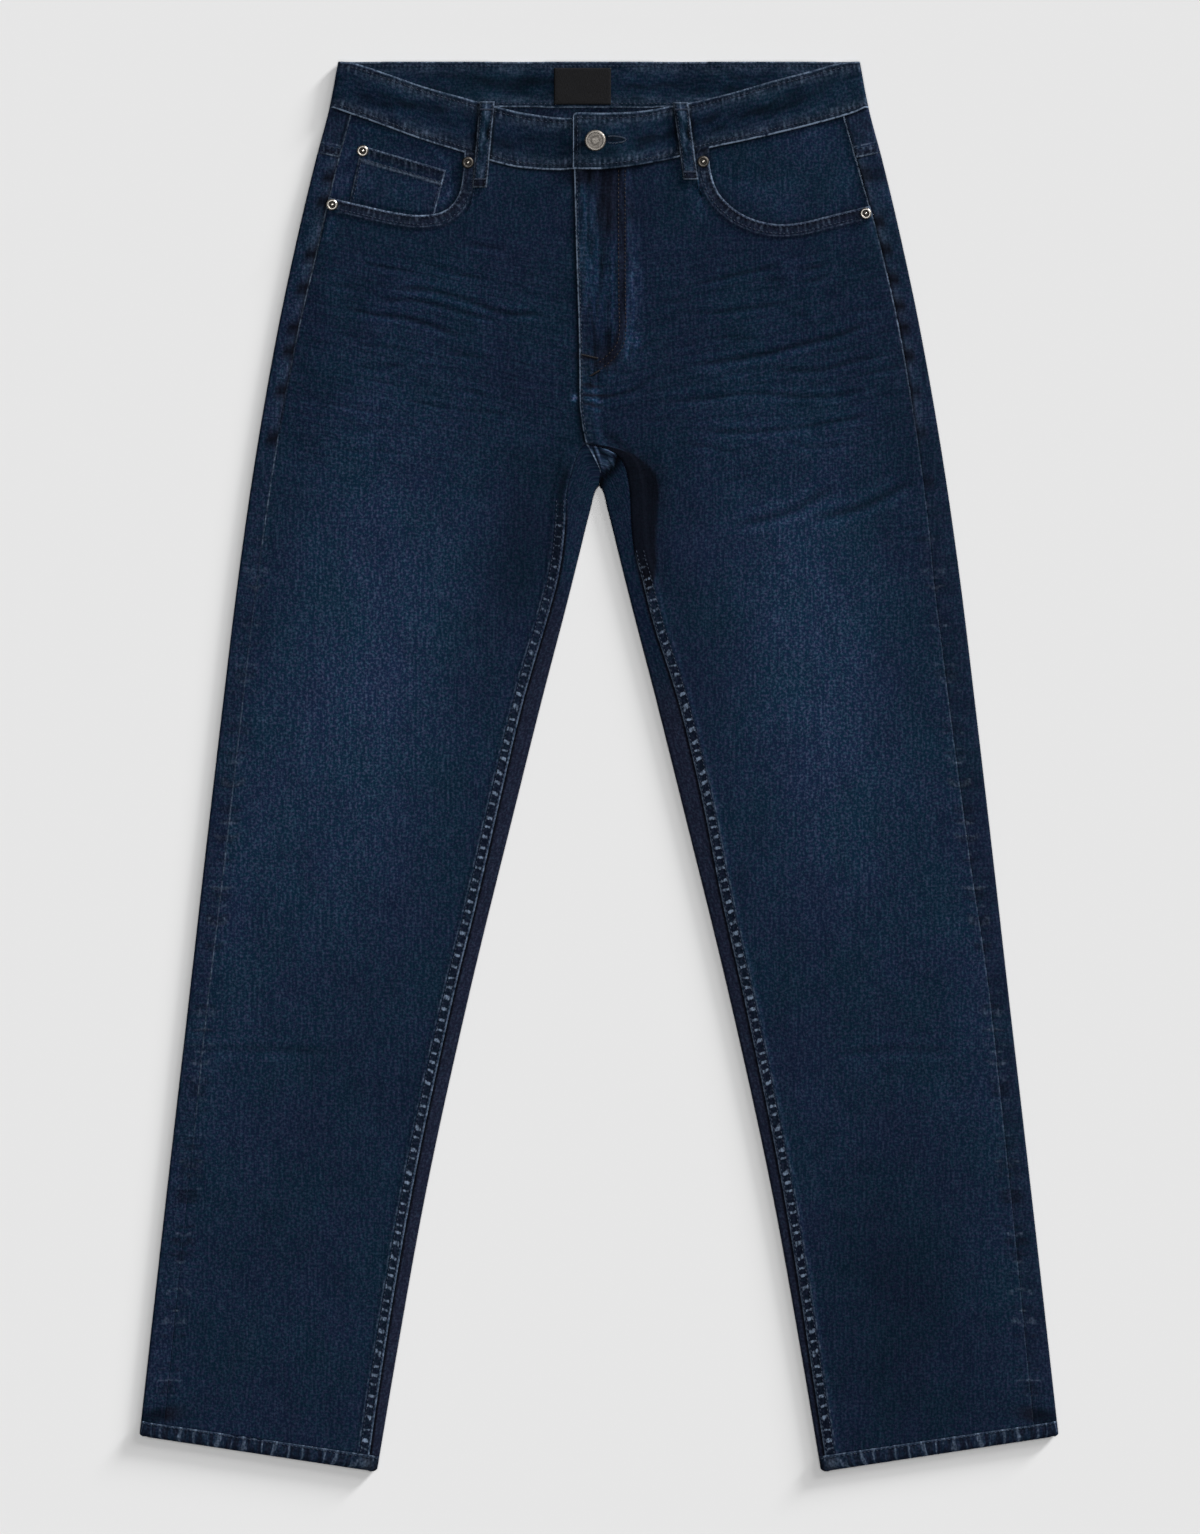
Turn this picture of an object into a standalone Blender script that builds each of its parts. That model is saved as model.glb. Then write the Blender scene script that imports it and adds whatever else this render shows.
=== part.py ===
"""Straight leg jeans, laid flat on a table with the front up.

The frame has +X to the wearer's left, +Y to the waist and +Z up, with its origin under the middle of
the garment. Sizes are millimetres. A "drop" is a distance down from the back waist edge, and a
"reach" is a distance from the centre line towards the side that a piece belongs to.

Each leg is a flattened tube. The back panel lies on the table, and its two edges fold up and over to
the outseam and the inseam, where the front panel joins it. The waistband is one strip that runs round
both layers, and the left end laps over the right end at the fly.
"""

import math
from collections import namedtuple

import bmesh
import bpy

MM = 0.001

# The whole garment.
TOTAL_LENGTH = 1127.2
CROTCH_DROP = 339.2  # top of the notch between the legs
CROTCH_SEAM = (-10.4, 305.6)  # x and drop of the point where the four leg panels meet
HEM_OUTER_DROP, HEM_INNER_DROP = 1099.2, TOTAL_LENGTH
HEM_HEIGHT = 12.0

# Cloth, and how the layers lie.
WALL = 1.2  # one layer of denim
BAND_WALL = 2.6  # the waistband is folded double
HEM_WALL = 2.4
SEAM_GAP = 0.3
HEM_GAP, YOKE_GAP, BAND_GAP = 0.75, 0.7, 0.5  # along the leg, so that slanting edges keep clear too
LAYER_GAP = 0.4
FOLD_HEIGHT = 4.0  # both layers, where a leg folds
PUFF, PUFF_REACH = 1.6, 15.0  # how much the upper layer rises away from the folds
BAND_HEIGHT = 6.2
HEM_FOLD_HEIGHT = 5.8

# The waistband.
BAND_SIDE_DROP, BAND_HALF = 37.0, 215.0
TAB_END_X = -20.8  # the left end of the band
UNDER_END_X = 8.0  # the right end, hidden by the left one
TAB_RAMP_END_X = 52.0
RIGHT_END_REACHES = [-UNDER_END_X, 8.0, -TAB_END_X, 36.0]
LEFT_END_REACHES = [41.0, 30.0, 20.0, 8.0, -8.0, TAB_END_X]
BAND_SPREAD = 100.0  # beyond the ramp, the band's columns lean out to its slanting sides over this reach

# The fly.
FLY_UNDERLAP = 6.0
FLY_STITCH_X = 20.8
FLY_CURVE = {"x": -8.0, "drop": 205.0, "half_width": 28.8, "depth": 46.0}
UNDERLAP_FADE, FLY_FADE = 40.0, 34.0  # lengths over which the lap ends, above and below the crotch seam
SEAM_BAND = 9.5  # a felled seam's width
SEAM_RELIEF = 0.6
OPENING_BAND, OPENING_RELIEF = 9.6, 1.0
BAND_FALL = 3.0  # a raised band drops to the panel over this width

# The back, which lies on the table.
YOKE_SIDE_DROP, YOKE_CENTRE_DROP, YOKE_WRAP_SLOPE = 73.0, 105.0, 0.2
BACK_POCKET = {"x": 118.0, "top": 130.0, "height": 152.0, "point": 18.0}
BACK_POCKET_WIDTHS = 146.0, 124.0  # at the top and at the foot
BACK_LOOPS = {"centre": 0.0, "left": 130.0, "right": -130.0}
BACK_LOOP_FOOT = 56.0
LIFT_FLAT, LIFT_RAMP = 22.0, 45.0

LOOP_WIDTH, LOOP_WALL, LOOP_CROWN = 12.0, 1.6, 0.2
LABEL = {"x0": -36.0, "x1": 9.6, "top": 5.0, "foot": 34.5, "wall": 0.8}

Outline = namedtuple("Outline", "drop side outseam_right outseam_left")
OUTLINE = [
    Outline(0.0, 208.6, 17.6, 20.8),
    Outline(36.0, 215.4, 17.6, 20.8),
    Outline(78.0, 226.4, 17.6, 20.4),
    Outline(142.0, 241.6, 17.6, 17.8),
    Outline(214.0, 256.8, 16.0, 16.5),
    Outline(305.0, 272.9, 15.0, 17.6),
    Outline(366.0, 282.2, 15.0, 19.0),
    Outline(430.0, 290.8, 15.0, 21.2),
    Outline(510.0, 300.4, 15.2, 20.8),
    Outline(630.0, 314.4, 15.6, 18.8),
    Outline(750.0, 328.0, 14.8, 15.2),
    Outline(910.0, 346.4, 17.0, 16.6),
    Outline(HEM_OUTER_DROP, 367.6, 19.0, 19.0),
]

InnerFold = namedtuple("InnerFold", "drop reach")
INNER_FOLD = [
    InnerFold(CROTCH_DROP, 0.2),
    InnerFold(342.4, 2.6),
    InnerFold(358.0, 6.9),
    InnerFold(398.0, 16.8),
    InnerFold(430.0, 24.8),
    InnerFold(510.0, 45.6),
    InnerFold(590.0, 65.6),
    InnerFold(750.0, 104.8),
    InnerFold(910.0, 139.6),
    InnerFold(1030.0, 161.2),
    InnerFold(HEM_INNER_DROP, 177.6),
]

# The seat seam, from the notch up to the crotch seam, where it shows on the front.
SeatSeam = namedtuple("SeatSeam", "x drop")
SEAT_SEAM = [SeatSeam(0.6, 328.0), SeatSeam(-3.6, 317.6)]
SEAM_CORNER = {-1: (-0.1, 0.5), 1: (0.55, 0.55)}  # from the crotch seam to each back panel's corner

Inseam = namedtuple("Inseam", "drop right left")
INSEAM = [
    Inseam(CROTCH_SEAM[1], 10.4, -10.4),
    Inseam(309.0, 14.6, 4.0),
    Inseam(315.0, 17.6, 15.0),
    Inseam(327.0, 21.6, 22.0),
    Inseam(347.0, 26.2, 25.0),
    Inseam(370.0, 27.2, 26.0),
    Inseam(390.0, 29.0, 28.0),
    Inseam(414.0, 33.0, 34.4),
    Inseam(444.0, 41.0, 42.0),
    Inseam(510.0, 60.2, 63.0),
    Inseam(590.0, 79.2, 82.4),
    Inseam(670.0, 97.4, 98.2),
    Inseam(750.0, 117.0, 116.2),
    Inseam(910.0, 150.8, 148.4),
    Inseam(1070.0, 177.4, 173.8),
    Inseam(HEM_INNER_DROP, 185.4, 182.6),
]

FlyEdge = namedtuple("FlyEdge", "drop x")
FLY_EDGE = [
    FlyEdge(80.0, -20.2),
    FlyEdge(154.0, -18.2),
    FlyEdge(230.0, -15.9),
    FlyEdge(270.0, -15.6),
    FlyEdge(290.0, -13.6),
    FlyEdge(CROTCH_SEAM[1], CROTCH_SEAM[0]),
]

# The waistband's two long edges, seen from the front.
Band = namedtuple("Band", "reach right_top left_top right_foot left_foot")
BAND = [
    Band(-22.0, 45.4, 40.6, 85.8, 86.2),
    Band(0.0, 45.4, 41.2, 85.8, 86.4),
    Band(22.0, 45.3, 40.6, 86.0, 84.4),
    Band(30.0, 45.0, 40.0, 86.9, 83.2),
    Band(60.0, 41.0, 35.2, 85.3, 77.3),
    Band(85.0, 35.2, 30.3, 79.7, 69.9),
    Band(110.0, 28.6, 24.1, 71.3, 64.3),
    Band(142.0, 20.0, 15.3, 60.9, 56.8),
    Band(175.0, 9.2, 7.1, 49.2, 48.7),
    Band(195.0, 3.0, 1.9, 42.6, 43.2),
    Band(208.0, 0.0, 0.0, 38.6, 39.2),
    Band(BAND_HALF, 0.0, 0.0, BAND_SIDE_DROP, BAND_SIDE_DROP),
]

# The front pocket's opening, from the side seam to the waistband.
Opening = namedtuple("Opening", "right_reach right_drop left_reach left_drop")
OPENING = [
    Opening(217.2, 108.5, 216.6, 115.5),
    Opening(190.0, 114.8, 188.0, 122.3),
    Opening(165.0, 120.3, 160.0, 129.0),
    Opening(143.0, 122.9, 137.0, 129.5),
    Opening(124.0, 119.5, 114.0, 121.8),
    Opening(112.5, 107.0, 96.5, 106.5),
    Opening(108.5, 88.0, 89.5, 89.0),
    Opening(107.5, 70.5, 88.0, 75.8),
]

# Large creases of the upper layer: a soft ridge where height is above zero, and a trough below.
Crease = namedtuple("Crease", "name x0 drop0 x1 drop1 height width")
CREASES = [
    Crease("crotch ridge, left leg", 17.0, 316.0, 29.0, 396.0, 0.7, 9.0),
    Crease("crotch hollow, left leg", 40.0, 318.0, 47.0, 420.0, -0.8, 10.0),
    Crease("crotch hollow, right leg", -34.0, 330.0, -40.0, 380.0, -0.5, 9.0),
    Crease("drag over left thigh", 105.0, 367.0, 243.0, 338.0, -0.6, 11.0),
    Crease("drag over left hip", 95.0, 241.0, 180.0, 223.0, -0.5, 9.0),
    Crease("low drag over left hip", 118.0, 268.0, 240.0, 240.0, -0.4, 10.0),
    Crease("drag over right hip", -202.0, 195.0, -122.0, 215.0, -0.5, 9.0),
    Crease("high drag over right hip", -186.0, 160.0, -96.0, 178.0, -0.4, 10.0),
    Crease("hollow beside the fly", 32.0, 130.0, 34.0, 235.0, -0.5, 9.0),
]

# Rivets and the button: x and drop of their centres.
RIVETS = {
    "rivet_coin": (-189.0, 71.5),
    "rivet_right_side": (-213.4, 114.6),
    "rivet_right_top": (-104.8, 81.0),
    "rivet_left_top": (83.2, 80.2),
    "rivet_left_side": (213.2, 121.6),
}
BUTTON = {"x": -3.0, "drop": 63.6}

# Profiles of the turned metal, as (radius, height) from the middle of the top to the middle of the foot.
RIVET_PROFILE = [(0.0, 1.9), (1.0, 1.9), (1.5, 1.1), (2.3, 1.1), (3.2, 1.6), (4.3, 1.1)]
RIVET_PROFILE += [(4.75, 0.0), (0.0, 0.0)]
BUTTON_PROFILE = [(0.0, 4.3), (2.6, 4.3), (3.2, 3.8), (5.6, 3.8), (6.6, 4.4), (7.8, 4.2), (8.5, 3.3)]
BUTTON_PROFILE += [(8.4, 2.6), (7.4, 2.2), (4.2, 2.0), (4.0, 0.0), (0.0, 0.0)]

FrontLoop = namedtuple("FrontLoop", "name top_x top_drop foot_x foot_drop")
FRONT_LOOPS = [
    FrontLoop("belt_loop_front_right", -89.4, 32.0, -95.6, 101.0),
    FrontLoop("belt_loop_front_left", 65.0, 32.6, 73.4, 94.6),
]

# The coin pocket's top corners as (reach, drop), and its foot, which ends at the big pocket's opening.
COIN_POCKET_TOP = (190.0, 67.0), (122.4, 87.0)
COIN_POCKET_FOOT = 200.0, 131.8  # reaches

DENIM = ((0.010, 0.021, 0.043, 1.0), 0.85, 0.0)
DARK_DENIM = ((0.007, 0.014, 0.030, 1.0), 0.85, 0.0)
NICKEL = ((0.42, 0.39, 0.35, 1.0), 0.35, 1.0)
BLACK_SATIN = ((0.006, 0.006, 0.007, 1.0), 0.5, 0.0)

# Grid steps. Leg rows are drops along the front's inner edge, from the crotch to the hem seam.
LEG_DROPS = [305.6, 308.0, 312.0, 318.0, 327.0, 340.0, 356.0, 376.0, 396.0, 420.0, 450.0, 490.0]
LEG_DROPS += [540.0, 600.0, 670.0, 745.0, 820.0, 895.0, 965.0, 1030.0, 1080.0]
CROTCH_OUTER_DROP, LEVEL_REACH = 318.0, 125.0
HIP_OUTER_DROP, HIP_INNER_DROP = 182.0, 200.0
INNER_COLUMNS = [46.0, 41.0, 21.0, 12.5, 9.5, 0.0]
MIDDLE_COLUMNS, COLUMN_POWER = 9, 0.8
OPENING_SHARES = [0.0, 0.15, 0.3, 0.45, 0.58, 0.7, 0.81, 1.0]
CORNER_WAYS = [(-0.82, 0.57), (-0.85, 0.72)]  # into the panel, at the opening's two last columns
FACING_CORNER_WAY = (-0.75, 0.5)
ARC_STEPS = 3
BOTTOM_COLUMNS = 12
INSEAM_COLUMNS = 3
HEM_ROWS = [(0.0, 0.0), (0.5, 0.0), (0.85, 0.6), (1.0, 2.6)]  # share of the height, inset of its corners

RIGHT, LEFT = -1, 1
SIDE_NAMES = {RIGHT: "right", LEFT: "left"}


class Line:
    """A smooth line through a table's rows, which never overshoots them."""

    def __init__(self, rows, column, key="drop"):
        self.at = [float(getattr(row, key)) for row in rows]
        self.value = [float(getattr(row, column)) for row in rows]
        steps = [b - a for a, b in zip(self.at, self.at[1:])]
        slopes = [(b - a) / h for a, b, h in zip(self.value, self.value[1:], steps)]
        self.slope = [slopes[0]]
        for i in range(1, len(slopes)):
            before, after = slopes[i - 1], slopes[i]
            if before * after <= 0:
                self.slope.append(0.0)
                continue
            w0, w1 = 2 * steps[i] + steps[i - 1], steps[i] + 2 * steps[i - 1]
            self.slope.append((w0 + w1) / (w0 / before + w1 / after))
        self.slope.append(slopes[-1])

    def __call__(self, at):
        last = len(self.at) - 1
        if at <= self.at[0]:
            return self.value[0] + (at - self.at[0]) * self.slope[0]
        if at >= self.at[last]:
            return self.value[last] + (at - self.at[last]) * self.slope[last]
        i = max(k for k in range(last) if self.at[k] <= at)
        h = self.at[i + 1] - self.at[i]
        t = (at - self.at[i]) / h
        start = (1 + 2 * t) * (1 - t) ** 2 * self.value[i] + t * (1 - t) ** 2 * h * self.slope[i]
        end = t * t * (3 - 2 * t) * self.value[i + 1] + t * t * (t - 1) * h * self.slope[i + 1]
        return start + end


SIDE_FOLD = Line(OUTLINE, "side")
OUTSEAM = {side: Line(OUTLINE, "outseam_" + name) for side, name in SIDE_NAMES.items()}
INNER_FOLD_LINE = Line(INNER_FOLD, "reach")
INSEAM_LINE = {side: Line(INSEAM, name) for side, name in SIDE_NAMES.items()}
FLY_LINE = Line(FLY_EDGE, "x")
BAND_TOP = {side: Line(BAND, name + "_top", "reach") for side, name in SIDE_NAMES.items()}
BAND_FOOT = {side: Line(BAND, name + "_foot", "reach") for side, name in SIDE_NAMES.items()}


def mix(a, b, t):
    """The value a share t of the way from a to b."""
    return a + (b - a) * t


def ease(t):
    """A smooth step from 0 to 1."""
    t = min(max(t, 0.0), 1.0)
    return t * t * (3 - 2 * t)


def plateau(distance, flat, ramp):
    """1 out to a distance of flat, then down to 0 over a ramp."""
    return ease((flat + ramp - distance) / ramp)


def box_distance(x, drop, centre_x, centre_drop, half_width, half_height):
    """How far a point lies outside a rectangle."""
    beside, beyond = abs(x - centre_x) - half_width, abs(drop - centre_drop) - half_height
    return math.hypot(max(beside, 0.0), max(beyond, 0.0))


def segment_distance(x, drop, x0, drop0, x1, drop1):
    """How far a point lies from a straight stretch."""
    dx, dd = x1 - x0, drop1 - drop0
    t = ((x - x0) * dx + (drop - drop0) * dd) / (dx * dx + dd * dd)
    t = min(max(t, 0.0), 1.0)
    return math.hypot(x - x0 - t * dx, drop - drop0 - t * dd)


def lift(x, drop):
    """How far the back is held off the table by its own pockets and belt loops."""
    half_width, half_height = BACK_POCKET_WIDTHS[0] / 2, BACK_POCKET["height"] / 2
    most = 0.0
    for side in (RIGHT, LEFT):
        centre = side * BACK_POCKET["x"], BACK_POCKET["top"] + half_height
        away = box_distance(x, drop, *centre, half_width, half_height)
        most = max(most, (WALL + LAYER_GAP) * plateau(away, LIFT_FLAT, LIFT_RAMP))
    for loop_x in BACK_LOOPS.values():
        away = box_distance(x, drop, loop_x, BACK_LOOP_FOOT / 2, LOOP_WIDTH / 2, BACK_LOOP_FOOT / 2)
        most = max(most, (LOOP_WALL + LAYER_GAP) * plateau(away, LIFT_FLAT, LIFT_RAMP))
    return most


def crease(x, drop):
    """Height of the large creases at a point of the upper layer."""
    total = 0.0
    for row in CREASES:
        away = segment_distance(x, drop, row.x0, row.drop0, row.x1, row.drop1)
        total += row.height * math.exp(-((away / row.width) ** 2))
    return total


def from_fold(distance):
    """Share of the full puff at a distance from a fold's outer edge."""
    return 1 - math.exp(-max(distance - FOLD_HEIGHT / 2, 0.0) / PUFF_REACH)


def upper(x, drop):
    """Outer height of the upper layer, before seams and bands raise it."""
    side = SIDE_FOLD(drop) - abs(x)
    if drop < CROTCH_DROP:
        inner = math.hypot(x, CROTCH_DROP - drop)
    else:
        inner = abs(x) - INNER_FOLD_LINE(drop)
    rise = from_fold(side) * from_fold(inner)
    return FOLD_HEIGHT + PUFF * rise + lift(x, drop) + crease(x, drop) * rise


def straight(reach_a, drop_a, reach_b, drop_b):
    """The drop, as a function of reach, on a straight line across a leg."""
    return lambda reach: mix(drop_a, drop_b, (reach - reach_a) / (reach_b - reach_a))


def yoke_wrap(reach):
    """Drop of the seam under the yoke, where it has come round to the front."""
    return YOKE_SIDE_DROP + YOKE_WRAP_SLOPE * (SIDE_FOLD(YOKE_SIDE_DROP) - reach)


def opening_table(side):
    """The pocket opening's rows for one side, as (reach, drop)."""
    name = SIDE_NAMES[side]
    return [(getattr(row, name + "_reach"), getattr(row, name + "_drop")) for row in OPENING]


def opening_at(side, share):
    """Point (reach, drop) a share of the way along the pocket opening, from the side seam."""
    points = opening_table(side)
    steps = [math.dist(a, b) for a, b in zip(points, points[1:])]
    left = share * sum(steps)
    for i, step in enumerate(steps):
        if left <= step or i == len(steps) - 1:
            break
        left -= step
    t = min(left / step, 1.0)
    before, a, b, after = (points[min(max(i + k, 0), len(points) - 1)] for k in (-1, 0, 1, 2))
    return tuple(
        0.5
        * (
            2 * a[n]
            + (b[n] - before[n]) * t
            + (2 * before[n] - 5 * a[n] + 4 * b[n] - after[n]) * t * t
            + (3 * a[n] - before[n] - 3 * b[n] + after[n]) * t ** 3
        )
        for n in (0, 1)
    )


def opening_normal(side, share):
    """Direction (reach, drop) from the opening into the front panel."""
    a, b = opening_at(side, max(share - 0.01, 0.0)), opening_at(side, min(share + 0.01, 1.0))
    along = (b[0] - a[0], b[1] - a[1])
    size = math.hypot(*along)
    return along[1] / size, -along[0] / size


OPENING_SAMPLES = {side: [opening_at(side, n / 40) for n in range(41)] for side in SIDE_NAMES}


def opening_distance(side, reach, drop):
    """How far a point lies from the pocket opening's edge."""
    points = OPENING_SAMPLES[side]
    return min(segment_distance(reach, drop, *a, *b) for a, b in zip(points, points[1:]))


def fly_distance(x, drop):
    """How far a point lies outside the fly's stitched curve; negative is inside."""
    curve = FLY_CURVE
    if drop < curve["drop"]:
        return x - FLY_STITCH_X
    if x < curve["x"]:
        return drop - curve["drop"] - curve["depth"]
    share = math.hypot((x - curve["x"]) / curve["half_width"], (drop - curve["drop"]) / curve["depth"])
    return (share - 1) * curve["half_width"]


def inner_edge(side, drop):
    """Reach of a front panel's inner edge: the fly, then the inseam."""
    if drop >= CROTCH_SEAM[1]:
        return INSEAM_LINE[side](drop)
    if side == LEFT:
        return FLY_LINE(drop)
    hidden = mix(-SEAM_GAP, FLY_UNDERLAP, ease((CROTCH_SEAM[1] - drop) / UNDERLAP_FADE))
    return -(FLY_LINE(drop) + hidden)


def outer_edge(side, drop):
    """Reach of a front panel's outer edge, along the outseam."""
    return SIDE_FOLD(drop) - OUTSEAM[side](drop)


def front_height(side, x, drop):
    """Outer height of a front panel, with its bands and seams."""
    reach = side * x
    relief = OPENING_RELIEF * plateau(opening_distance(side, reach, drop), OPENING_BAND, BAND_FALL)
    if drop >= CROTCH_SEAM[1]:
        inseam = reach - inner_edge(side, drop)
        below = ease((drop - CROTCH_SEAM[1]) / SEAM_BAND)
        relief = max(relief, SEAM_RELIEF * below * plateau(inseam, SEAM_BAND, BAND_FALL))
    if side == LEFT:
        over = WALL + LAYER_GAP
        fly = plateau(fly_distance(x, drop), 0.0, 2 * BAND_FALL)
        seam = plateau(x - FLY_LINE(min(drop, CROTCH_SEAM[1])), SEAM_BAND, 2 * BAND_FALL)
        seam *= ease(1 + (CROTCH_SEAM[1] - drop) / FLY_FADE)
        relief = max(relief, over * max(fly if drop < CROTCH_SEAM[1] else 0.0, seam))
    return upper(x, drop) + relief


def band_height(x, drop):
    """Outer height of the waistband at the front, with the left end over the right."""
    return BAND_HEIGHT + lift(x, drop)


def tab_rise(x):
    """How far the left end of the waistband is raised where it laps over the right end."""
    return (BAND_WALL + LAYER_GAP) * ease((TAB_RAMP_END_X - x) / (TAB_RAMP_END_X - UNDER_END_X - 2.0))


def topmost(x, drop):
    """Height of whatever shows at a point of the front."""
    side = RIGHT if x < FLY_LINE(drop) else LEFT
    if drop <= BAND_FOOT[side](side * x):
        return band_height(x, drop) + (tab_rise(x) if side == LEFT else 0.0)
    return front_height(side, x, drop)


def to_metres(x, drop, z):
    """A point of the frame, in metres."""
    return (x * MM, (TOTAL_LENGTH / 2 - drop) * MM, z * MM)


def material(name, look):
    """A Principled material of one colour, made once."""
    found = bpy.data.materials.get(name)
    if found:
        return found
    made = bpy.data.materials.new(name)
    made.use_nodes = True
    shader = made.node_tree.nodes["Principled BSDF"]
    colour, roughness, metallic = look
    shader.inputs["Base Color"].default_value = colour
    shader.inputs["Roughness"].default_value = roughness
    shader.inputs["Metallic"].default_value = metallic
    made.diffuse_color = colour
    return made


def add(name, mesh, collection, look):
    """Puts a mesh in the collection as a named object."""
    obj = bpy.data.objects.new(name, mesh)
    obj.data.materials.append(look)
    collection.objects.link(obj)
    mesh.shade_smooth()
    return obj


def cloth(name, places, wall, collection, look, under=False, ring=False, drop_corner=None):
    """A sewn piece: a grid moved to its outer points, then given its wall inwards.

    places[row][column] is (x, drop, z). A ring's last column meets its first. drop_corner is
    (row, column): the faces before that row and past that column are left out.
    """
    rows, columns = len(places) - 1, len(places[0]) - 1
    bm = bmesh.new()
    bmesh.ops.create_grid(bm, x_segments=columns, y_segments=rows, size=0.5)
    at = {}
    for vert in bm.verts:
        row, column = round((vert.co.y + 0.5) * rows), round((vert.co.x + 0.5) * columns)
        at[vert] = (row, column)
    if drop_corner:
        gone = [
            face
            for face in bm.faces
            if max(at[v][0] for v in face.verts) <= drop_corner[0]
            and min(at[v][1] for v in face.verts) >= drop_corner[1]
        ]
        bmesh.ops.delete(bm, geom=gone, context="FACES")
    for vert in bm.verts:
        row, column = at[vert]
        vert.co = to_metres(*places[row][column])
    if ring:
        bmesh.ops.remove_doubles(bm, verts=bm.verts, dist=0.00001)
    bm.normal_update()
    picked = min if under else max
    face = picked(bm.faces, key=lambda f: f.calc_center_median().z)
    if (face.normal.z > 0) == under:
        bmesh.ops.reverse_faces(bm, faces=bm.faces)
    mesh = bpy.data.meshes.new(name)
    bm.to_mesh(mesh)
    bm.free()
    obj = add(name, mesh, collection, look)
    shell = obj.modifiers.new("wall", "SOLIDIFY")
    shell.thickness = wall * MM
    shell.offset = -1.0
    shell.use_even_offset = True
    shell.use_quality_normals = True
    return obj


def turned(name, profile, x, drop, z, collection, look, steps):
    """A turned piece: (radius, height) points down its outer side, spun about its axis."""
    bm = bmesh.new()
    verts = [bm.verts.new((radius * MM, 0.0, height * MM)) for radius, height in profile]
    for a, b in zip(verts, verts[1:]):
        bm.edges.new((a, b))
    mesh = bpy.data.meshes.new(name)
    bm.to_mesh(mesh)
    bm.free()
    obj = add(name, mesh, collection, look)
    obj.location = to_metres(x, drop, z)
    spin = obj.modifiers.new("turn", "SCREW")
    spin.steps = spin.render_steps = steps
    spin.use_merge_vertices = True
    spin.merge_threshold = 0.00001
    return obj


Station = namedtuple("Station", "outer seam fold")  # drops at the side fold, the inseam and the inner fold


def leg_stations(side):
    """The rows of a leg, from the crotch to the hem."""
    top, foot = CROTCH_SEAM[1], HEM_INNER_DROP - HEM_HEIGHT - HEM_GAP
    outer_foot = HEM_OUTER_DROP - HEM_HEIGHT - HEM_GAP
    stations = []
    for drop in LEG_DROPS + [foot]:
        level = ease((drop - top) / LEVEL_REACH)
        outer = mix(CROTCH_OUTER_DROP, outer_foot, (drop - top) / (foot - top))
        fold = drop + (CROTCH_DROP - top) * (1 - level)
        line = straight(INNER_FOLD_LINE(fold), fold, SIDE_FOLD(outer), outer)
        stations.append(Station(outer, mix(drop, line(INSEAM_LINE[side](drop)), level), fold))
    return stations


def front_line(side, outer, inner):
    """The straight line of a front row, from the inner edge to the side fold."""
    return straight(inner_edge(side, inner), inner, SIDE_FOLD(outer), outer)


def front_row(side, outer, inner):
    """One row across a front panel, from the outseam in, as (reach, drop)."""
    line, edge = front_line(side, outer, inner), inner_edge(side, inner)
    first, last = SIDE_FOLD(outer) - OUTSEAM[side](outer), edge + INNER_COLUMNS[0]
    shares = [(n / (MIDDLE_COLUMNS + 1)) ** COLUMN_POWER for n in range(MIDDLE_COLUMNS + 1)]
    reaches = [mix(first, last, share) for share in shares]
    reaches += [edge + d for d in INNER_COLUMNS]
    return [(reach, line(reach)) for reach in reaches]


def front_top(side):
    """The panel's top edge and the way into the panel: pocket opening, then waistband seam."""
    points = [opening_at(side, share) for share in OPENING_SHARES]
    ways = [opening_normal(side, share) for share in OPENING_SHARES]
    start = points[0][1]
    ways[0] = (outer_edge(side, start + 1.0) - outer_edge(side, start), 1.0)
    corner = points[-1][0]
    points[-1] = (corner, BAND_FOOT[side](corner) + BAND_GAP)
    ways[-2:] = CORNER_WAYS
    spare = MIDDLE_COLUMNS + 1 - len(OPENING_SHARES)
    edge = inner_edge(side, BAND_FOOT[side](0.0))
    last = edge + INNER_COLUMNS[0]
    seam = [mix(corner, last, (n + 1) / (spare + 1)) for n in range(spare)]
    seam += [edge + d for d in INNER_COLUMNS]
    points += [(reach, BAND_FOOT[side](reach) + BAND_GAP) for reach in seam]
    ways += [(0.0, 0.75)] + [(0.0, 1.0)] * (len(seam) - 1)
    return points, ways


def front_panel(side, collection, look):
    """A front leg panel, from the waistband and pocket opening to the hem."""
    points, ways = front_top(side)
    bands = [0.0, OPENING_BAND, OPENING_BAND + BAND_FALL]
    grid = [[(p[0] + w[0] * d, p[1] + w[1] * d) for p, w in zip(points, ways)] for d in bands]
    join_rows, hip_rows = 5, 8
    first = front_row(side, HIP_OUTER_DROP, HIP_INNER_DROP)
    for n in range(join_rows):
        share = (n + 1) / (join_rows + 1)
        grid.append([tuple(mix(a, b, share) for a, b in zip(p, q)) for p, q in zip(grid[2], first)])
    for n in range(hip_rows):
        share = n / hip_rows
        outer = mix(HIP_OUTER_DROP, CROTCH_OUTER_DROP, share)
        grid.append(front_row(side, outer, mix(HIP_INNER_DROP, CROTCH_SEAM[1], share)))
    for station in leg_stations(side):
        grid.append(front_row(side, station.outer, station.seam))
    for row in grid:
        drop = row[0][1]
        row[0] = (outer_edge(side, drop), drop)
    places = [[(side * r, d, front_height(side, side * r, d)) for r, d in row] for row in grid]
    cloth("front_" + SIDE_NAMES[side], places, WALL, collection, look)


def fold_arc(height):
    """Points round a fold as (distance in from its outer edge, height), from the top to the table."""
    half = height / 2
    turns = [math.pi * n / (ARC_STEPS + 1) for n in range(ARC_STEPS + 2)]
    return [(half - half * math.sin(t), half + half * math.cos(t)) for t in turns]


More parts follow.
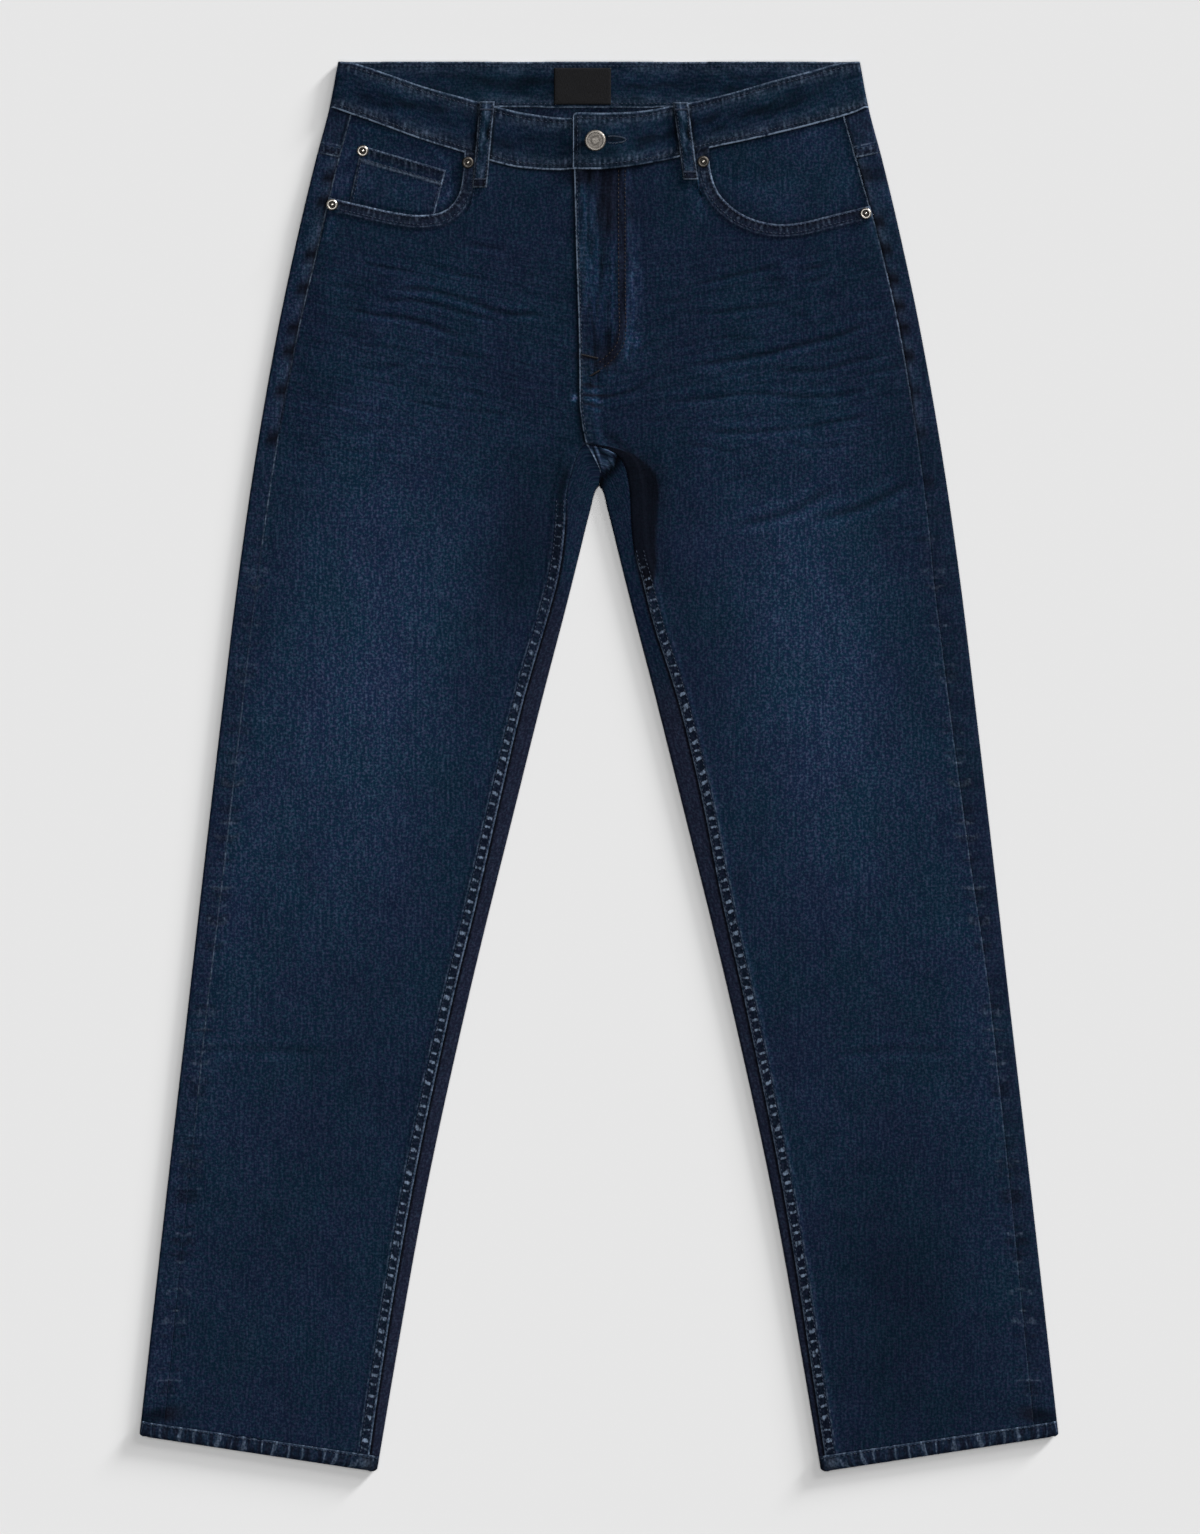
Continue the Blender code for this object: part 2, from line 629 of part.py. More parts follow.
def outer_part(side, outer, line):
    """The start of a back section: from the outseam, round the side fold, to the table."""
    section = []
    inset = OUTSEAM[side](outer) - SEAM_GAP
    for d in (inset, mix(inset, FOLD_HEIGHT / 2, 0.5)):
        drop = line(SIDE_FOLD(outer) - d)
        section.append((SIDE_FOLD(drop) - d, drop, None))
    section += [(SIDE_FOLD(outer) - d, outer, z) for d, z in fold_arc(FOLD_HEIGHT)]
    return section


def table_part(first, last):
    """Points between two places on the table, which are left out."""
    shares = [n / BOTTOM_COLUMNS for n in range(1, BOTTOM_COLUMNS)]
    return [(mix(first[0], last[0], share), mix(first[1], last[1], share), 0.0) for share in shares]


def seat_section(side, outer, centre, line=None):
    """A section of the back above the crotch, as (reach, drop, height) from the outseam to the centre."""
    section = outer_part(side, outer, line or (lambda reach: outer))
    last = (SEAM_GAP / 2, centre, 0.0)
    return section + table_part(section[-1], last) + [last]


def leg_section(side, station, crotch):
    """A section of a leg's back, from the outseam, under the leg, to the inseam."""
    section = outer_part(side, station.outer, front_line(side, station.outer, station.seam))
    fold = (SEAM_GAP / 2 if crotch else INNER_FOLD_LINE(station.fold), station.fold)
    slope = INNER_FOLD_LINE(station.fold + 0.5) - INNER_FOLD_LINE(station.fold - 0.5)
    size = math.hypot(1.0, slope)
    way = (0.0, -1.0) if crotch else (1 / size, -slope / size)
    arc = [(fold[0] + way[0] * d, fold[1] + way[1] * d, z) for d, z in reversed(fold_arc(FOLD_HEIGHT))]
    section += table_part(section[-1], arc[0]) + arc
    if crotch:
        away = side * SEAM_GAP / 2
        section += [(side * (row.x + away), row.drop, None) for row in SEAT_SEAM]
        corner = SEAM_CORNER[side]
        section.append((side * (CROTCH_SEAM[0] + corner[0]), CROTCH_SEAM[1] + corner[1], None))
        return section
    drop = station.seam + SEAM_GAP
    edge = (INSEAM_LINE[side](station.seam) - SEAM_GAP, drop)
    start = arc[-1]
    for n in range(1, INSEAM_COLUMNS + 1):
        share = n / INSEAM_COLUMNS
        section.append((mix(start[0], edge[0], share), mix(start[1], edge[1], share), None))
    return section


def laid(side, section):
    """Gives each point of a back section its place, on the table or in the upper layer."""
    places = []
    for reach, drop, z in section:
        x = side * reach
        places.append((x, drop, upper(x, drop) if z is None else z + lift(x, drop)))
    return places


def back_panel(side, collection, look):
    """A back leg panel, which wraps round both folds to the outseam and inseam."""
    seat_rows = 12
    grid = []
    for n in range(seat_rows):
        share = n / seat_rows
        outer = mix(YOKE_SIDE_DROP + SEAM_GAP / 2, CROTCH_OUTER_DROP, share)
        centre = mix(YOKE_CENTRE_DROP + SEAM_GAP / 2, CROTCH_DROP - FOLD_HEIGHT / 2, share)
        line = (lambda reach: yoke_wrap(reach) + SEAM_GAP / 2) if n == 0 else None
        section = seat_section(side, outer, centre, line)
        spare = ARC_STEPS + 1 + INSEAM_COLUMNS
        grid.append(laid(side, section + [section[-1]] * spare))
    for n, station in enumerate(leg_stations(side)):
        grid.append(laid(side, leg_section(side, station, n == 0)))
    centre_column = 2 + (ARC_STEPS + 2) + BOTTOM_COLUMNS - 1
    cloth("back_" + SIDE_NAMES[side], grid, WALL, collection, look, drop_corner=(seat_rows, centre_column))


def yoke(side, collection, look):
    """The back yoke, from the waistband to the seam above the back panel."""
    top = BAND_SIDE_DROP + YOKE_GAP
    head = seat_section(side, top, top, lambda reach: BAND_FOOT[side](reach) + YOKE_GAP)
    outer, centre = YOKE_SIDE_DROP - SEAM_GAP / 2, YOKE_CENTRE_DROP - SEAM_GAP / 2
    foot = seat_section(side, outer, centre, lambda reach: yoke_wrap(reach) - SEAM_GAP / 2)
    grid = []
    for share in (0.0, 0.33, 0.67, 1.0):
        section = []
        for a, b in zip(head, foot):
            section.append((mix(a[0], b[0], share), mix(a[1], b[1], share), a[2]))
        grid.append(laid(side, section))
    cloth("yoke_" + SIDE_NAMES[side], grid, WALL, collection, look)


def band_point(side, reach, share, rise=0.0):
    """A point of the waistband's front, a share of the way down from its top edge."""
    top, foot = BAND_TOP[side], BAND_FOOT[side]
    spread = SIDE_FOLD(mix(top(reach), foot(reach), share)) / BAND_HALF
    reach *= mix(1.0, spread, ease((reach - TAB_RAMP_END_X) / BAND_SPREAD))
    drop = mix(top(reach), foot(reach), share)
    return side * reach, drop, band_height(side * reach, drop) + rise


def waistband(collection, look):
    """The waistband: from the hidden right end, round the right side, back and left side, to the tab."""
    last, steps, back_steps = BAND_HALF - 12.0, 14, 30
    sides = [mix(TAB_RAMP_END_X, last, n / steps) for n in range(steps + 1)]
    right, left = RIGHT_END_REACHES + sides, list(reversed(sides)) + LEFT_END_REACHES
    arc = fold_arc(BAND_HEIGHT)
    grid = []
    for share in (0.0, 0.5, 1.0):
        drop = BAND_SIDE_DROP * share
        fold, half = SIDE_FOLD(drop), BAND_HEIGHT / 2
        row = [band_point(RIGHT, reach, share) for reach in right]
        row += [(RIGHT * (fold - d), drop, z) for d, z in arc]
        for n in range(1, back_steps):
            x = mix(-1.0, 1.0, n / back_steps) * (fold - half)
            row.append((x, drop, lift(x, drop)))
        row += [(LEFT * (fold - d), drop, z) for d, z in reversed(arc)]
        row += [band_point(LEFT, reach, share, tab_rise(reach)) for reach in left]
        grid.append(row)
    cloth("waistband", grid, BAND_WALL, collection, look)


def pocket_facing(side, collection, look):
    """The piece that shows inside a front pocket's opening, and runs on under the front panel."""
    columns, rows = 10, 5
    under = OPENING_BAND - SEAM_GAP
    inner = opening_at(side, 1.0)[0] - under
    outer = outer_edge(side, BAND_FOOT[side](outer_edge(side, BAND_SIDE_DROP)))
    grid = []
    for m in range(rows + 1):
        row = []
        for n in range(columns + 1):
            share = n / columns
            point, way = opening_at(side, share), opening_normal(side, share)
            turn = ease((share - 0.8) / 0.2)
            way = (mix(way[0], FACING_CORNER_WAY[0], turn), mix(way[1], FACING_CORNER_WAY[1], turn))
            foot = (point[0] + way[0] * under, point[1] + way[1] * under)
            head_reach = mix(outer, inner, share)
            head = (head_reach, BAND_FOOT[side](head_reach) + BAND_GAP)
            reach, drop = (mix(a, b, m / rows) for a, b in zip(head, foot))
            if n == 0:
                reach = outer_edge(side, drop)
            row.append((side * reach, drop, upper(side * reach, drop) - WALL - LAYER_GAP))
        grid.append(row)
    cloth("pocket_facing_" + SIDE_NAMES[side], grid, WALL, collection, look)


def opening_drop(side, reach):
    """Drop of the front panel's pocket edge at a reach."""
    points = [opening_at(side, share) for share in OPENING_SHARES]
    for a, b in zip(points, points[1:]):
        if b[0] <= reach <= a[0]:
            return mix(a[1], b[1], (a[0] - reach) / (a[0] - b[0]))
    return points[0][1]


def coin_pocket(collection, look):
    """The small pocket on the right facing. Its foot ends at the big pocket's opening."""
    columns, rows = 6, 4
    grid = []
    for m in range(rows + 1):
        row = []
        for n in range(columns + 1):
            share = n / columns
            head = tuple(mix(a, b, share) for a, b in zip(*COIN_POCKET_TOP))
            foot_reach = mix(*COIN_POCKET_FOOT, share)
            foot = (foot_reach, opening_drop(RIGHT, foot_reach) - 2 * SEAM_GAP)
            reach, drop = (mix(a, b, m / rows) for a, b in zip(head, foot))
            row.append((-reach, drop, upper(-reach, drop)))
        grid.append(row)
    cloth("coin_pocket", grid, WALL, collection, look)


def hem(side, collection, look):
    """A turned-up hem: a flattened ring round the end of a leg."""
    half, across = HEM_FOLD_HEIGHT / 2, 6
    grid = []
    for share, inset in HEM_ROWS:
        outer_drop = HEM_OUTER_DROP - HEM_HEIGHT * (1 - share)
        inner_drop = HEM_INNER_DROP - HEM_HEIGHT * (1 - share)
        outer, inner = SIDE_FOLD(outer_drop) - inset, INNER_FOLD_LINE(inner_drop) + inset
        line = straight(inner, inner_drop, outer, outer_drop)
        arc = fold_arc(HEM_FOLD_HEIGHT)
        middle = [mix(outer - half, inner + half, n / across) for n in range(1, across)]
        row = [(outer - d, outer_drop, z) for d, z in arc]
        row += [(reach, line(reach), 0.0) for reach in middle]
        row += [(inner + d, inner_drop, z) for d, z in reversed(arc)]
        row += [(reach, line(reach), HEM_FOLD_HEIGHT) for reach in reversed(middle)]
        row.append(row[0])
        grid.append([(side * reach, drop, z) for reach, drop, z in row])
    cloth("hem_" + SIDE_NAMES[side], grid, HEM_WALL, collection, look, ring=True)


def front_loop(row, collection, look):
    """A belt loop over the front of the waistband, sewn to its edge and to the panel below."""
    steps = 10
    grid = []
    for n in range(steps + 1):
        share = n / steps
        x, drop = mix(row.top_x, row.foot_x, share), mix(row.top_drop, row.foot_drop, share)
        nearby = [min(max(drop + b, row.top_drop + 2.0), row.foot_drop) for b in (-6.0, 0.0, 6.0)]
        under = max(topmost(x + a, d) for a in (-LOOP_WIDTH / 2, 0.0, LOOP_WIDTH / 2) for d in nearby)
        z = under + LAYER_GAP + LOOP_WALL
        half = LOOP_WIDTH / 2
        grid.append([(x - half, drop, z), (x, drop, z + LOOP_CROWN), (x + half, drop, z)])
    cloth(row.name, grid, LOOP_WALL, collection, look)


def back_loop(name, x, collection, look):
    """A belt loop on the back of the waistband, flat on the table."""
    grid = [
        [(x - LOOP_WIDTH / 2, drop, 0.0), (x, drop, 0.0), (x + LOOP_WIDTH / 2, drop, 0.0)]
        for drop in (1.0, BACK_LOOP_FOOT / 2, BACK_LOOP_FOOT)
    ]
    cloth("belt_loop_back_" + name, grid, LOOP_WALL, collection, look, under=True)


def back_pocket(side, collection, look):
    """A patch pocket on the back, flat on the table, with a pointed foot."""
    size, (top_width, foot_width), rows, columns = BACK_POCKET, BACK_POCKET_WIDTHS, 4, 4
    grid = []
    for m in range(rows + 1):
        share = m / rows
        half = mix(top_width, foot_width, share) / 2
        row = []
        for n in range(columns + 1):
            across = 2 * n / columns - 1
            drop = size["top"] + (size["height"] - size["point"]) * share
            drop += size["point"] * share * (1 - abs(across))
            row.append((side * size["x"] + half * across, drop, 0.0))
        grid.append(row)
    cloth("back_pocket_" + SIDE_NAMES[side], grid, WALL, collection, look, under=True)


def label(collection, look):
    """The woven label inside the back of the waistband."""
    size, columns = LABEL, 4
    grid = []
    for drop in (size["top"], size["foot"]):
        row = []
        for n in range(columns + 1):
            x = mix(size["x0"], size["x1"], n / columns)
            row.append((x, drop, lift(x, drop) + BAND_WALL + LAYER_GAP + size["wall"]))
        grid.append(row)
    cloth("label", grid, size["wall"], collection, look)


def rivet(name, x, drop, collection, look):
    """A pocket rivet: a low dome with a ring round a raised centre."""
    rim = RIVET_PROFILE[-2][0]
    turns = [math.tau * n / 8 for n in range(8)]
    seat = max(topmost(x + rim * math.cos(t), drop + rim * math.sin(t)) for t in turns)
    turned(name, RIVET_PROFILE, x, drop, seat + LAYER_GAP, collection, look, 16)


def button(collection, look):
    """The fly's shank button, fastened through the waistband's left end."""
    base = topmost(BUTTON["x"], BUTTON["drop"]) + LAYER_GAP
    turned("button", BUTTON_PROFILE, BUTTON["x"], BUTTON["drop"], base, collection, look, 28)


def main():
    """Clears the scene and builds the jeans."""
    for obj in list(bpy.data.objects):
        bpy.data.objects.remove(obj)
    collection = bpy.data.collections.new("straight_leg_jeans")
    bpy.context.scene.collection.children.link(collection)
    denim, dark = material("denim", DENIM), material("denim_dark", DARK_DENIM)
    metal, satin = material("antique_nickel", NICKEL), material("black_satin", BLACK_SATIN)
    for side in (RIGHT, LEFT):
        front_panel(side, collection, denim)
        back_panel(side, collection, denim)
        yoke(side, collection, denim)
        pocket_facing(side, collection, denim)
        back_pocket(side, collection, denim)
        hem(side, collection, dark)
    waistband(collection, dark)
    coin_pocket(collection, denim)
    for row in FRONT_LOOPS:
        front_loop(row, collection, dark)
    for name, x in BACK_LOOPS.items():
        back_loop(name, x, collection, dark)
    label(collection, satin)
    for name, (x, drop) in RIVETS.items():
        rivet(name, x, drop, collection, metal)
    button(collection, metal)


main()
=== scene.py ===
"""The looks of straight leg jeans, laid flat with the front up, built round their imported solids.

Sizes are millimetres in the garment's frame: +X to the wearer's left, +Y to the waist and +Z up. A
"drop" is a distance down from the back waist edge. A "reach" is a distance from the centre line
towards the side that a piece belongs to.
"""
import logging
import math
from collections.abc import Callable, Iterable, Sequence
from dataclasses import dataclass, field
from enum import Enum, IntEnum
from typing import NamedTuple

import bpy
import numpy as np
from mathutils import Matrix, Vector


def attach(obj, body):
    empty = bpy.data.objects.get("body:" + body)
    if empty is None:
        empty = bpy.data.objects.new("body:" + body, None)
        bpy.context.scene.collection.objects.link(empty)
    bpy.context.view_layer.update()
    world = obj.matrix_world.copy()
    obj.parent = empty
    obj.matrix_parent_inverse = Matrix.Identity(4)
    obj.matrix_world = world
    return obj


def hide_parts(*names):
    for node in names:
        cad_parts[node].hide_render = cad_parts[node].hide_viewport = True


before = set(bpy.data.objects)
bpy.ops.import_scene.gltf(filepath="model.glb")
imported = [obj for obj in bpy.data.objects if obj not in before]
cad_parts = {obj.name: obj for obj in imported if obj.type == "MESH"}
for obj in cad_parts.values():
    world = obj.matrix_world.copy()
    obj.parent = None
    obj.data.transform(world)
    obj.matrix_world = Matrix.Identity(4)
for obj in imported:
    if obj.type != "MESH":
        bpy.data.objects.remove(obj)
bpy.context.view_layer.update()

log = logging.getLogger("jeans")

Array = np.ndarray
Colour = tuple[float, float, float]
Points = Sequence[tuple[float, float]]

MM = 0.001
WAVE_SEED = 7
BODY = "root"

# The whole garment.
TOTAL_LENGTH = 1127.2
CROTCH_DROP = 339.2
CROTCH_SEAM = (-10.4, 305.6)
CROTCH_TOP = CROTCH_SEAM[1]  # where the four panels meet
HEM_OUTER_DROP, HEM_INNER_DROP = 1099.2, TOTAL_LENGTH
HEM_HEIGHT = 12.0

# Cloth, and how its layers lie.
WALL, BAND_WALL, HEM_WALL = 1.2, 2.6, 2.4
SEAM_GAP, LAYER_GAP, BUTT_GAP = 0.3, 0.4, 0.1
FOLD_HEIGHT, BAND_HEIGHT, HEM_FOLD_HEIGHT = 4.0, 6.2, 5.8
PUFF, PUFF_REACH = 1.6, 15.0
UNDER = 0.3  # the cloth underneath is raised by this, so that its stitches lie above the table

# The waistband, the fly and the seams.
BAND_SIDE_DROP, BAND_HALF = 37.0, 215.0
TAB_END_X, UNDER_END_X, TAB_RAMP_END_X = -20.8, 8.0, 52.0
BAND_SPREAD = 100.0
FLY_UNDERLAP, FLY_STITCH_X = 6.0, 20.8
FLY_CENTRE, FLY_RADII = (-8.0, 205.0), (28.8, 46.0)
UNDERLAP_FADE, FLY_FADE = 40.0, 34.0
SEAM_BAND, SEAM_RELIEF = 9.5, 0.6
OPENING_BAND, OPENING_RELIEF, BAND_FALL = 9.6, 1.0, 3.0

# The back.
YOKE_SIDE_DROP, YOKE_CENTRE_DROP, YOKE_WRAP_SLOPE = 73.0, 105.0, 0.2
BACK_POCKET_X, BACK_POCKET_TOP, BACK_POCKET_HEIGHT, BACK_POCKET_POINT = 118.0, 130.0, 152.0, 18.0
BACK_POCKET_WIDTHS = 146.0, 124.0
BACK_LOOPS = {"centre": 0.0, "left": 130.0, "right": -130.0}
BACK_LOOP_FOOT = 56.0
LIFT_FLAT, LIFT_RAMP = 22.0, 45.0
LOOP_WIDTH, LOOP_WALL = 12.0, 1.6

CROTCH_OUTER_DROP, LEVEL_REACH = 318.0, 125.0
HIP_OUTER_DROP, HIP_INNER_DROP = 182.0, 200.0


class Side(IntEnum):
    """A side of the garment, as the wearer has it."""

    RIGHT = -1
    LEFT = 1

    @property
    def word(self) -> str:
        """The side's name in a piece's name."""
        return self.name.lower()


class OutlineRow(NamedTuple):
    """The side fold, and how far in from it the outseam runs."""

    drop: float
    side: float
    outseam_right: float
    outseam_left: float


OUTLINE = (
    OutlineRow(0.0, 208.6, 17.6, 20.8),
    OutlineRow(36.0, 215.4, 17.6, 20.8),
    OutlineRow(78.0, 226.4, 17.6, 20.4),
    OutlineRow(142.0, 241.6, 17.6, 17.8),
    OutlineRow(214.0, 256.8, 16.0, 16.5),
    OutlineRow(305.0, 272.9, 15.0, 17.6),
    OutlineRow(366.0, 282.2, 15.0, 19.0),
    OutlineRow(430.0, 290.8, 15.0, 21.2),
    OutlineRow(510.0, 300.4, 15.2, 20.8),
    OutlineRow(630.0, 314.4, 15.6, 18.8),
    OutlineRow(750.0, 328.0, 14.8, 15.2),
    OutlineRow(910.0, 346.4, 17.0, 16.6),
    OutlineRow(HEM_OUTER_DROP, 367.6, 19.0, 19.0),
)


class FoldRow(NamedTuple):
    """The fold on the inside of a leg."""

    drop: float
    reach: float


INNER_FOLD = (
    FoldRow(CROTCH_DROP, 0.2),
    FoldRow(342.4, 2.6),
    FoldRow(358.0, 6.9),
    FoldRow(398.0, 16.8),
    FoldRow(430.0, 24.8),
    FoldRow(510.0, 45.6),
    FoldRow(590.0, 65.6),
    FoldRow(750.0, 104.8),
    FoldRow(910.0, 139.6),
    FoldRow(1030.0, 161.2),
    FoldRow(HEM_INNER_DROP, 177.6),
)


class InseamRow(NamedTuple):
    """The inseam's reach on each leg."""

    drop: float
    right: float
    left: float


INSEAM = (
    InseamRow(CROTCH_TOP, 10.4, -10.4),
    InseamRow(309.0, 14.6, 4.0),
    InseamRow(315.0, 17.6, 15.0),
    InseamRow(327.0, 21.6, 22.0),
    InseamRow(347.0, 26.2, 25.0),
    InseamRow(370.0, 27.2, 26.0),
    InseamRow(390.0, 29.0, 28.0),
    InseamRow(414.0, 33.0, 34.4),
    InseamRow(444.0, 41.0, 42.0),
    InseamRow(510.0, 60.2, 63.0),
    InseamRow(590.0, 79.2, 82.4),
    InseamRow(670.0, 97.4, 98.2),
    InseamRow(750.0, 117.0, 116.2),
    InseamRow(910.0, 150.8, 148.4),
    InseamRow(1070.0, 177.4, 173.8),
    InseamRow(HEM_INNER_DROP, 185.4, 182.6),
)


class FlyRow(NamedTuple):
    """The edge of the fly."""

    drop: float
    x: float


FLY_EDGE = (
    FlyRow(80.0, -20.2),
    FlyRow(154.0, -18.2),
    FlyRow(230.0, -15.9),
    FlyRow(270.0, -15.6),
    FlyRow(290.0, -13.6),
    FlyRow(CROTCH_TOP, CROTCH_SEAM[0]),
)


class BandRow(NamedTuple):
    """Drops of the waistband's two long edges, seen from the front."""

    reach: float
    right_top: float
    left_top: float
    right_foot: float
    left_foot: float


BAND = (
    BandRow(-22.0, 45.4, 40.6, 85.8, 86.2),
    BandRow(0.0, 45.4, 41.2, 85.8, 86.4),
    BandRow(22.0, 45.3, 40.6, 86.0, 84.4),
    BandRow(30.0, 45.0, 40.0, 86.9, 83.2),
    BandRow(60.0, 41.0, 35.2, 85.3, 77.3),
    BandRow(85.0, 35.2, 30.3, 79.7, 69.9),
    BandRow(110.0, 28.6, 24.1, 71.3, 64.3),
    BandRow(142.0, 20.0, 15.3, 60.9, 56.8),
    BandRow(175.0, 9.2, 7.1, 49.2, 48.7),
    BandRow(195.0, 3.0, 1.9, 42.6, 43.2),
    BandRow(208.0, 0.0, 0.0, 38.6, 39.2),
    BandRow(BAND_HALF, 0.0, 0.0, BAND_SIDE_DROP, BAND_SIDE_DROP),
)


class OpeningRow(NamedTuple):
    """A point of each front pocket's opening, from the side seam to the waistband."""

    right_reach: float
    right_drop: float
    left_reach: float
    left_drop: float


OPENING = (
    OpeningRow(217.2, 108.5, 216.6, 115.5),
    OpeningRow(190.0, 114.8, 188.0, 122.3),
    OpeningRow(165.0, 120.3, 160.0, 129.0),
    OpeningRow(143.0, 122.9, 137.0, 129.5),
    OpeningRow(124.0, 119.5, 114.0, 121.8),
    OpeningRow(112.5, 107.0, 96.5, 106.5),
    OpeningRow(108.5, 88.0, 89.5, 89.0),
    OpeningRow(107.5, 70.5, 88.0, 75.8),
)


class Hollow(NamedTuple):
    """A large crease of the upper layer: a ridge where height is above zero, and else a trough."""

    x0: float
    drop0: float
    x1: float
    drop1: float
    height: float
    width: float


HOLLOWS = (
    Hollow(17.0, 316.0, 29.0, 396.0, 0.7, 9.0),
    Hollow(40.0, 318.0, 47.0, 420.0, -0.8, 10.0),
    Hollow(-34.0, 330.0, -40.0, 380.0, -0.5, 9.0),
    Hollow(105.0, 367.0, 243.0, 338.0, -0.6, 11.0),
    Hollow(95.0, 241.0, 180.0, 223.0, -0.5, 9.0),
    Hollow(118.0, 268.0, 240.0, 240.0, -0.4, 10.0),
    Hollow(-202.0, 195.0, -122.0, 215.0, -0.5, 9.0),
    Hollow(-186.0, 160.0, -96.0, 178.0, -0.4, 10.0),
    Hollow(32.0, 130.0, 34.0, 235.0, -0.5, 9.0),
)


class Whisker(NamedTuple):
    """A fine worn-in crease across the hips: its strength, the points it runs through and its width."""

    strength: float
    path: Points
    width: float = 3.0


WHISKERS = (
    # Wearer's right hip and thigh.
    Whisker(0.6, ((-187, 162), (-171, 165), (-148, 169))),
    Whisker(0.85, ((-137, 163), (-123, 166), (-110, 170), (-95, 174))),
    Whisker(0.3, ((-187, 168), (-171, 173), (-159, 174))),
    Whisker(1.0, ((-159, 182), (-139, 182), (-107, 190), (-77, 201), (-47, 202)), 3.4),
    Whisker(0.85, ((-175, 191), (-147, 191), (-111, 200), (-79, 207))),
    Whisker(1.0, ((-201, 197), (-179, 202), (-150, 206), (-123, 215), (-110, 219)), 3.2),
    Whisker(0.6, ((-212, 178), (-194, 181))),
    Whisker(0.6, ((-111, 145), (-95, 147), (-76, 150))),
    Whisker(0.35, ((-239, 223), (-207, 225))),
    Whisker(0.45, ((-189, 226), (-171, 228), (-155, 230))),
    Whisker(0.6, ((-122, 230), (-109, 234), (-86, 238))),
    Whisker(0.6, ((-190, 242), (-179, 245))),
    Whisker(0.6, ((-175, 242), (-155, 244))),
    Whisker(0.6, ((-143, 244), (-134, 245))),
    Whisker(0.35, ((-203, 251), (-183, 254), (-159, 259))),
    Whisker(0.6, ((-118, 261), (-103, 263), (-87, 268))),
    Whisker(0.6, ((-151, 272), (-135, 274), (-119, 278))),
    Whisker(0.35, ((-223, 274), (-203, 275), (-171, 282))),
    Whisker(0.45, ((-110, 278), (-95, 280), (-75, 282))),
    Whisker(0.35, ((-204, 310), (-171, 312), (-155, 312))),
    Whisker(0.35, ((-191, 295), (-175, 293))),
    # Wearer's left hip and thigh.
    Whisker(0.85, ((81, 177), (93, 174), (125, 167), (143, 162))),
    Whisker(0.7, ((157, 166), (167, 166), (181, 161))),
    Whisker(0.6, ((133, 175), (149, 174))),
    Whisker(0.6, ((161, 176), (173, 175), (185, 171))),
    Whisker(0.35, ((49, 192), (81, 192))),
    Whisker(0.7, ((73, 202), (113, 198), (149, 193))),
    Whisker(0.6, ((157, 203), (166, 202))),
    Whisker(0.45, ((193, 202), (207, 198), (241, 197))),
    Whisker(0.45, ((85, 222), (105, 221), (129, 222))),
    Whisker(1.0, ((77, 242), (105, 238), (135, 233), (161, 226), (189, 219), (215, 210)), 3.4),
    Whisker(0.85, ((142, 246), (173, 247), (201, 240), (225, 235)), 3.2),
    Whisker(0.6, ((210, 250), (225, 247), (245, 242))),
    Whisker(0.7, ((49, 273), (93, 268), (125, 265), (173, 268), (210, 264)), 3.2),
    Whisker(0.35, ((97, 258), (145, 258))),
    Whisker(0.35, ((161, 258), (185, 258))),
    Whisker(0.7, ((81, 295), (121, 296), (161, 292), (217, 283)), 3.2),
    Whisker(0.6, ((145, 301), (157, 305), (169, 308), (201, 306))),
    Whisker(0.45, ((65, 306), (81, 307), (109, 313))),
    Whisker(0.35, ((33, 287), (73, 286))),
    Whisker(0.35, ((93, 338), (109, 333), (125, 332))),
    Whisker(0.7, ((109, 370), (149, 361), (173, 348), (185, 342)), 5.0),
    Whisker(0.85, ((173, 365), (209, 356), (241, 340), (250, 337)), 5.0),
    Whisker(0.6, ((249, 383), (261, 383))),
    Whisker(0.6, ((241, 374), (257, 372))),
    Whisker(0.7, ((1, 268), (17, 266), (33, 259), (45, 251))),
    Whisker(0.6, ((25, 234), (37, 228), (45, 222))),
    # Across the shins.
    Whisker(0.4, ((-343, 791), (-280, 789), (-216, 792)), 5.0),
    Whisker(0.4, ((193, 792), (240, 789), (280, 791)), 5.0),
)
WHISKER_DEPTH = 0.55


class Fade(NamedTuple):
    """A washed or dark zone: its middle, its half sizes, its turn in degrees and how much it gains."""

    x: float
    drop: float
    half_width: float
    half_length: float
    turn: float
    gain: float


FADES = (
    Fade(-182.0, 472.0, 76.0, 200.0, 8.5, 0.86),
    Fade(-288.0, 660.0, 38.0, 200.0, 7.0, 0.32),
    Fade(-60.0, 385.0, 30.0, 70.0, 14.0, -0.25),
    Fade(172.0, 470.0, 66.0, 185.0, -9.0, 0.88),
    Fade(300.0, 700.0, 36.0, 230.0, -6.0, 0.2),
    Fade(240.0, 1010.0, 60.0, 120.0, -7.0, -0.32),
    Fade(250.0, 250.0, 26.0, 90.0, -8.0, -0.1),
)
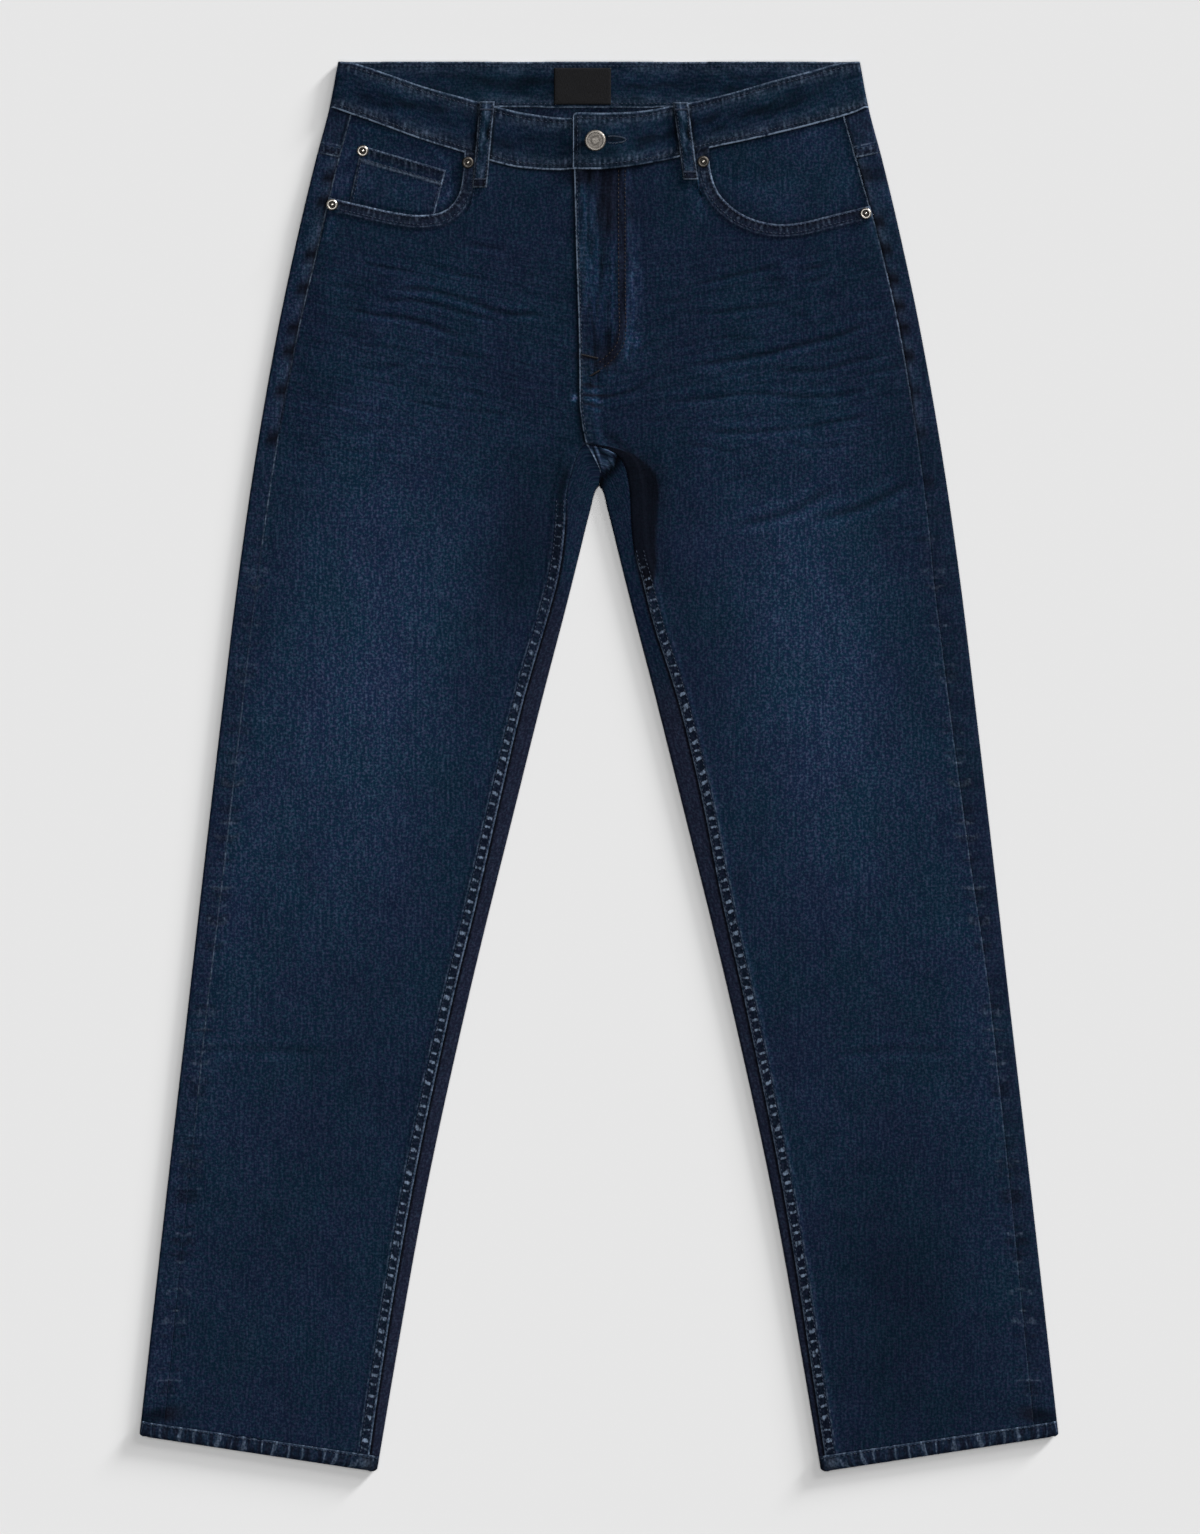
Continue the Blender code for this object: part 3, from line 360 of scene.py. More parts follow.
# Small light and dark places, mostly round the fly.
PATCHES = (
    Fade(8.0, 110.0, 10.0, 30.0, 0.0, -0.46),
    Fade(-12.0, 91.0, 12.0, 7.0, 0.0, -0.4),
    Fade(-9.0, 156.0, 7.0, 44.0, 0.0, 0.46),
    Fade(10.0, 182.0, 3.0, 34.0, 0.0, 0.5),
    Fade(31.0, 194.0, 5.0, 34.0, -3.0, 0.25),
    Fade(27.0, 222.0, 4.0, 6.0, 0.0, 0.6),
    Fade(-2.0, 224.0, 10.0, 9.0, 0.0, -0.3),
    Fade(6.0, 237.0, 9.0, 9.0, 30.0, -0.42),
    Fade(-19.4, 269.0, 2.0, 3.0, 0.0, 4.0),
    # Painted shade and highlight, line by line, across the puckers below the fly's curve.
    Fade(-7.0, 259.0, 8.0, 1.2, 8.0, -0.55),
    Fade(-6.0, 263.4, 8.0, 1.2, 8.0, 0.8),
    Fade(-3.0, 267.0, 12.0, 1.3, 3.0, -0.6),
    Fade(-3.0, 271.0, 9.0, 1.3, 14.0, 1.4),
    Fade(-6.0, 274.6, 8.0, 1.2, 12.0, -0.45),
    Fade(-4.0, 278.0, 9.0, 1.3, 16.0, 0.8),
    Fade(-12.0, 236.0, 8.0, 2.4, 8.0, -0.5),
    Fade(14.0, 303.0, 14.0, 3.4, 40.0, -0.38),
    Fade(-96.0, 84.0, 12.0, 12.0, 0.0, 0.25),
    Fade(82.0, 112.0, 10.0, 14.0, 0.0, 0.3),
    Fade(-104.0, 96.0, 8.0, 14.0, 0.0, 0.35),
    Fade(-214.0, 133.0, 3.0, 10.0, 20.0, 0.7),
    Fade(230.0, 106.0, 6.0, 8.0, 0.0, 0.6),
    Fade(222.0, 90.0, 7.0, 6.0, 0.0, -0.5),
    # Painted shadow along the top of each hem.
    Fade(-353.0, 1082.4, 16.0, 6.0, -9.0, -0.66),
    Fade(353.0, 1082.4, 16.0, 6.0, 9.0, -0.66),
)
PLUM_FROM = 0.39  # places that lose more than this lean to plum
# Places where the side strips are pressed dark, by their drop.
STRIP_CREASES = {
    Side.RIGHT: (92.0, 112.0, 154.0, 181.0, 213.0, 231.0, 263.0, 301.0),
    Side.LEFT: (90.0, 128.0, 150.0, 174.0, 195.0, 213.0, 235.0, 264.0, 297.0, 337.0),
}
HIP_STRIP = (330.0, 60.0)  # where the side strips stop looking as at the hips, and over what length
# How pale the outseam's edge is, and how blotched the cloth over it is, down the leg.
OUTSEAM_WEAR = {
    Side.RIGHT: (
        (36.0, 0.55), (70.0, 0.5), (100.0, 0.4), (130.0, 0.75), (205.0, 0.6), (226.0, 0.3), (258.0, 0.12),
        (296.0, 0.04), (306.0, 0.4), (370.0, 0.4), (400.0, 0.12), (480.0, 0.14), (520.0, 0.3), (820.0, 0.32),
        (880.0, 0.0),
    ),
    Side.LEFT: (
        (36.0, 0.2), (70.0, 0.55), (120.0, 0.5), (135.0, 0.1), (160.0, 0.2), (170.0, 0.45), (230.0, 0.4),
        (250.0, 0.2), (300.0, 0.12), (400.0, 0.1), (520.0, 0.2), (820.0, 0.2), (880.0, 0.1),
    ),
}
OUTSEAM_BLOTCHES = ((340.0, 0.0), (420.0, 0.7), (850.0, 0.75), (910.0, 1.0), (1060.0, 1.0), (1085.0, 0.2))
# Where the inseam's rungs start.
LADDER_START = {Side.RIGHT: 345.0, Side.LEFT: 385.0}
LADDER_RISE = 34.0  # over this length they reach their full strength
# The painted shadow of the fold beside the left inseam: its drop, and how far in from the inseam it reaches.
CROTCH_FOLD_SHADOW = (
    (302.0, 0.0), (306.0, 5.0), (313.0, 13.0), (321.0, 18.0), (330.0, 23.4), (340.0, 24.0), (366.0, 20.8),
    (398.0, 17.0), (412.0, 11.0), (424.0, 4.0), (430.0, 0.0),
)
FOLD_EDGE, FOLD_SKIRT = 3.6, 16.0  # how soft its border is, and how far a faint shade runs past it


def mix(a: Array | float, b: Array | float, t: Array | float) -> Array | float:
    """The value a share t of the way from a to b."""
    return a + (b - a) * t


def ease(t: Array | float) -> Array | float:
    """A smooth step from 0 to 1."""
    t = np.clip(t, 0.0, 1.0)
    return t * t * (3 - 2 * t)


def plateau(distance: Array | float, flat: float, ramp: float) -> Array | float:
    """1 out to a distance of flat, then down to 0 over a ramp."""
    return ease((flat + ramp - distance) / ramp)


def bell(distance: Array | float, width: float) -> Array | float:
    """1 at no distance, falling smoothly to nearly nothing at twice the width."""
    return np.exp(-((distance / width) ** 2))


def rising(at: Array | float, start: float, length: float) -> Array | float:
    """0 up to a start, then up smoothly to 1 over a length."""
    return ease((at - start) / length)


def falling(at: Array | float, end: float, length: float) -> Array | float:
    """1, then down smoothly to 0 over a length, which stops at an end."""
    return ease((end - at) / length)


def table_at(rows: Points, drop: Array) -> Array:
    """A short table's value at each drop, straight between its rows."""
    return np.interp(drop, *np.array(rows).T)


def lengths(*axes: Array) -> Array:
    """How far along its row each point is, measured over the cloth.

    Args:
        axes: the points' coordinates, row by row.

    Returns:
        An array of the same shape, which starts at 0 in each row.
    """
    steps = np.sqrt(sum(np.diff(axis, axis=1) ** 2 for axis in axes))
    return np.concatenate([np.zeros((len(steps), 1)), np.cumsum(steps, axis=1)], axis=1)


def add_object(name: str, data: bpy.types.ID) -> bpy.types.Object:
    """Adds an object to the scene.

    Args:
        name: its name.
        data: its mesh, light or camera.

    Returns:
        The object, at the origin.
    """
    obj = bpy.data.objects.new(name, data)
    bpy.context.scene.collection.objects.link(obj)
    return obj


def metres(x: Array | float, drop: Array | float, z: Array | float) -> Array:
    """Points of the frame, in metres.

    Args:
        x: millimetres to the wearer's left.
        drop: millimetres down from the back waist edge.
        z: millimetres above the table.

    Returns:
        An array whose last axis holds the three coordinates.
    """
    x, drop, z = np.broadcast_arrays(x, drop, z)
    return np.stack([x, TOTAL_LENGTH / 2 - drop, z], axis=-1) * MM


class Curve:
    """A smooth line through a table's rows, which never overshoots them."""

    def __init__(self, at: Iterable[float], value: Iterable[float]) -> None:
        """Works out the line's slopes.

        Args:
            at: where the rows are, rising.
            value: the line's value at each.
        """
        self.at, self.value = np.array(list(at), float), np.array(list(value), float)
        steps = np.diff(self.at)
        slopes = np.diff(self.value) / steps
        inner = []
        for i in range(1, len(slopes)):
            before, after = slopes[i - 1], slopes[i]
            w0, w1 = 2 * steps[i] + steps[i - 1], steps[i] + 2 * steps[i - 1]
            inner.append((w0 + w1) / (w0 / before + w1 / after) if before * after > 0 else 0.0)
        self.slope = np.array([slopes[0], *inner, slopes[-1]])

    @classmethod
    def column(cls, rows: Sequence[NamedTuple], name: str, key: str = "drop") -> "Curve":
        """The line through one column of a table."""
        return cls((getattr(row, key) for row in rows), (getattr(row, name) for row in rows))

    def __call__(self, at: Array | float) -> Array:
        """The line's value, which runs on straight past its ends.

        Args:
            at: where the line is read.

        Returns:
            One value for each place.
        """
        at = np.asarray(at, float)
        last = len(self.at) - 1
        i = np.clip(np.searchsorted(self.at, at, side="right") - 1, 0, last - 1)
        h = self.at[i + 1] - self.at[i]
        t = (at - self.at[i]) / h
        start = (1 + 2 * t) * (1 - t) ** 2 * self.value[i] + t * (1 - t) ** 2 * h * self.slope[i]
        end = t * t * (3 - 2 * t) * self.value[i + 1] + t * t * (t - 1) * h * self.slope[i + 1]
        low = self.value[0] + (at - self.at[0]) * self.slope[0]
        high = self.value[-1] + (at - self.at[-1]) * self.slope[-1]
        return np.where(at <= self.at[0], low, np.where(at >= self.at[-1], high, start + end))


class Route:
    """A line through points of the plan, from which distances are measured."""

    def __init__(self, points: Points, smooth: float = 0.0) -> None:
        """Keeps the points, or a smooth line through them.

        Args:
            points: (x or reach, drop) of each point.
            smooth: the spacing of the smooth line's points, or 0 for straight stretches.
        """
        self.points = np.array(points, float)
        if smooth:
            self.points = self._smoothed(smooth)
        self.at = np.concatenate([[0.0], np.cumsum(np.linalg.norm(np.diff(self.points, axis=0), axis=1))])

    @property
    def length(self) -> float:
        """The whole length."""
        return float(self.at[-1])

    def _smoothed(self, spacing: float) -> Array:
        """Points of a smooth line through the route's own points.

        Args:
            spacing: about how far apart the points are.

        Returns:
            The points.
        """
        given = self.points
        padded = np.vstack([2 * given[0] - given[1], given, 2 * given[-1] - given[-2]])
        made = []
        for before, a, b, after in zip(padded, padded[1:], padded[2:], padded[3:]):
            count = max(int(np.linalg.norm(b - a) / spacing), 1)
            for t in np.arange(count) / count:
                square = (2 * before - 5 * a + 4 * b - after) * t * t
                cube = (3 * a - before - 3 * b + after) * t**3
                made.append(0.5 * (2 * a + (b - before) * t + square + cube))
        return np.array([*made, given[-1]])

    def measure(self, x: Array, drop: Array) -> tuple[Array, Array]:
        """How far points lie from the route, and how far along it they are.

        Args:
            x: the points' x or reach.
            drop: the points' drop.

        Returns:
            The distances, and the lengths along the route to the nearest places on it.
        """
        x, drop = np.broadcast_arrays(np.asarray(x, float), np.asarray(drop, float))
        away, along = np.full(x.shape, 1e9), np.zeros(x.shape)
        for (x0, d0), (x1, d1), start in zip(self.points, self.points[1:], self.at):
            dx, dd = x1 - x0, d1 - d0
            length = math.hypot(dx, dd)
            t = np.clip(((x - x0) * dx + (drop - d0) * dd) / length**2, 0.0, 1.0)
            here = np.hypot(x - x0 - t * dx, drop - d0 - t * dd)
            nearer = here < away
            away = np.where(nearer, here, away)
            along = np.where(nearer, start + t * length, along)
        return away, along

    def at_share(self, share: Array | float) -> Array:
        """Points a share of the way along."""
        at = np.asarray(share, float) * self.length
        return np.stack([np.interp(at, self.at, self.points[:, n]) for n in (0, 1)], axis=-1)

    def every(self, spacing: float, start: float = 0.0, end: float = 1.0) -> Array:
        """Evenly spaced points between two shares of the way."""
        count = max(int(self.length * (end - start) / spacing), 1)
        return self.at_share(np.linspace(start, end, count + 1))

    def beside(self, offset: float) -> "Route":
        """The same route moved sideways, to the left of its way along.

        Args:
            offset: how far it is moved.

        Returns:
            The new route.
        """
        way = np.gradient(self.points, axis=0)
        way /= np.linalg.norm(way, axis=1)[:, None]
        return Route(self.points + np.stack([-way[:, 1], way[:, 0]], axis=1) * offset)

    def inward(self, share: Array) -> Array:
        """Ways square to the route, to the right of its way along.

        Args:
            share: shares of the way along.

        Returns:
            One way for each share, 1 long.
        """
        a, b = self.at_share(np.maximum(share - 0.01, 0.0)), self.at_share(np.minimum(share + 0.01, 1.0))
        along = (b - a) / np.linalg.norm(b - a, axis=1)[:, None]
        return np.stack([along[:, 1], -along[:, 0]], axis=1)


class Relief:
    """Small heights of worn-in cloth: whiskers, and puckers along what is sewn."""

    def __init__(self) -> None:
        """Makes the whiskers' routes."""
        self.routes = [(row, Route(row.path, smooth=4.0)) for row in WHISKERS]
        self.waves = np.random.default_rng(WAVE_SEED).uniform(0.0, math.tau, (3, 8))

    def whisker(self, x: Array, drop: Array) -> Array:
        """How pressed in the cloth is: 1 in the deepest trough, below 0 on the ridges beside one.

        Args:
            x: the points' x.
            drop: the points' drop.

        Returns:
            One value for each point.
        """
        total = np.zeros(np.shape(x))
        for row, route in self.routes:
            span = 4 * row.width
            low, high = route.points.min(0) - span, route.points.max(0) + span
            near = (x > low[0]) & (x < high[0]) & (drop > low[1]) & (drop < high[1])
            if not near.any():
                continue
            away, along = route.measure(x[near], drop[near])
            end = np.minimum(along, route.length - along)
            fading = 0.35 + 0.65 * ease(end / min(14.0, route.length / 2))
            above = np.interp(x[near], *route.points[np.argsort(route.points[:, 0])].T) > drop[near]
            trough = bell(away, row.width * 0.62)
            ridge = bell(away - 1.45 * row.width, row.width * 0.75) * np.where(above, 0.3, 0.42)
            total[near] += row.strength * fading * (trough - ridge)
        return np.clip(total, -0.7, 1.25)

    def drift(self, x: Array, drop: Array, scale: float, row: int = 0) -> Array:
        """Slow uneven waves between about -1 and 1, a little longer than scale.

        Args:
            x: the points' x.
            drop: the points' drop.
            scale: the shortest wave's length.
            row: which set of waves, from 0 to 2.

        Returns:
            One value for each point.
        """
        w, total = self.waves[row], 0.0
        for n in range(4):
            turn, length = 0.7 + 1.9 * n + 0.3 * w[n], scale * (1.0 + 0.43 * n)
            phase = (x * math.cos(turn) + drop * math.sin(turn)) * math.tau / length
            total = total + np.sin(phase + w[n] + 1.3 * np.sin(phase * 0.37 + w[n + 4]))
        return total / 3.0

    def ladder(self, along: Array, pitch: float, row: int = 1) -> Array:
        """Uneven waves from -1 to 1 along a seam, as its stitching puckers it.

        Args:
            along: length along the seam.
            pitch: the usual length of a pucker.
            row: which set of waves.

        Returns:
            One value for each point.
        """
        w = self.waves[row]
        shift = 0.9 * np.sin(along / 31.0 + w[0]) + 0.6 * np.sin(along / 13.7 + w[1])
        size = 0.75 + 0.25 * np.sin(along / 47.0 + w[2])
        return size * np.sin(along * math.tau / pitch + shift)


class Plan:
    """The garment's lines as it lies, and the heights of its layers."""

    def __init__(self) -> None:
        """Reads the tables."""
        self.side_fold = Curve.column(OUTLINE, "side")
        self.inner_fold = Curve.column(INNER_FOLD, "reach")
        self.fly_line = Curve.column(FLY_EDGE, "x")
        self.outseam = {s: Curve.column(OUTLINE, "outseam_" + s.word) for s in Side}
        self.inseam = {s: Curve.column(INSEAM, s.word) for s in Side}
        self.band_top = {s: Curve.column(BAND, s.word + "_top", "reach") for s in Side}
        self.band_foot = {s: Curve.column(BAND, s.word + "_foot", "reach") for s in Side}
        self.openings = {s: Route(self._opening(s), smooth=2.0) for s in Side}
        self.relief = Relief()

    @staticmethod
    def _opening(side: Side) -> Points:
        """The pocket opening's points on one side."""
        return [(getattr(r, side.word + "_reach"), getattr(r, side.word + "_drop")) for r in OPENING]

    def lift(self, x: Array, drop: Array) -> Array:
        """How far the back is held off the table by its own pockets and belt loops.

        Args:
            x: the points' x.
            drop: the points' drop.

        Returns:
            One value for each point.
        """
        x, drop = np.broadcast_arrays(np.asarray(x, float), np.asarray(drop, float))
        half_width, half_height = BACK_POCKET_WIDTHS[0] / 2, BACK_POCKET_HEIGHT / 2
        raised = [
            (s * BACK_POCKET_X, BACK_POCKET_TOP + half_height, half_width, half_height, WALL) for s in Side
        ]
        raised += [
            (loop_x, BACK_LOOP_FOOT / 2, LOOP_WIDTH / 2, BACK_LOOP_FOOT / 2, LOOP_WALL)
            for loop_x in BACK_LOOPS.values()
        ]
        most = np.zeros(x.shape)
        for centre_x, centre_drop, half_x, half_drop, wall in raised:
            beside = np.maximum(np.abs(x - centre_x) - half_x, 0.0)
            beyond = np.maximum(np.abs(drop - centre_drop) - half_drop, 0.0)
            away = np.hypot(beside, beyond)
            most = np.maximum(most, (wall + LAYER_GAP) * plateau(away, LIFT_FLAT, LIFT_RAMP))
        return most

    def rise(self, x: Array, drop: Array) -> Array:
        """Share of the full puff, which fades towards the folds.

        Args:
            x: the points' x.
            drop: the points' drop.

        Returns:
            One value for each point.
        """
        def from_fold(distance: Array) -> Array:
            """Share of the puff at a distance from one fold."""
            return 1 - np.exp(-np.maximum(distance - FOLD_HEIGHT / 2, 0.0) / PUFF_REACH)

        notch = np.hypot(x, CROTCH_DROP - drop)
        inner = np.where(drop < CROTCH_DROP, notch, np.abs(x) - self.inner_fold(drop))
        return from_fold(self.side_fold(drop) - np.abs(x)) * from_fold(inner)

    def upper(self, x: Array, drop: Array) -> Array:
        """Outer height of the upper layer, before seams and bands raise it.

        Args:
            x: the points' x.
            drop: the points' drop.

        Returns:
            One value for each point.
        """
        total = 0.0
        for row in HOLLOWS:
            away, _ = Route(((row.x0, row.drop0), (row.x1, row.drop1))).measure(x, drop)
            total = total + row.height * bell(away, row.width)
        rise = self.rise(x, drop)
        return FOLD_HEIGHT + PUFF * rise + self.lift(x, drop) + total * rise

    def worn(self, x: Array, drop: Array) -> Array:
        """Heights that wear has pressed into the upper layer.

        Args:
            x: the points' x.
            drop: the points' drop.

        Returns:
            One value for each point.
        """
        rise = self.rise(x, drop)
        pressed = -WHISKER_DEPTH * self.relief.whisker(x, drop)
        slack = 0.16 * self.relief.drift(x, drop, 46.0) + 0.05 * self.relief.drift(x, drop, 17.0, 2)
        return (pressed + slack) * rise

    def fly_distance(self, x: Array, drop: Array) -> Array:
        """How far a point lies outside the fly's stitched curve; negative is inside.

        Args:
            x: the points' x.
            drop: the points' drop.

        Returns:
            One value for each point.
        """
        (cx, cd), (half_width, depth) = FLY_CENTRE, FLY_RADII
        round_part = (np.hypot((x - cx) / half_width, (drop - cd) / depth) - 1) * half_width
        below = np.where(x < cx, drop - cd - depth, round_part)
        return np.where(drop < cd, x - FLY_STITCH_X, below)

    def inner_edge(self, side: Side, drop: Array) -> Array:
        """Reach of a front panel's inner edge: the fly, then the inseam.

        Args:
            side: the panel's side.
            drop: where it is read.

        Returns:
            One reach for each drop.
        """
        hidden = mix(-SEAM_GAP, FLY_UNDERLAP, falling(drop, CROTCH_TOP, UNDERLAP_FADE))
        fly = self.fly_line(drop) if side is Side.LEFT else -(self.fly_line(drop) + hidden)
        return np.where(drop >= CROTCH_TOP, self.inseam[side](drop), fly)

    def outer_edge(self, side: Side, drop: Array) -> Array:
        """Reach of a front panel's outer edge, along the outseam."""
        return self.side_fold(drop) - self.outseam[side](drop)

    def seam_relief(self, side: Side, x: Array, drop: Array) -> Array:
        """How far bands and felled seams raise a front panel.

        Args:
            side: the panel's side.
            x: the points' x.
            drop: the points' drop.

        Returns:
            One value for each point.
        """
        reach = side * x
        away, _ = self.openings[side].measure(reach, drop)
        relief = OPENING_RELIEF * plateau(away, OPENING_BAND, BAND_FALL)
        below = rising(drop, CROTCH_TOP, SEAM_BAND) * (drop >= CROTCH_TOP)
        inseam = reach - self.inner_edge(side, drop)
        relief = np.maximum(relief, SEAM_RELIEF * below * plateau(inseam, SEAM_BAND, BAND_FALL))
        if side is Side.LEFT:
            fly = plateau(self.fly_distance(x, drop), 0.0, 2 * BAND_FALL) * (drop < CROTCH_TOP)
            line = self.fly_line(np.minimum(drop, CROTCH_TOP))
            seam = plateau(x - line, SEAM_BAND, 2 * BAND_FALL)
            seam = seam * ease(1 + (CROTCH_TOP - drop) / FLY_FADE)
            relief = np.maximum(relief, (WALL + LAYER_GAP) * np.maximum(fly, seam))
        return relief

    @staticmethod
    def on_hip(drop: Array) -> Array:
        """How far a side strip looks as it does at the hips."""
        return falling(drop, *HIP_STRIP)

    def yoke_seam(self, reach: Array) -> Array:
        """Drop of the yoke's seam where it comes round to the front."""
        return YOKE_SIDE_DROP + YOKE_WRAP_SLOPE * (self.side_fold(YOKE_SIDE_DROP) - reach)

    def puckers(self, side: Side, x: Array, drop: Array) -> Array:
        """Fine waves that the stitching draws into a front panel.

        Args:
            side: the panel's side.
            x: the points' x.
            drop: the points' drop.

        Returns:
            One value for each point.
        """
        reach = side * x
        inseam = reach - self.inner_edge(side, drop)
        on_seam = (drop > CROTCH_TOP) * bell(inseam - 5.0, 5.5)
        total = 0.2 * on_seam * self.relief.ladder(drop + 0.8 * inseam, 8.2)
        away, along = self.openings[side].measure(reach, drop)
        total += 0.16 * bell(away - 5.0, 4.5) * self.relief.ladder(along + 0.5 * away, 6.3, 2)
        if side is Side.LEFT:
            fly = self.fly_distance(x, drop)
            total += 0.2 * (drop < 300.0) * bell(fly + 2.0, 6.0) * self.relief.ladder(drop + fly, 9.0, 0)
        outseam = self.outer_edge(side, drop) - reach
        return total + 0.1 * bell(outseam, 6.0) * self.relief.ladder(drop, 13.0, 0)

    def front_height(self, side: Side, x: Array, drop: Array) -> Array:
        """Outer height of a front panel, with all that is raised or pressed in it."""
        base = self.upper(x, drop) + self.seam_relief(side, x, drop)
        return base + self.worn(x, drop) + self.puckers(side, x, drop)

    def tab_rise(self, x: Array) -> Array:
        """How far the waistband's left end is raised where it laps over the right end."""
        return (BAND_WALL + LAYER_GAP) * falling(x, TAB_RAMP_END_X, TAB_RAMP_END_X - UNDER_END_X - 2.0)

    def topmost(self, x: Array, drop: Array) -> Array:
        """Height of whatever shows at points of the front.

        Args:
            x: the points' x.
            drop: the points' drop.

        Returns:
            One value for each point.
        """
        x, drop = np.broadcast_arrays(np.asarray(x, float), np.asarray(drop, float))
        left = x >= self.fly_line(drop)
        band_foot = np.where(left, self.band_foot[Side.LEFT](x), self.band_foot[Side.RIGHT](-x))
        band = BAND_HEIGHT + self.lift(x, drop) + np.where(left, self.tab_rise(x), 0.0)
        right, other = (self.front_height(s, x, drop) for s in (Side.RIGHT, Side.LEFT))
        return np.where(drop <= band_foot, band, np.where(left, other, right))

    @staticmethod
    def _patch(row: Fade, x: Array, drop: Array, fall: float) -> Array:
        """How much of a patch's gain reaches each point.

        Args:
            row: the patch.
            x: the points' x.
            drop: the points' drop.
            fall: how abruptly it ends along its length.

        Returns:
            One value for each point.
        """
        turn = math.radians(row.turn)
        across, down = x - row.x, drop - row.drop
        u = (across * math.cos(turn) + down * math.sin(turn)) / row.half_width
        v = (down * math.cos(turn) - across * math.sin(turn)) / row.half_length
        return row.gain * np.exp(-(u * u) - np.abs(v) ** fall)

    def tone(self, x: Array, drop: Array) -> Array:
        """How bright the indigo is after washing, with painted shade and highlight, 1 being its depth at the
        hips.

        Args:
            x: the points' x.
            drop: the points' drop.

        Returns:
            One value for each point.
        """
        total = 1 + 0.12 * rising(drop, 430.0, 300.0) - 0.06 * rising(drop, 1000.0, 80.0)
        for row in FADES:
            total = total + self._patch(row, x, drop, 2.6)
        # Whisker troughs are darkened and their ridges lightened: partly worn-in colour, partly painted
        # shade and highlight.
        pressed = self.relief.whisker(x, drop)
        total = total * np.where(pressed > 0, 1 - 0.5 * pressed, 1 - 0.7 * pressed)
        return total * self.patched(x, drop) * (1 + 0.06 * self.relief.drift(x, drop, 60.0, 1))

    def patched(self, x: Array, drop: Array) -> Array:
        """How much the small places brighten or darken the cloth."""
        return np.prod([1 + self._patch(row, x, drop, 4.0) for row in PATCHES], axis=0)

    def plum_lean(self, x: Array, drop: Array) -> Array:
        """How far the darkest small places, painted shade and shadow among them, lean to plum."""
        dark = [row for row in PATCHES if row.gain < -PLUM_FROM]
        return np.clip(-1.8 * sum(self._patch(row, x, drop, 4.0) for row in dark), 0.0, 1.0)

    def band_shadow(self, side: Side, reach: Array, drop: Array) -> Array:
        """How dark the cloth is that comes out from under the waistband."""
        return bell(drop - self.band_foot[side](reach) - 0.6, 1.7)

    @staticmethod
    def started(side: Side, drop: Array) -> Array:
        """How far an inseam's rungs have begun."""
        return rising(drop, LADDER_START[side], LADDER_RISE)

    def crotch_fold_shadow(self, inseam: Array, drop: Array) -> Array:
        """How deep the painted shadow of the fold beside the left inseam is.

        Args:
            inseam: how far in from the inseam the points lie.
            drop: the points' drop.

        Returns:
            One value for each point.
        """
        depth = table_at(CROTCH_FOLD_SHADOW, drop)
        within = depth - inseam
        skirt = mix(0.2, 0.42, bell(drop - 317.0, 9.0)) * ease(1 + within / FOLD_SKIRT)
        return np.maximum(ease(within / FOLD_EDGE + 0.5), skirt) * ease(depth / 6.0)


PLAN = Plan()


MARKS = (
    "tone", "worn", "line", "second", "ladder", "ribs",
    "pressed", "roped", "brink", "streaks", "plum", "crinkle",
)


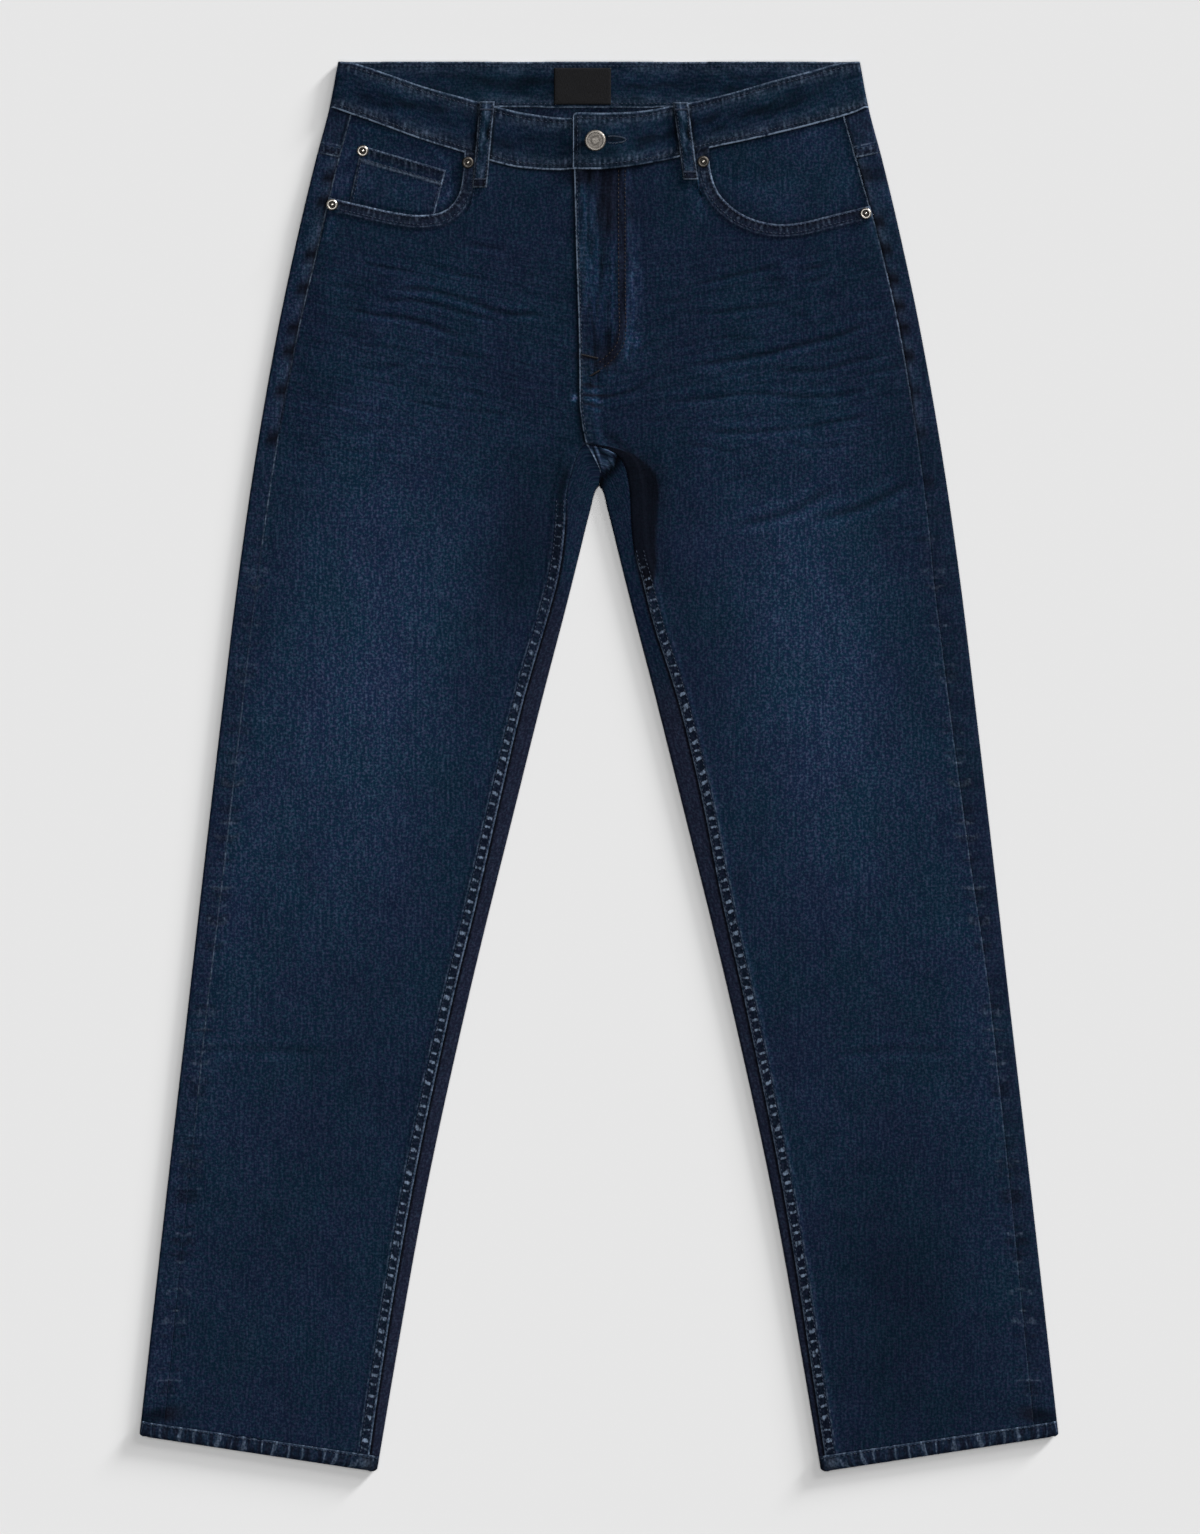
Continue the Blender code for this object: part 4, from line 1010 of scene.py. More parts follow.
@dataclass
class Cloth:
    """A sewn piece as rows of points, with what its finish needs to know at each of them.

    weave is where a point was on the flat cloth, across and along its warp. edge is the distance from
    the nearest sewn edge and the length along that edge. The marks are numbers at each point: tone is
    the washed depth of the indigo together with painted shade and highlight, worn how far the surface
    is rubbed pale, line how pale the sewn edge is, and second how pale the far side of its seam is.
    ladder is how strongly an inseam's pale rungs show, ribs the puckers beside a row of stitches,
    pressed the blotches over an outseam, and roped a hem's twist. The edge shade mark is painted
    shade right beside the edge, streaks how uneven its warp is, plum how far the indigo leans to plum,
    and crinkle how finely the cloth is creased.
    """

    x: Array
    drop: Array
    z: Array
    weave: Array
    edge: Array
    marks: dict[str, Array]

    @classmethod
    def blank(cls, x: Array, drop: Array, z: Array) -> "Cloth":
        """A piece with an even finish, whose warp runs down the garment.

        Args:
            x: the points' x.
            drop: the points' drop.
            z: the points' height.

        Returns:
            The piece.
        """
        x, drop, z = (np.array(a, float) for a in np.broadcast_arrays(x, drop, z))
        away = np.stack([np.full(x.shape, 40.0), drop], axis=-1)
        flat = np.stack([x, drop], axis=-1)
        marks = {name: np.zeros(x.shape) for name in MARKS}
        marks["tone"] += 1.0
        return cls(x, drop, z, flat, away, marks)

    def mark(self, **values: Array | float) -> None:
        """Sets marks, over all points or with one value for each."""
        for name, value in values.items():
            self.marks[name] = np.broadcast_to(np.asarray(value, float), self.x.shape)

    def sewn(self, away: Array, along: Array) -> None:
        """Sets the distance from the nearest sewn edge and the length along it."""
        parts = np.broadcast_arrays(np.clip(away, -3.0, 30.0), along, self.x)
        self.edge = np.stack(parts[:2], axis=-1)

    def build(
        self, name: str, wall: float, keep: Array | None = None, ring: bool = False, under: bool = False
    ) -> bpy.types.Object:
        """Makes the piece's mesh, with its wall inwards.

        Args:
            name: the piece's name.
            wall: the cloth's thickness.
            keep: which faces are kept, row by row, or all.
            ring: whether the last column meets the first.
            under: whether the piece faces down.

        Returns:
            The new object.
        """
        rows, columns = self.x.shape
        around = columns - 1 if ring else columns
        corner = np.arange(rows * columns).reshape(rows, columns)
        loops = np.stack([corner[:-1, :-1], corner[:-1, 1:], corner[1:, 1:], corner[1:, :-1]], axis=-1)
        loops = loops.reshape(-1, 4) if keep is None else loops[keep].reshape(-1, 4)
        points = metres(self.x, self.drop, self.z).reshape(-1, 3)
        sides = points[loops]
        normal = np.cross(sides[:, 2] - sides[:, 0], sides[:, 3] - sides[:, 1])[:, 2]
        height = sides[:, :, 2].mean(1)
        pick = height.argmin() if under else height.argmax()
        if (normal[pick] < 0) != under:
            loops = loops[:, ::-1]
        vert_of = (corner // columns * around + corner % columns % around).reshape(-1)
        used, faces = np.unique(vert_of[loops], return_inverse=True)
        first = np.zeros(rows * around, int)
        first[vert_of[::-1]] = np.arange(rows * columns)[::-1]
        mesh = bpy.data.meshes.new(name)
        mesh.from_pydata(points[first[used]], [], faces.reshape(-1, 4))
        for label, field_values in (("cloth", self.weave * MM), ("edge", self.edge * MM)):
            layer = mesh.uv_layers.new(name=label)
            layer.uv.foreach_set("vector", field_values.reshape(-1, 2)[loops.reshape(-1)].ravel())
        for label, values in self.marks.items():
            kept = values.reshape(-1)[first[used]].astype(np.float32)
            mesh.attributes.new(label, "FLOAT", "POINT").data.foreach_set("value", kept)
        mesh.shade_smooth()
        obj = add_object(name, mesh)
        shell = obj.modifiers.new("wall", "SOLIDIFY")
        shell.thickness = wall * MM
        shell.offset = -1.0
        shell.use_quality_normals = True
        return obj


class Value:
    """A shader number that takes part in ordinary expressions."""

    def __init__(self, graph: "Graph", socket: bpy.types.NodeSocket) -> None:
        """Wraps a socket of a graph."""
        self.graph, self.socket = graph, socket

    def math(self, operation: str, a: object, b: object = 0.0) -> "Value":
        """One Math node on two numbers."""
        node = self.graph.node("ShaderNodeMath", {"operation": operation}, {0: a, 1: b})
        return Value(self.graph, node.outputs[0])

    def __add__(self, other: object) -> "Value":
        """Adds a number."""
        return self.math("ADD", self, other)

    __radd__ = __add__

    def __sub__(self, other: object) -> "Value":
        """Takes a number away."""
        return self.math("SUBTRACT", self, other)

    def __rsub__(self, other: object) -> "Value":
        """Is taken away from a number."""
        return self.math("SUBTRACT", other, self)

    def __mul__(self, other: object) -> "Value":
        """Multiplies by a number."""
        return self.math("MULTIPLY", self, other)

    __rmul__ = __mul__

    def sine(self) -> "Value":
        """The sine."""
        return self.math("SINE", self)

    def least(self, other: object) -> "Value":
        """The smaller of the two."""
        return self.math("MINIMUM", self, other)

    def most(self, other: object) -> "Value":
        """The larger of the two."""
        return self.math("MAXIMUM", self, other)

    def step(self, low: float, high: float) -> "Value":
        """A smooth step, from 0 at low to 1 at high, which may be the lower of the two.

        Args:
            low: where the step is 0.
            high: where it is 1.

        Returns:
            The step, between 0 and 1.
        """
        turned = low > high
        sockets = {"Value": self, "From Min": min(low, high), "From Max": max(low, high)}
        node = self.graph.node("ShaderNodeMapRange", {"interpolation_type": "SMOOTHSTEP"}, sockets)
        found = Value(self.graph, node.outputs["Result"])
        return 1 - found if turned else found


class Graph:
    """A material's nodes, built with expressions."""

    def __init__(self, name: str) -> None:
        """Starts a material with a Principled shader.

        Args:
            name: the material's name.
        """
        self.material = bpy.data.materials.new(name)
        self.material.use_nodes = True
        self.tree = self.material.node_tree
        self.shader = self.tree.nodes["Principled BSDF"]

    def node(self, kind: str, settings: dict | None = None, sockets: dict | None = None) -> bpy.types.Node:
        """Adds a node.

        Args:
            kind: the node's type.
            settings: its settings, which are set first.
            sockets: the values or links of its sockets, by name or number.

        Returns:
            The node.
        """
        made = self.tree.nodes.new(kind)
        for name, value in (settings or {}).items():
            setattr(made, name, value)
        for key, value in (sockets or {}).items():
            self.feed(made.inputs[key], value)
        return made

    def feed(self, socket: bpy.types.NodeSocket, value: object) -> None:
        """Gives a socket its value or link.

        Args:
            socket: the socket.
            value: a number, a colour, a Value or a socket.
        """
        if isinstance(value, Value):
            value = value.socket
        if isinstance(value, bpy.types.NodeSocket):
            self.tree.links.new(socket, value)
        else:
            socket.default_value = value

    def set(self, **values: object) -> None:
        """Gives the shader's sockets their values or links, named with _ for a space."""
        for name, value in values.items():
            self.feed(self.shader.inputs[name.replace("_", " ")], value)

    def attribute(self, name: str) -> Value:
        """A number that the mesh holds at each point."""
        return Value(self, self.node("ShaderNodeAttribute", {"attribute_name": name}).outputs["Fac"])

    def plane(self, name: str, scale: tuple[float, float]) -> bpy.types.NodeSocket:
        """A UV map's coordinates in millimetres, times a scale in each direction.

        Args:
            name: the UV map.
            scale: the factors across and along.

        Returns:
            The coordinates.
        """
        source = self.node("ShaderNodeUVMap", {"uv_map": name}).outputs["UV"]
        factors = (scale[0] / MM, scale[1] / MM, 0.0)
        node = self.node("ShaderNodeVectorMath", {"operation": "MULTIPLY"}, {0: source, 1: factors})
        return node.outputs["Vector"]

    def parts(self, vector: bpy.types.NodeSocket) -> tuple[Value, Value]:
        """A vector's first two numbers."""
        node = self.node("ShaderNodeSeparateXYZ", None, {0: vector})
        return Value(self, node.outputs[0]), Value(self, node.outputs[1])

    def join(self, x: Value, y: Value) -> bpy.types.NodeSocket:
        """A vector of two numbers."""
        return self.node("ShaderNodeCombineXYZ", None, {0: x, 1: y}).outputs[0]

    def noise(self, vector: bpy.types.NodeSocket, detail: float = 1.0, flat: bool = True) -> Value:
        """Smooth noise around 0, mostly between -1 and 1.

        Args:
            vector: where the noise is read.
            detail: how many finer layers it has.
            flat: whether it varies in two directions or three.

        Returns:
            The noise.
        """
        settings = {"noise_dimensions": "2D" if flat else "3D"}
        sockets = {"Vector": vector, "Scale": 1.0, "Detail": detail, "Roughness": 0.6}
        return (Value(self, self.node("ShaderNodeTexNoise", settings, sockets).outputs[0]) - 0.5) * 4.0

    def solid(self, scale: float) -> bpy.types.NodeSocket:
        """Object coordinates in millimetres, times a scale."""
        return self.scaled(self.node("ShaderNodeTexCoord").outputs["Object"], scale / MM)

    def uneven(self, name: str, across: float, along: float, detail: float) -> Value:
        """Smooth noise over a UV map, at a scale in each direction."""
        return self.noise(self.plane(name, (across, along)), detail)

    def tint(self, factor: Value, a: object, b: object) -> bpy.types.NodeSocket:
        """A colour between two, by a factor."""
        settings = {"data_type": "RGBA", "clamp_factor": True}
        return self.node("ShaderNodeMix", settings, {0: factor, 6: a, 7: b}).outputs[2]

    def scaled(self, vector: object, factor: Value | float) -> bpy.types.NodeSocket:
        """A colour made brighter or darker by a factor, or a vector made longer."""
        sockets = {0: vector, "Scale": factor}
        return self.node("ShaderNodeVectorMath", {"operation": "SCALE"}, sockets).outputs["Vector"]

    def bump(self, height: Value, distance: float) -> bpy.types.NodeSocket:
        """The normal of a surface raised by a height, whose 1 is the distance in millimetres."""
        return self.node("ShaderNodeBump", None, {"Distance": distance * MM, "Height": height}).outputs[0]


@dataclass(frozen=True)
class Denim:
    """Indigo twill: pale specks and slubs along the warp, washed tones, pale-rubbed edges and painted shade.
    """

    name: str
    indigo: Colour = (0.0035, 0.0078, 0.0229)
    teal: Colour = (0.0016, 0.0098, 0.0211)
    plum: Colour = (0.0073, 0.0088, 0.0196)
    pale: Colour = (0.112, 0.124, 0.225)
    pale_teal: Colour = (0.07, 0.138, 0.226)
    rubbed: Colour = (0.15, 0.2, 0.28)
    specks: float = 0.033
    lean: float = 0.2
    bump: float = 0.065
    twill: float = 0.85
    rung: float = 8.6
    pucker: float = 4.8
    blotch: float = 22.0
    tick: float = 14.0
    rope: float = 9.4

    def _creases(self, g: Graph) -> Value:
        """Fine uneven creases, which rise a little towards the sides.

        Args:
            g: the material's graph.

        Returns:
            The creases' height.
        """
        across, along = g.parts(g.plane("cloth", (1.0, 1.0)))
        down = along + self.lean * across.math("ABSOLUTE", across)
        long = g.noise(g.join(across * 0.024, down * 0.19), 2.0)
        short = g.noise(g.join(across * 0.06 + 7.0, down * 0.33), 1.0)
        return g.attribute("crinkle") * (0.75 * long + 0.4 * short)

    def _sewn(self, g: Graph) -> tuple[Value, Value]:
        """What sewing leaves: how far each place is rubbed pale, and how far it is pressed dark or lies in
        painted shade beside an edge.

        Args:
            g: the material's graph.

        Returns:
            The pale share and the dark share.
        """
        away, along = g.parts(g.plane("edge", (1.0, 1.0)))
        wander = g.uneven("edge", 0.02, 0.06, 1.0)
        broken = g.uneven("edge", 0.3, 0.16, 2.0)
        smudge = g.uneven("edge", 0.08, 0.17, 1.0)

        def wave(pitch: float, sway: float, slant: float = 0.0) -> Value:
            """Waves along the edge, whose pitch wanders.

            Args:
                pitch: a wave's usual length.
                sway: how far it wanders.
                slant: how far it leans as it leaves the edge.

            Returns:
                A number between -1 and 1.
            """
            return ((along + slant * away + sway * wander) * (math.tau / pitch)).sine()

        ladder, ribs, brink = (g.attribute(name) for name in ("ladder", "ribs", "brink"))
        pressed, roped = g.attribute("pressed"), g.attribute("roped")
        rung = (wave(self.rung, 2.4, 0.3) + 0.3 * broken + 0.6 * ladder - 0.6).step(0.3, 0.8)
        rung = ladder * rung * away.step(2.3, 3.1) * away.step(8.0, 6.9) * (0.8 + 0.6 * broken).most(0.0)
        hollow = ladder * away.step(1.3, 1.9) * away.step(9.0, 7.4)
        rib = (0.65 * wave(self.pucker, 1.2) + 0.6 * smudge + 0.4 * broken).step(0.0, 1.2)
        band = ribs * away.step(1.4, 2.6) * away.step(9.0, 5.6)
        blotch = wave(self.blotch, 7.0) + 0.7 * smudge
        tick = (wave(self.tick, 6.0) + 0.8 * smudge).step(0.7, 1.5) * (0.6 + 0.7 * broken).most(0.0)
        zone = pressed * away.step(13.0, 5.0)
        twist = wave(self.rope, 5.0) + 0.6 * wave(0.57 * self.rope, 4.0) + 0.8 * smudge
        line = g.attribute("line") * away.step(1.5, 0.8) * (0.72 + 0.75 * broken).most(0.0)
        line = line * (1 - 0.6 * roped * twist.step(0.6, -0.4))
        second = g.attribute("second") * away.step(8.3, 9.0) * away.step(10.2, 9.5) * (0.4 + 0.8 * broken)
        strand = roped * twist.step(0.8, 1.5) * (0.65 + 0.5 * broken).most(0.0)
        pale = g.attribute("worn") + 1.5 * rung + 0.16 * band * rib + line + second.most(0.0)
        pale = pale + 0.26 * zone * tick + 0.56 * strand
        # The edge shade mark adds painted shade right beside a sewn edge.
        dark = 0.6 * hollow * (1 - rung).most(0.0) + 0.55 * brink * away.step(2.8, 1.0)
        dark = dark + 0.16 * band * (1 - rib) + 0.2 * ribs * away.step(1.2, 1.9) * away.step(5.0, 3.4)
        dark = dark + 0.34 * zone * blotch.step(0.3, 1.4)
        dark = dark + 0.4 * roped * twist.step(0.3, -0.6) * away.step(1.4, 2.4)
        return pale, dark

    def material(self) -> bpy.types.Material:
        """Builds the finish.

        Returns:
            The material.
        """
        g = Graph(self.name)
        fine = g.uneven("cloth", 0.46, 0.5, 3.0)
        dye = g.uneven("cloth", 0.31, 0.37, 2.0)
        yarn = g.uneven("cloth", 0.55, 0.1, 1.5)
        slub = g.uneven("cloth", 0.33, 0.014, 1.0)
        runs = g.uneven("cloth", 0.2, 0.03, 2.0)
        cloud = g.uneven("cloth", 0.05, 0.032, 2.0)
        hue = g.uneven("cloth", 0.021, 0.017, 1.0)
        creases = self._creases(g)
        pale, dark = self._sewn(g)
        across, along = g.parts(g.plane("cloth", (1.0, 1.0)))
        twill = ((across + along) * (math.tau / self.twill) + 2.5 * fine).sine()
        # The tone attribute carries the washed depth together with painted shade and highlight.
        wash_and_shade = g.attribute("tone")
        tone = wash_and_shade * (1 + 0.09 * cloud) * (1 + 0.15 * creases) * (1 - dark).most(0.04)
        tone = tone * (1 + 0.62 * g.attribute("streaks") * runs).most(0.3)
        grain = (0.1 + 0.95 * wash_and_shade) * (2.7 * fine + 1.1 * yarn + 0.4 * slub) + 0.25 * creases + 0.12 * twill
        share = (self.specks * (1 + grain).most(0.0) * tone).least(1.0)
        base = g.tint((0.55 * hue + 0.9 * dye).step(-0.8, 0.8), (*self.indigo, 1.0), (*self.teal, 1.0))
        base = g.tint((g.attribute("plum") + 0.8 * dark).least(1.0), base, (*self.plum, 1.0))
        fleck = g.tint(dye.step(-0.8, 0.8), (*self.pale, 1.0), (*self.pale_teal, 1.0))
        colour = g.tint(share, g.scaled(base, tone), fleck)
        rub = (pale * (0.72 + 0.5 * fine + 0.3 * yarn).most(0.0)).least(1.0)
        colour = g.tint(rub, colour, (*self.rubbed, 1.0))
        height = 0.5 * fine + 0.6 * yarn + 2.4 * creases + 0.15 * twill
        g.set(Base_Color=colour, Normal=g.bump(height, self.bump), Roughness=0.9)
        g.set(Specular_IOR_Level=0.04)
        return g.material


@dataclass(frozen=True)
class Thread:
    """Sewing thread."""

    name: str
    colour: Colour

    def material(self) -> bpy.types.Material:
        """Builds the finish.

        Returns:
            The material.
        """
        g = Graph(self.name)
        shade = 1 + 0.35 * g.noise(g.solid(0.4), 1.0, flat=False)
        g.set(Base_Color=g.scaled(self.colour, shade), Roughness=0.6, Specular_IOR_Level=0.25)
        return g.material


@dataclass(frozen=True)
class Nickel:
    """Antique nickel: warm grey metal, dark in its grooves."""

    name: str = "antique_nickel_worn"
    bright: Colour = (0.43, 0.40, 0.36)
    dark: Colour = (0.045, 0.04, 0.036)

    def material(self) -> bpy.types.Material:
        """Builds the finish.

        Returns:
            The material.
        """
        g = Graph(self.name)
        patina = g.noise(g.solid(0.9), 3.0, flat=False)
        groove = g.attribute("groove")
        dirt = (groove + 0.12 * patina + 0.08).step(0.0, 1.0)
        colour = g.tint(dirt, (*self.bright, 1.0), (*self.dark, 1.0))
        g.set(Base_Color=colour, Metallic=1.0, Roughness=0.3 + 0.3 * dirt + 0.05 * patina)
        g.set(Normal=g.bump(patina, 0.03))
        return g.material


@dataclass(frozen=True)
class Satin:
    """Plain black woven satin."""

    name: str = "black_label_satin"
    colour: Colour = (0.006, 0.006, 0.007)

    def material(self) -> bpy.types.Material:
        """Builds the finish.

        Returns:
            The material.
        """
        g = Graph(self.name)
        thread = g.uneven("cloth", 3.0, 0.35, 1.0)
        g.set(Base_Color=g.scaled(self.colour, 1 + 0.45 * thread), Roughness=0.6)
        g.set(Normal=g.bump(thread, 0.04), Specular_IOR_Level=0.1)
        return g.material


class Finish(Enum):
    """The finishes, each made once."""

    DENIM = "denim"
    DOUBLE = "denim_double"
    NICKEL = "antique_nickel"
    SATIN = "label_satin"
    NAVY = "thread_navy"
    RUST = "thread_rust"
    TACK = "thread_brown"
    FADED = "thread_faded"

    @property
    def slot(self) -> str:
        """The slot that the finish belongs to."""
        return "denim_double" if self.value.startswith("thread") else self.value

    def material(self) -> bpy.types.Material:
        """The finish's material, made at its first use.

        Returns:
            The material.
        """
        if self not in _MADE:
            _MADE[self] = _RECIPES[self].material()
        return _MADE[self]


_MADE: dict[Finish, bpy.types.Material] = {}
_RECIPES = {
    Finish.DENIM: Denim("indigo_denim"),
    Finish.DOUBLE: Denim("indigo_denim_double", (0.0026, 0.0082, 0.0226), (0.0014, 0.0104, 0.0212)),
    Finish.NICKEL: Nickel(),
    Finish.SATIN: Satin(),
    Finish.NAVY: Thread("thread_navy_polyester", (0.012, 0.02, 0.04)),
    Finish.RUST: Thread("thread_rust_polyester", (0.014, 0.0095, 0.0095)),
    Finish.TACK: Thread("thread_brown_polyester", (0.0055, 0.0044, 0.0058)),
    Finish.FADED: Thread("thread_faded_polyester", (0.02, 0.032, 0.055)),
}


def hand_in(obj: bpy.types.Object, finish: Finish, node: str = "") -> None:
    """Dresses a finished piece and ties it to the frame.

    Args:
        obj: the piece.
        finish: its material.
        node: the solid that it stands for, if it does.
    """
    if not obj.data.materials:
        obj.data.materials.append(finish.material())
    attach(obj, BODY)
    if node:
        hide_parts(node)
    log.info("%s: %d faces before its wall", obj.name, len(obj.data.polygons))


def hand_in_cloth(
    cloth: Cloth, node: str, finish: Finish, wall: float, rests_on: Sequence[str] = (), name: str = "",
    keep: Array | None = None, **shape: bool,
) -> None:
    """Args:
        cloth: its points and marks.
        node: the solid that it stands for.
        finish: its material.
        wall: its thickness.
        rests_on: what it lies on; not used.
        name: its name, where that isn't the node's after "denim".
        keep: which faces it has, or all.
        shape: whether it is a ring, or faces down.
    """
    obj = cloth.build(name or "denim_" + node, wall, keep=keep, **shape)
    hand_in(obj, finish, node)


class Station(NamedTuple):
    """Rows down a leg: their drops at the side fold, at the inseam and at the inner fold."""

    outer: Array
    seam: Array
    fold: Array


@dataclass(frozen=True)
class Leg:
    """The rows that a leg's panels share."""

    side: Side
    hem_gap: float = -1.0  # the panels run this far into the hem
    row_step: float = 2.2

    def stations(self, first: float = CROTCH_TOP) -> Station:
        """Rows from a drop at the crotch to the hem.

        Args:
            first: the first row's drop at the inseam.

        Returns:
            The rows.
        """
        top, foot = CROTCH_TOP, HEM_INNER_DROP - HEM_HEIGHT - self.hem_gap
        outer_foot = HEM_OUTER_DROP - HEM_HEIGHT - self.hem_gap
        drop = np.linspace(first, foot, int((foot - first) / self.row_step) + 1)
        level = rising(drop, top, LEVEL_REACH)
        outer = mix(CROTCH_OUTER_DROP, outer_foot, (drop - top) / (foot - top))
        fold = drop + (CROTCH_DROP - top) * (1 - level)
        inner, side = PLAN.inner_fold(fold), PLAN.side_fold(outer)
        line = mix(fold, outer, (PLAN.inseam[self.side](drop) - inner) / (side - inner))
        return Station(outer, mix(drop, line, level), fold)


@dataclass(frozen=True)
class FrontPanel:
    """A front leg panel, from the waistband and the pocket opening to the hem."""

    side: Side
    outer_columns: int = 50
    seam_shares: tuple[float, ...] = (0.0, 0.0016, 0.004, 0.008, 0.014)  # nearest the outseam
    after_seam: float = 0.024
    opening_share: float = 0.7
    inner_columns: tuple[float, ...] = (
        44.8, 43.6, 42.4, 41.2, 40.0, 38.8, 37.6, 36.4, 35.2, 34.0, 32.6, 31.2, 29.6, 28.0, 26.0, 24.0,
        22.0, 19.8, 17.6, 15.6, 13.8, 12.4, 11.2, 10.3, 9.5, 8.7, 7.9, 7.0, 6.0, 5.0, 4.0, 3.0, 2.2, 1.5,
        0.9, 0.4, 0.0,
    )
    inner_start: float = 46.0
    band_rows: tuple[float, ...] = (
        0.0, 0.4, 0.9, 1.5, 2.3, 3.3, 4.4, 5.6, 6.8, 7.8, 8.6, 9.2, 9.7, 10.3, 11.0, 11.8, 12.6,
    )
    join_rows: int = 40
    hip_rows: int = 60
    opening_shares: tuple[float, ...] = (0.0, 0.15, 0.3, 0.45, 0.58, 0.7, 0.81, 1.0)
    corner_ways: Points = ((-0.82, 0.57), (-0.85, 0.72))
    seam_ways: Points = ((0.0, 0.75), (0.0, 1.0))
    band_gap: float = -1.5  # the panel's top runs this far under the waistband

    def _top(self) -> tuple[Array, Array]:
        """The top edge's points, and the ways from them into the panel.

        Returns:
            The points, and one way for each.
        """
        side, route = self.side, PLAN.openings[self.side]
        u = np.linspace(0.0, 1.0, self.outer_columns + 1)
        on_opening = u <= self.opening_share + 1e-9
        coarse = len(self.opening_shares) - 1
        steps = u[on_opening] / self.opening_share * coarse
        shares = np.interp(steps, np.arange(coarse + 1), self.opening_shares)
        opening = route.at_share(shares)
        corner = opening[-1][0]
        edge = PLAN.inner_edge(side, PLAN.band_foot[side](0.0))
        rest = (u[~on_opening] - self.opening_share) / (1 - self.opening_share)
        outer = mix(corner, edge + self.inner_start, rest)
        reach = np.concatenate([outer, edge + np.array(self.inner_columns)])
        seam = np.stack([reach, PLAN.band_foot[side](reach) + self.band_gap], axis=-1)
        opening[-1][1] = PLAN.band_foot[side](corner) + self.band_gap
        points = np.concatenate([opening, seam])
        ways = list(route.inward(np.array(self.opening_shares)))
        start = points[0][1]
        slope = float(PLAN.outer_edge(side, start + 1.0) - PLAN.outer_edge(side, start))
        ways[0] = (slope, 1.0)
        ways[-2:] = self.corner_ways
        ways += self.seam_ways
        spot = np.concatenate([u * 10, np.full(len(self.inner_columns), 10.0)])
        spread = np.array(ways)
        way = np.stack([np.interp(spot, np.arange(len(ways)), spread[:, n]) for n in (0, 1)], axis=-1)
        return points, way

    def _rows(self, outer: Array, inner: Array) -> Array:
        """Rows across the panel, from the outseam in, between pairs of drops.

        Args:
            outer: the rows' drops at the side fold.
            inner: their drops at the inner edge.

        Returns:
            Reach and drop of each point, row by row.
        """
        edge, side = PLAN.inner_edge(self.side, inner), PLAN.side_fold(outer)
        first, last = PLAN.outer_edge(self.side, outer), edge + self.inner_start
        others = self.outer_columns + 1 - len(self.seam_shares)
        share = np.concatenate([self.seam_shares, np.linspace(self.after_seam, 1.0, others)])
        reach = mix(first[:, None], last[:, None], share[None, :])
        reach = np.concatenate([reach, edge[:, None] + np.array(self.inner_columns)[None, :]], axis=1)
        slope = (outer - inner) / (side - edge)
        drop = inner[:, None] + (reach - edge[:, None]) * slope[:, None]
        return np.stack([reach, drop], axis=-1)

    def grid(self) -> tuple[Array, Array]:
        """Reach and drop of every point.

        Returns:
            Two arrays, with a row for each row.
        """
        points, ways = self._top()
        bands = points[None] + ways[None] * np.array(self.band_rows)[:, None, None]
        hips = self._rows(
            np.linspace(HIP_OUTER_DROP, CROTCH_OUTER_DROP, self.hip_rows, endpoint=False),
            np.linspace(HIP_INNER_DROP, CROTCH_TOP, self.hip_rows, endpoint=False),
        )
        share = (np.arange(1, self.join_rows + 1) / (self.join_rows + 1))[:, None, None]
        join = mix(bands[-1][None], hips[0][None], share)
        leg = Leg(self.side).stations()
        whole = np.concatenate([bands, join, hips, self._rows(leg.outer, leg.seam)])
        reach, drop = whole[..., 0], whole[..., 1]
        top = len(bands) + len(join)
        inner = slice(self.outer_columns + 1, None)
        edge = PLAN.inner_edge(self.side, drop[:top, -1])
        reach[:top, inner] = edge[:, None] + np.array(self.inner_columns)[None, :]
        reach[:, 0] = PLAN.outer_edge(self.side, drop[:, 0])
        return reach, drop

    def cloth(self) -> Cloth:
        """The panel's points and finish.

        Returns:
            The cloth.
        """
        side = self.side
        reach, drop = self.grid()
        x = side * reach
        inseam = reach - PLAN.inner_edge(side, drop)
        outseam = PLAN.outer_edge(side, drop) - reach
        opening, along = PLAN.openings[side].measure(reach, drop)
        at_edge = np.minimum(np.minimum(inseam, outseam), opening)
        on_strip = (outseam < 4.0) & (opening > 4.0)
        sunk = np.where(on_strip, 0.06 + 0.24 * PLAN.on_hip(drop), 0.45)
        z = PLAN.front_height(side, x, drop) - sunk * bell(at_edge, 0.8)
        made = Cloth.blank(x, drop, z)
        below = drop > CROTCH_TOP
        by_opening = (opening < np.minimum(inseam, outseam)) & ~below
        by_outseam = ~by_opening & (outseam < inseam)
        places = [by_opening, by_outseam, below]
        made.sewn(np.select(places, [opening, outseam, inseam], inseam), np.where(by_opening, along, drop))
        left, started = side is Side.LEFT, PLAN.started(side, drop)
        wear, blotches = table_at(OUTSEAM_WEAR[side], drop), table_at(OUTSEAM_BLOTCHES, drop)
        mouth = 0.42 + 0.5 * rising(along, 120.0, 12.0) if left else 0.74
        rungs = (0.5 if left else 0.42) + 0.25 * rising(drop, 450.0, 80.0)
        seam = 0.55 * started if left else 0.05 + 0.2 * started + 0.25 * rising(drop, 440.0, 80.0)
        felled = 0.3 * rising(drop, 500.0 if left else 352.0, 90.0)
        fly = 1.6 - 1.0 * rising(drop, 268.0, 14.0) if left else 0.0
        made.mark(
            line=np.select(places, [mouth, wear, seam], fly),
            second=np.select(places, [0.24, 0.0, felled], 0.0),
            ladder=np.select(places, [0.0, 0.0, started * rungs], 0.0),
            ribs=np.select(places, [1.1, 0.0, 0.0], 0.4 * left),
            pressed=np.where(by_outseam, blotches, 0.0),
            # Painted shade beside the outseam at the hips.
            brink=np.select(places, [0.0, 0.5 * PLAN.on_hip(drop), 0.0], 0.0),
            crinkle=0.12 + 0.8 * rising(drop, 125.0, 40.0) * falling(drop, 370.0, 90.0)
            + 0.12 * bell(drop - 790.0, 60.0),
        )
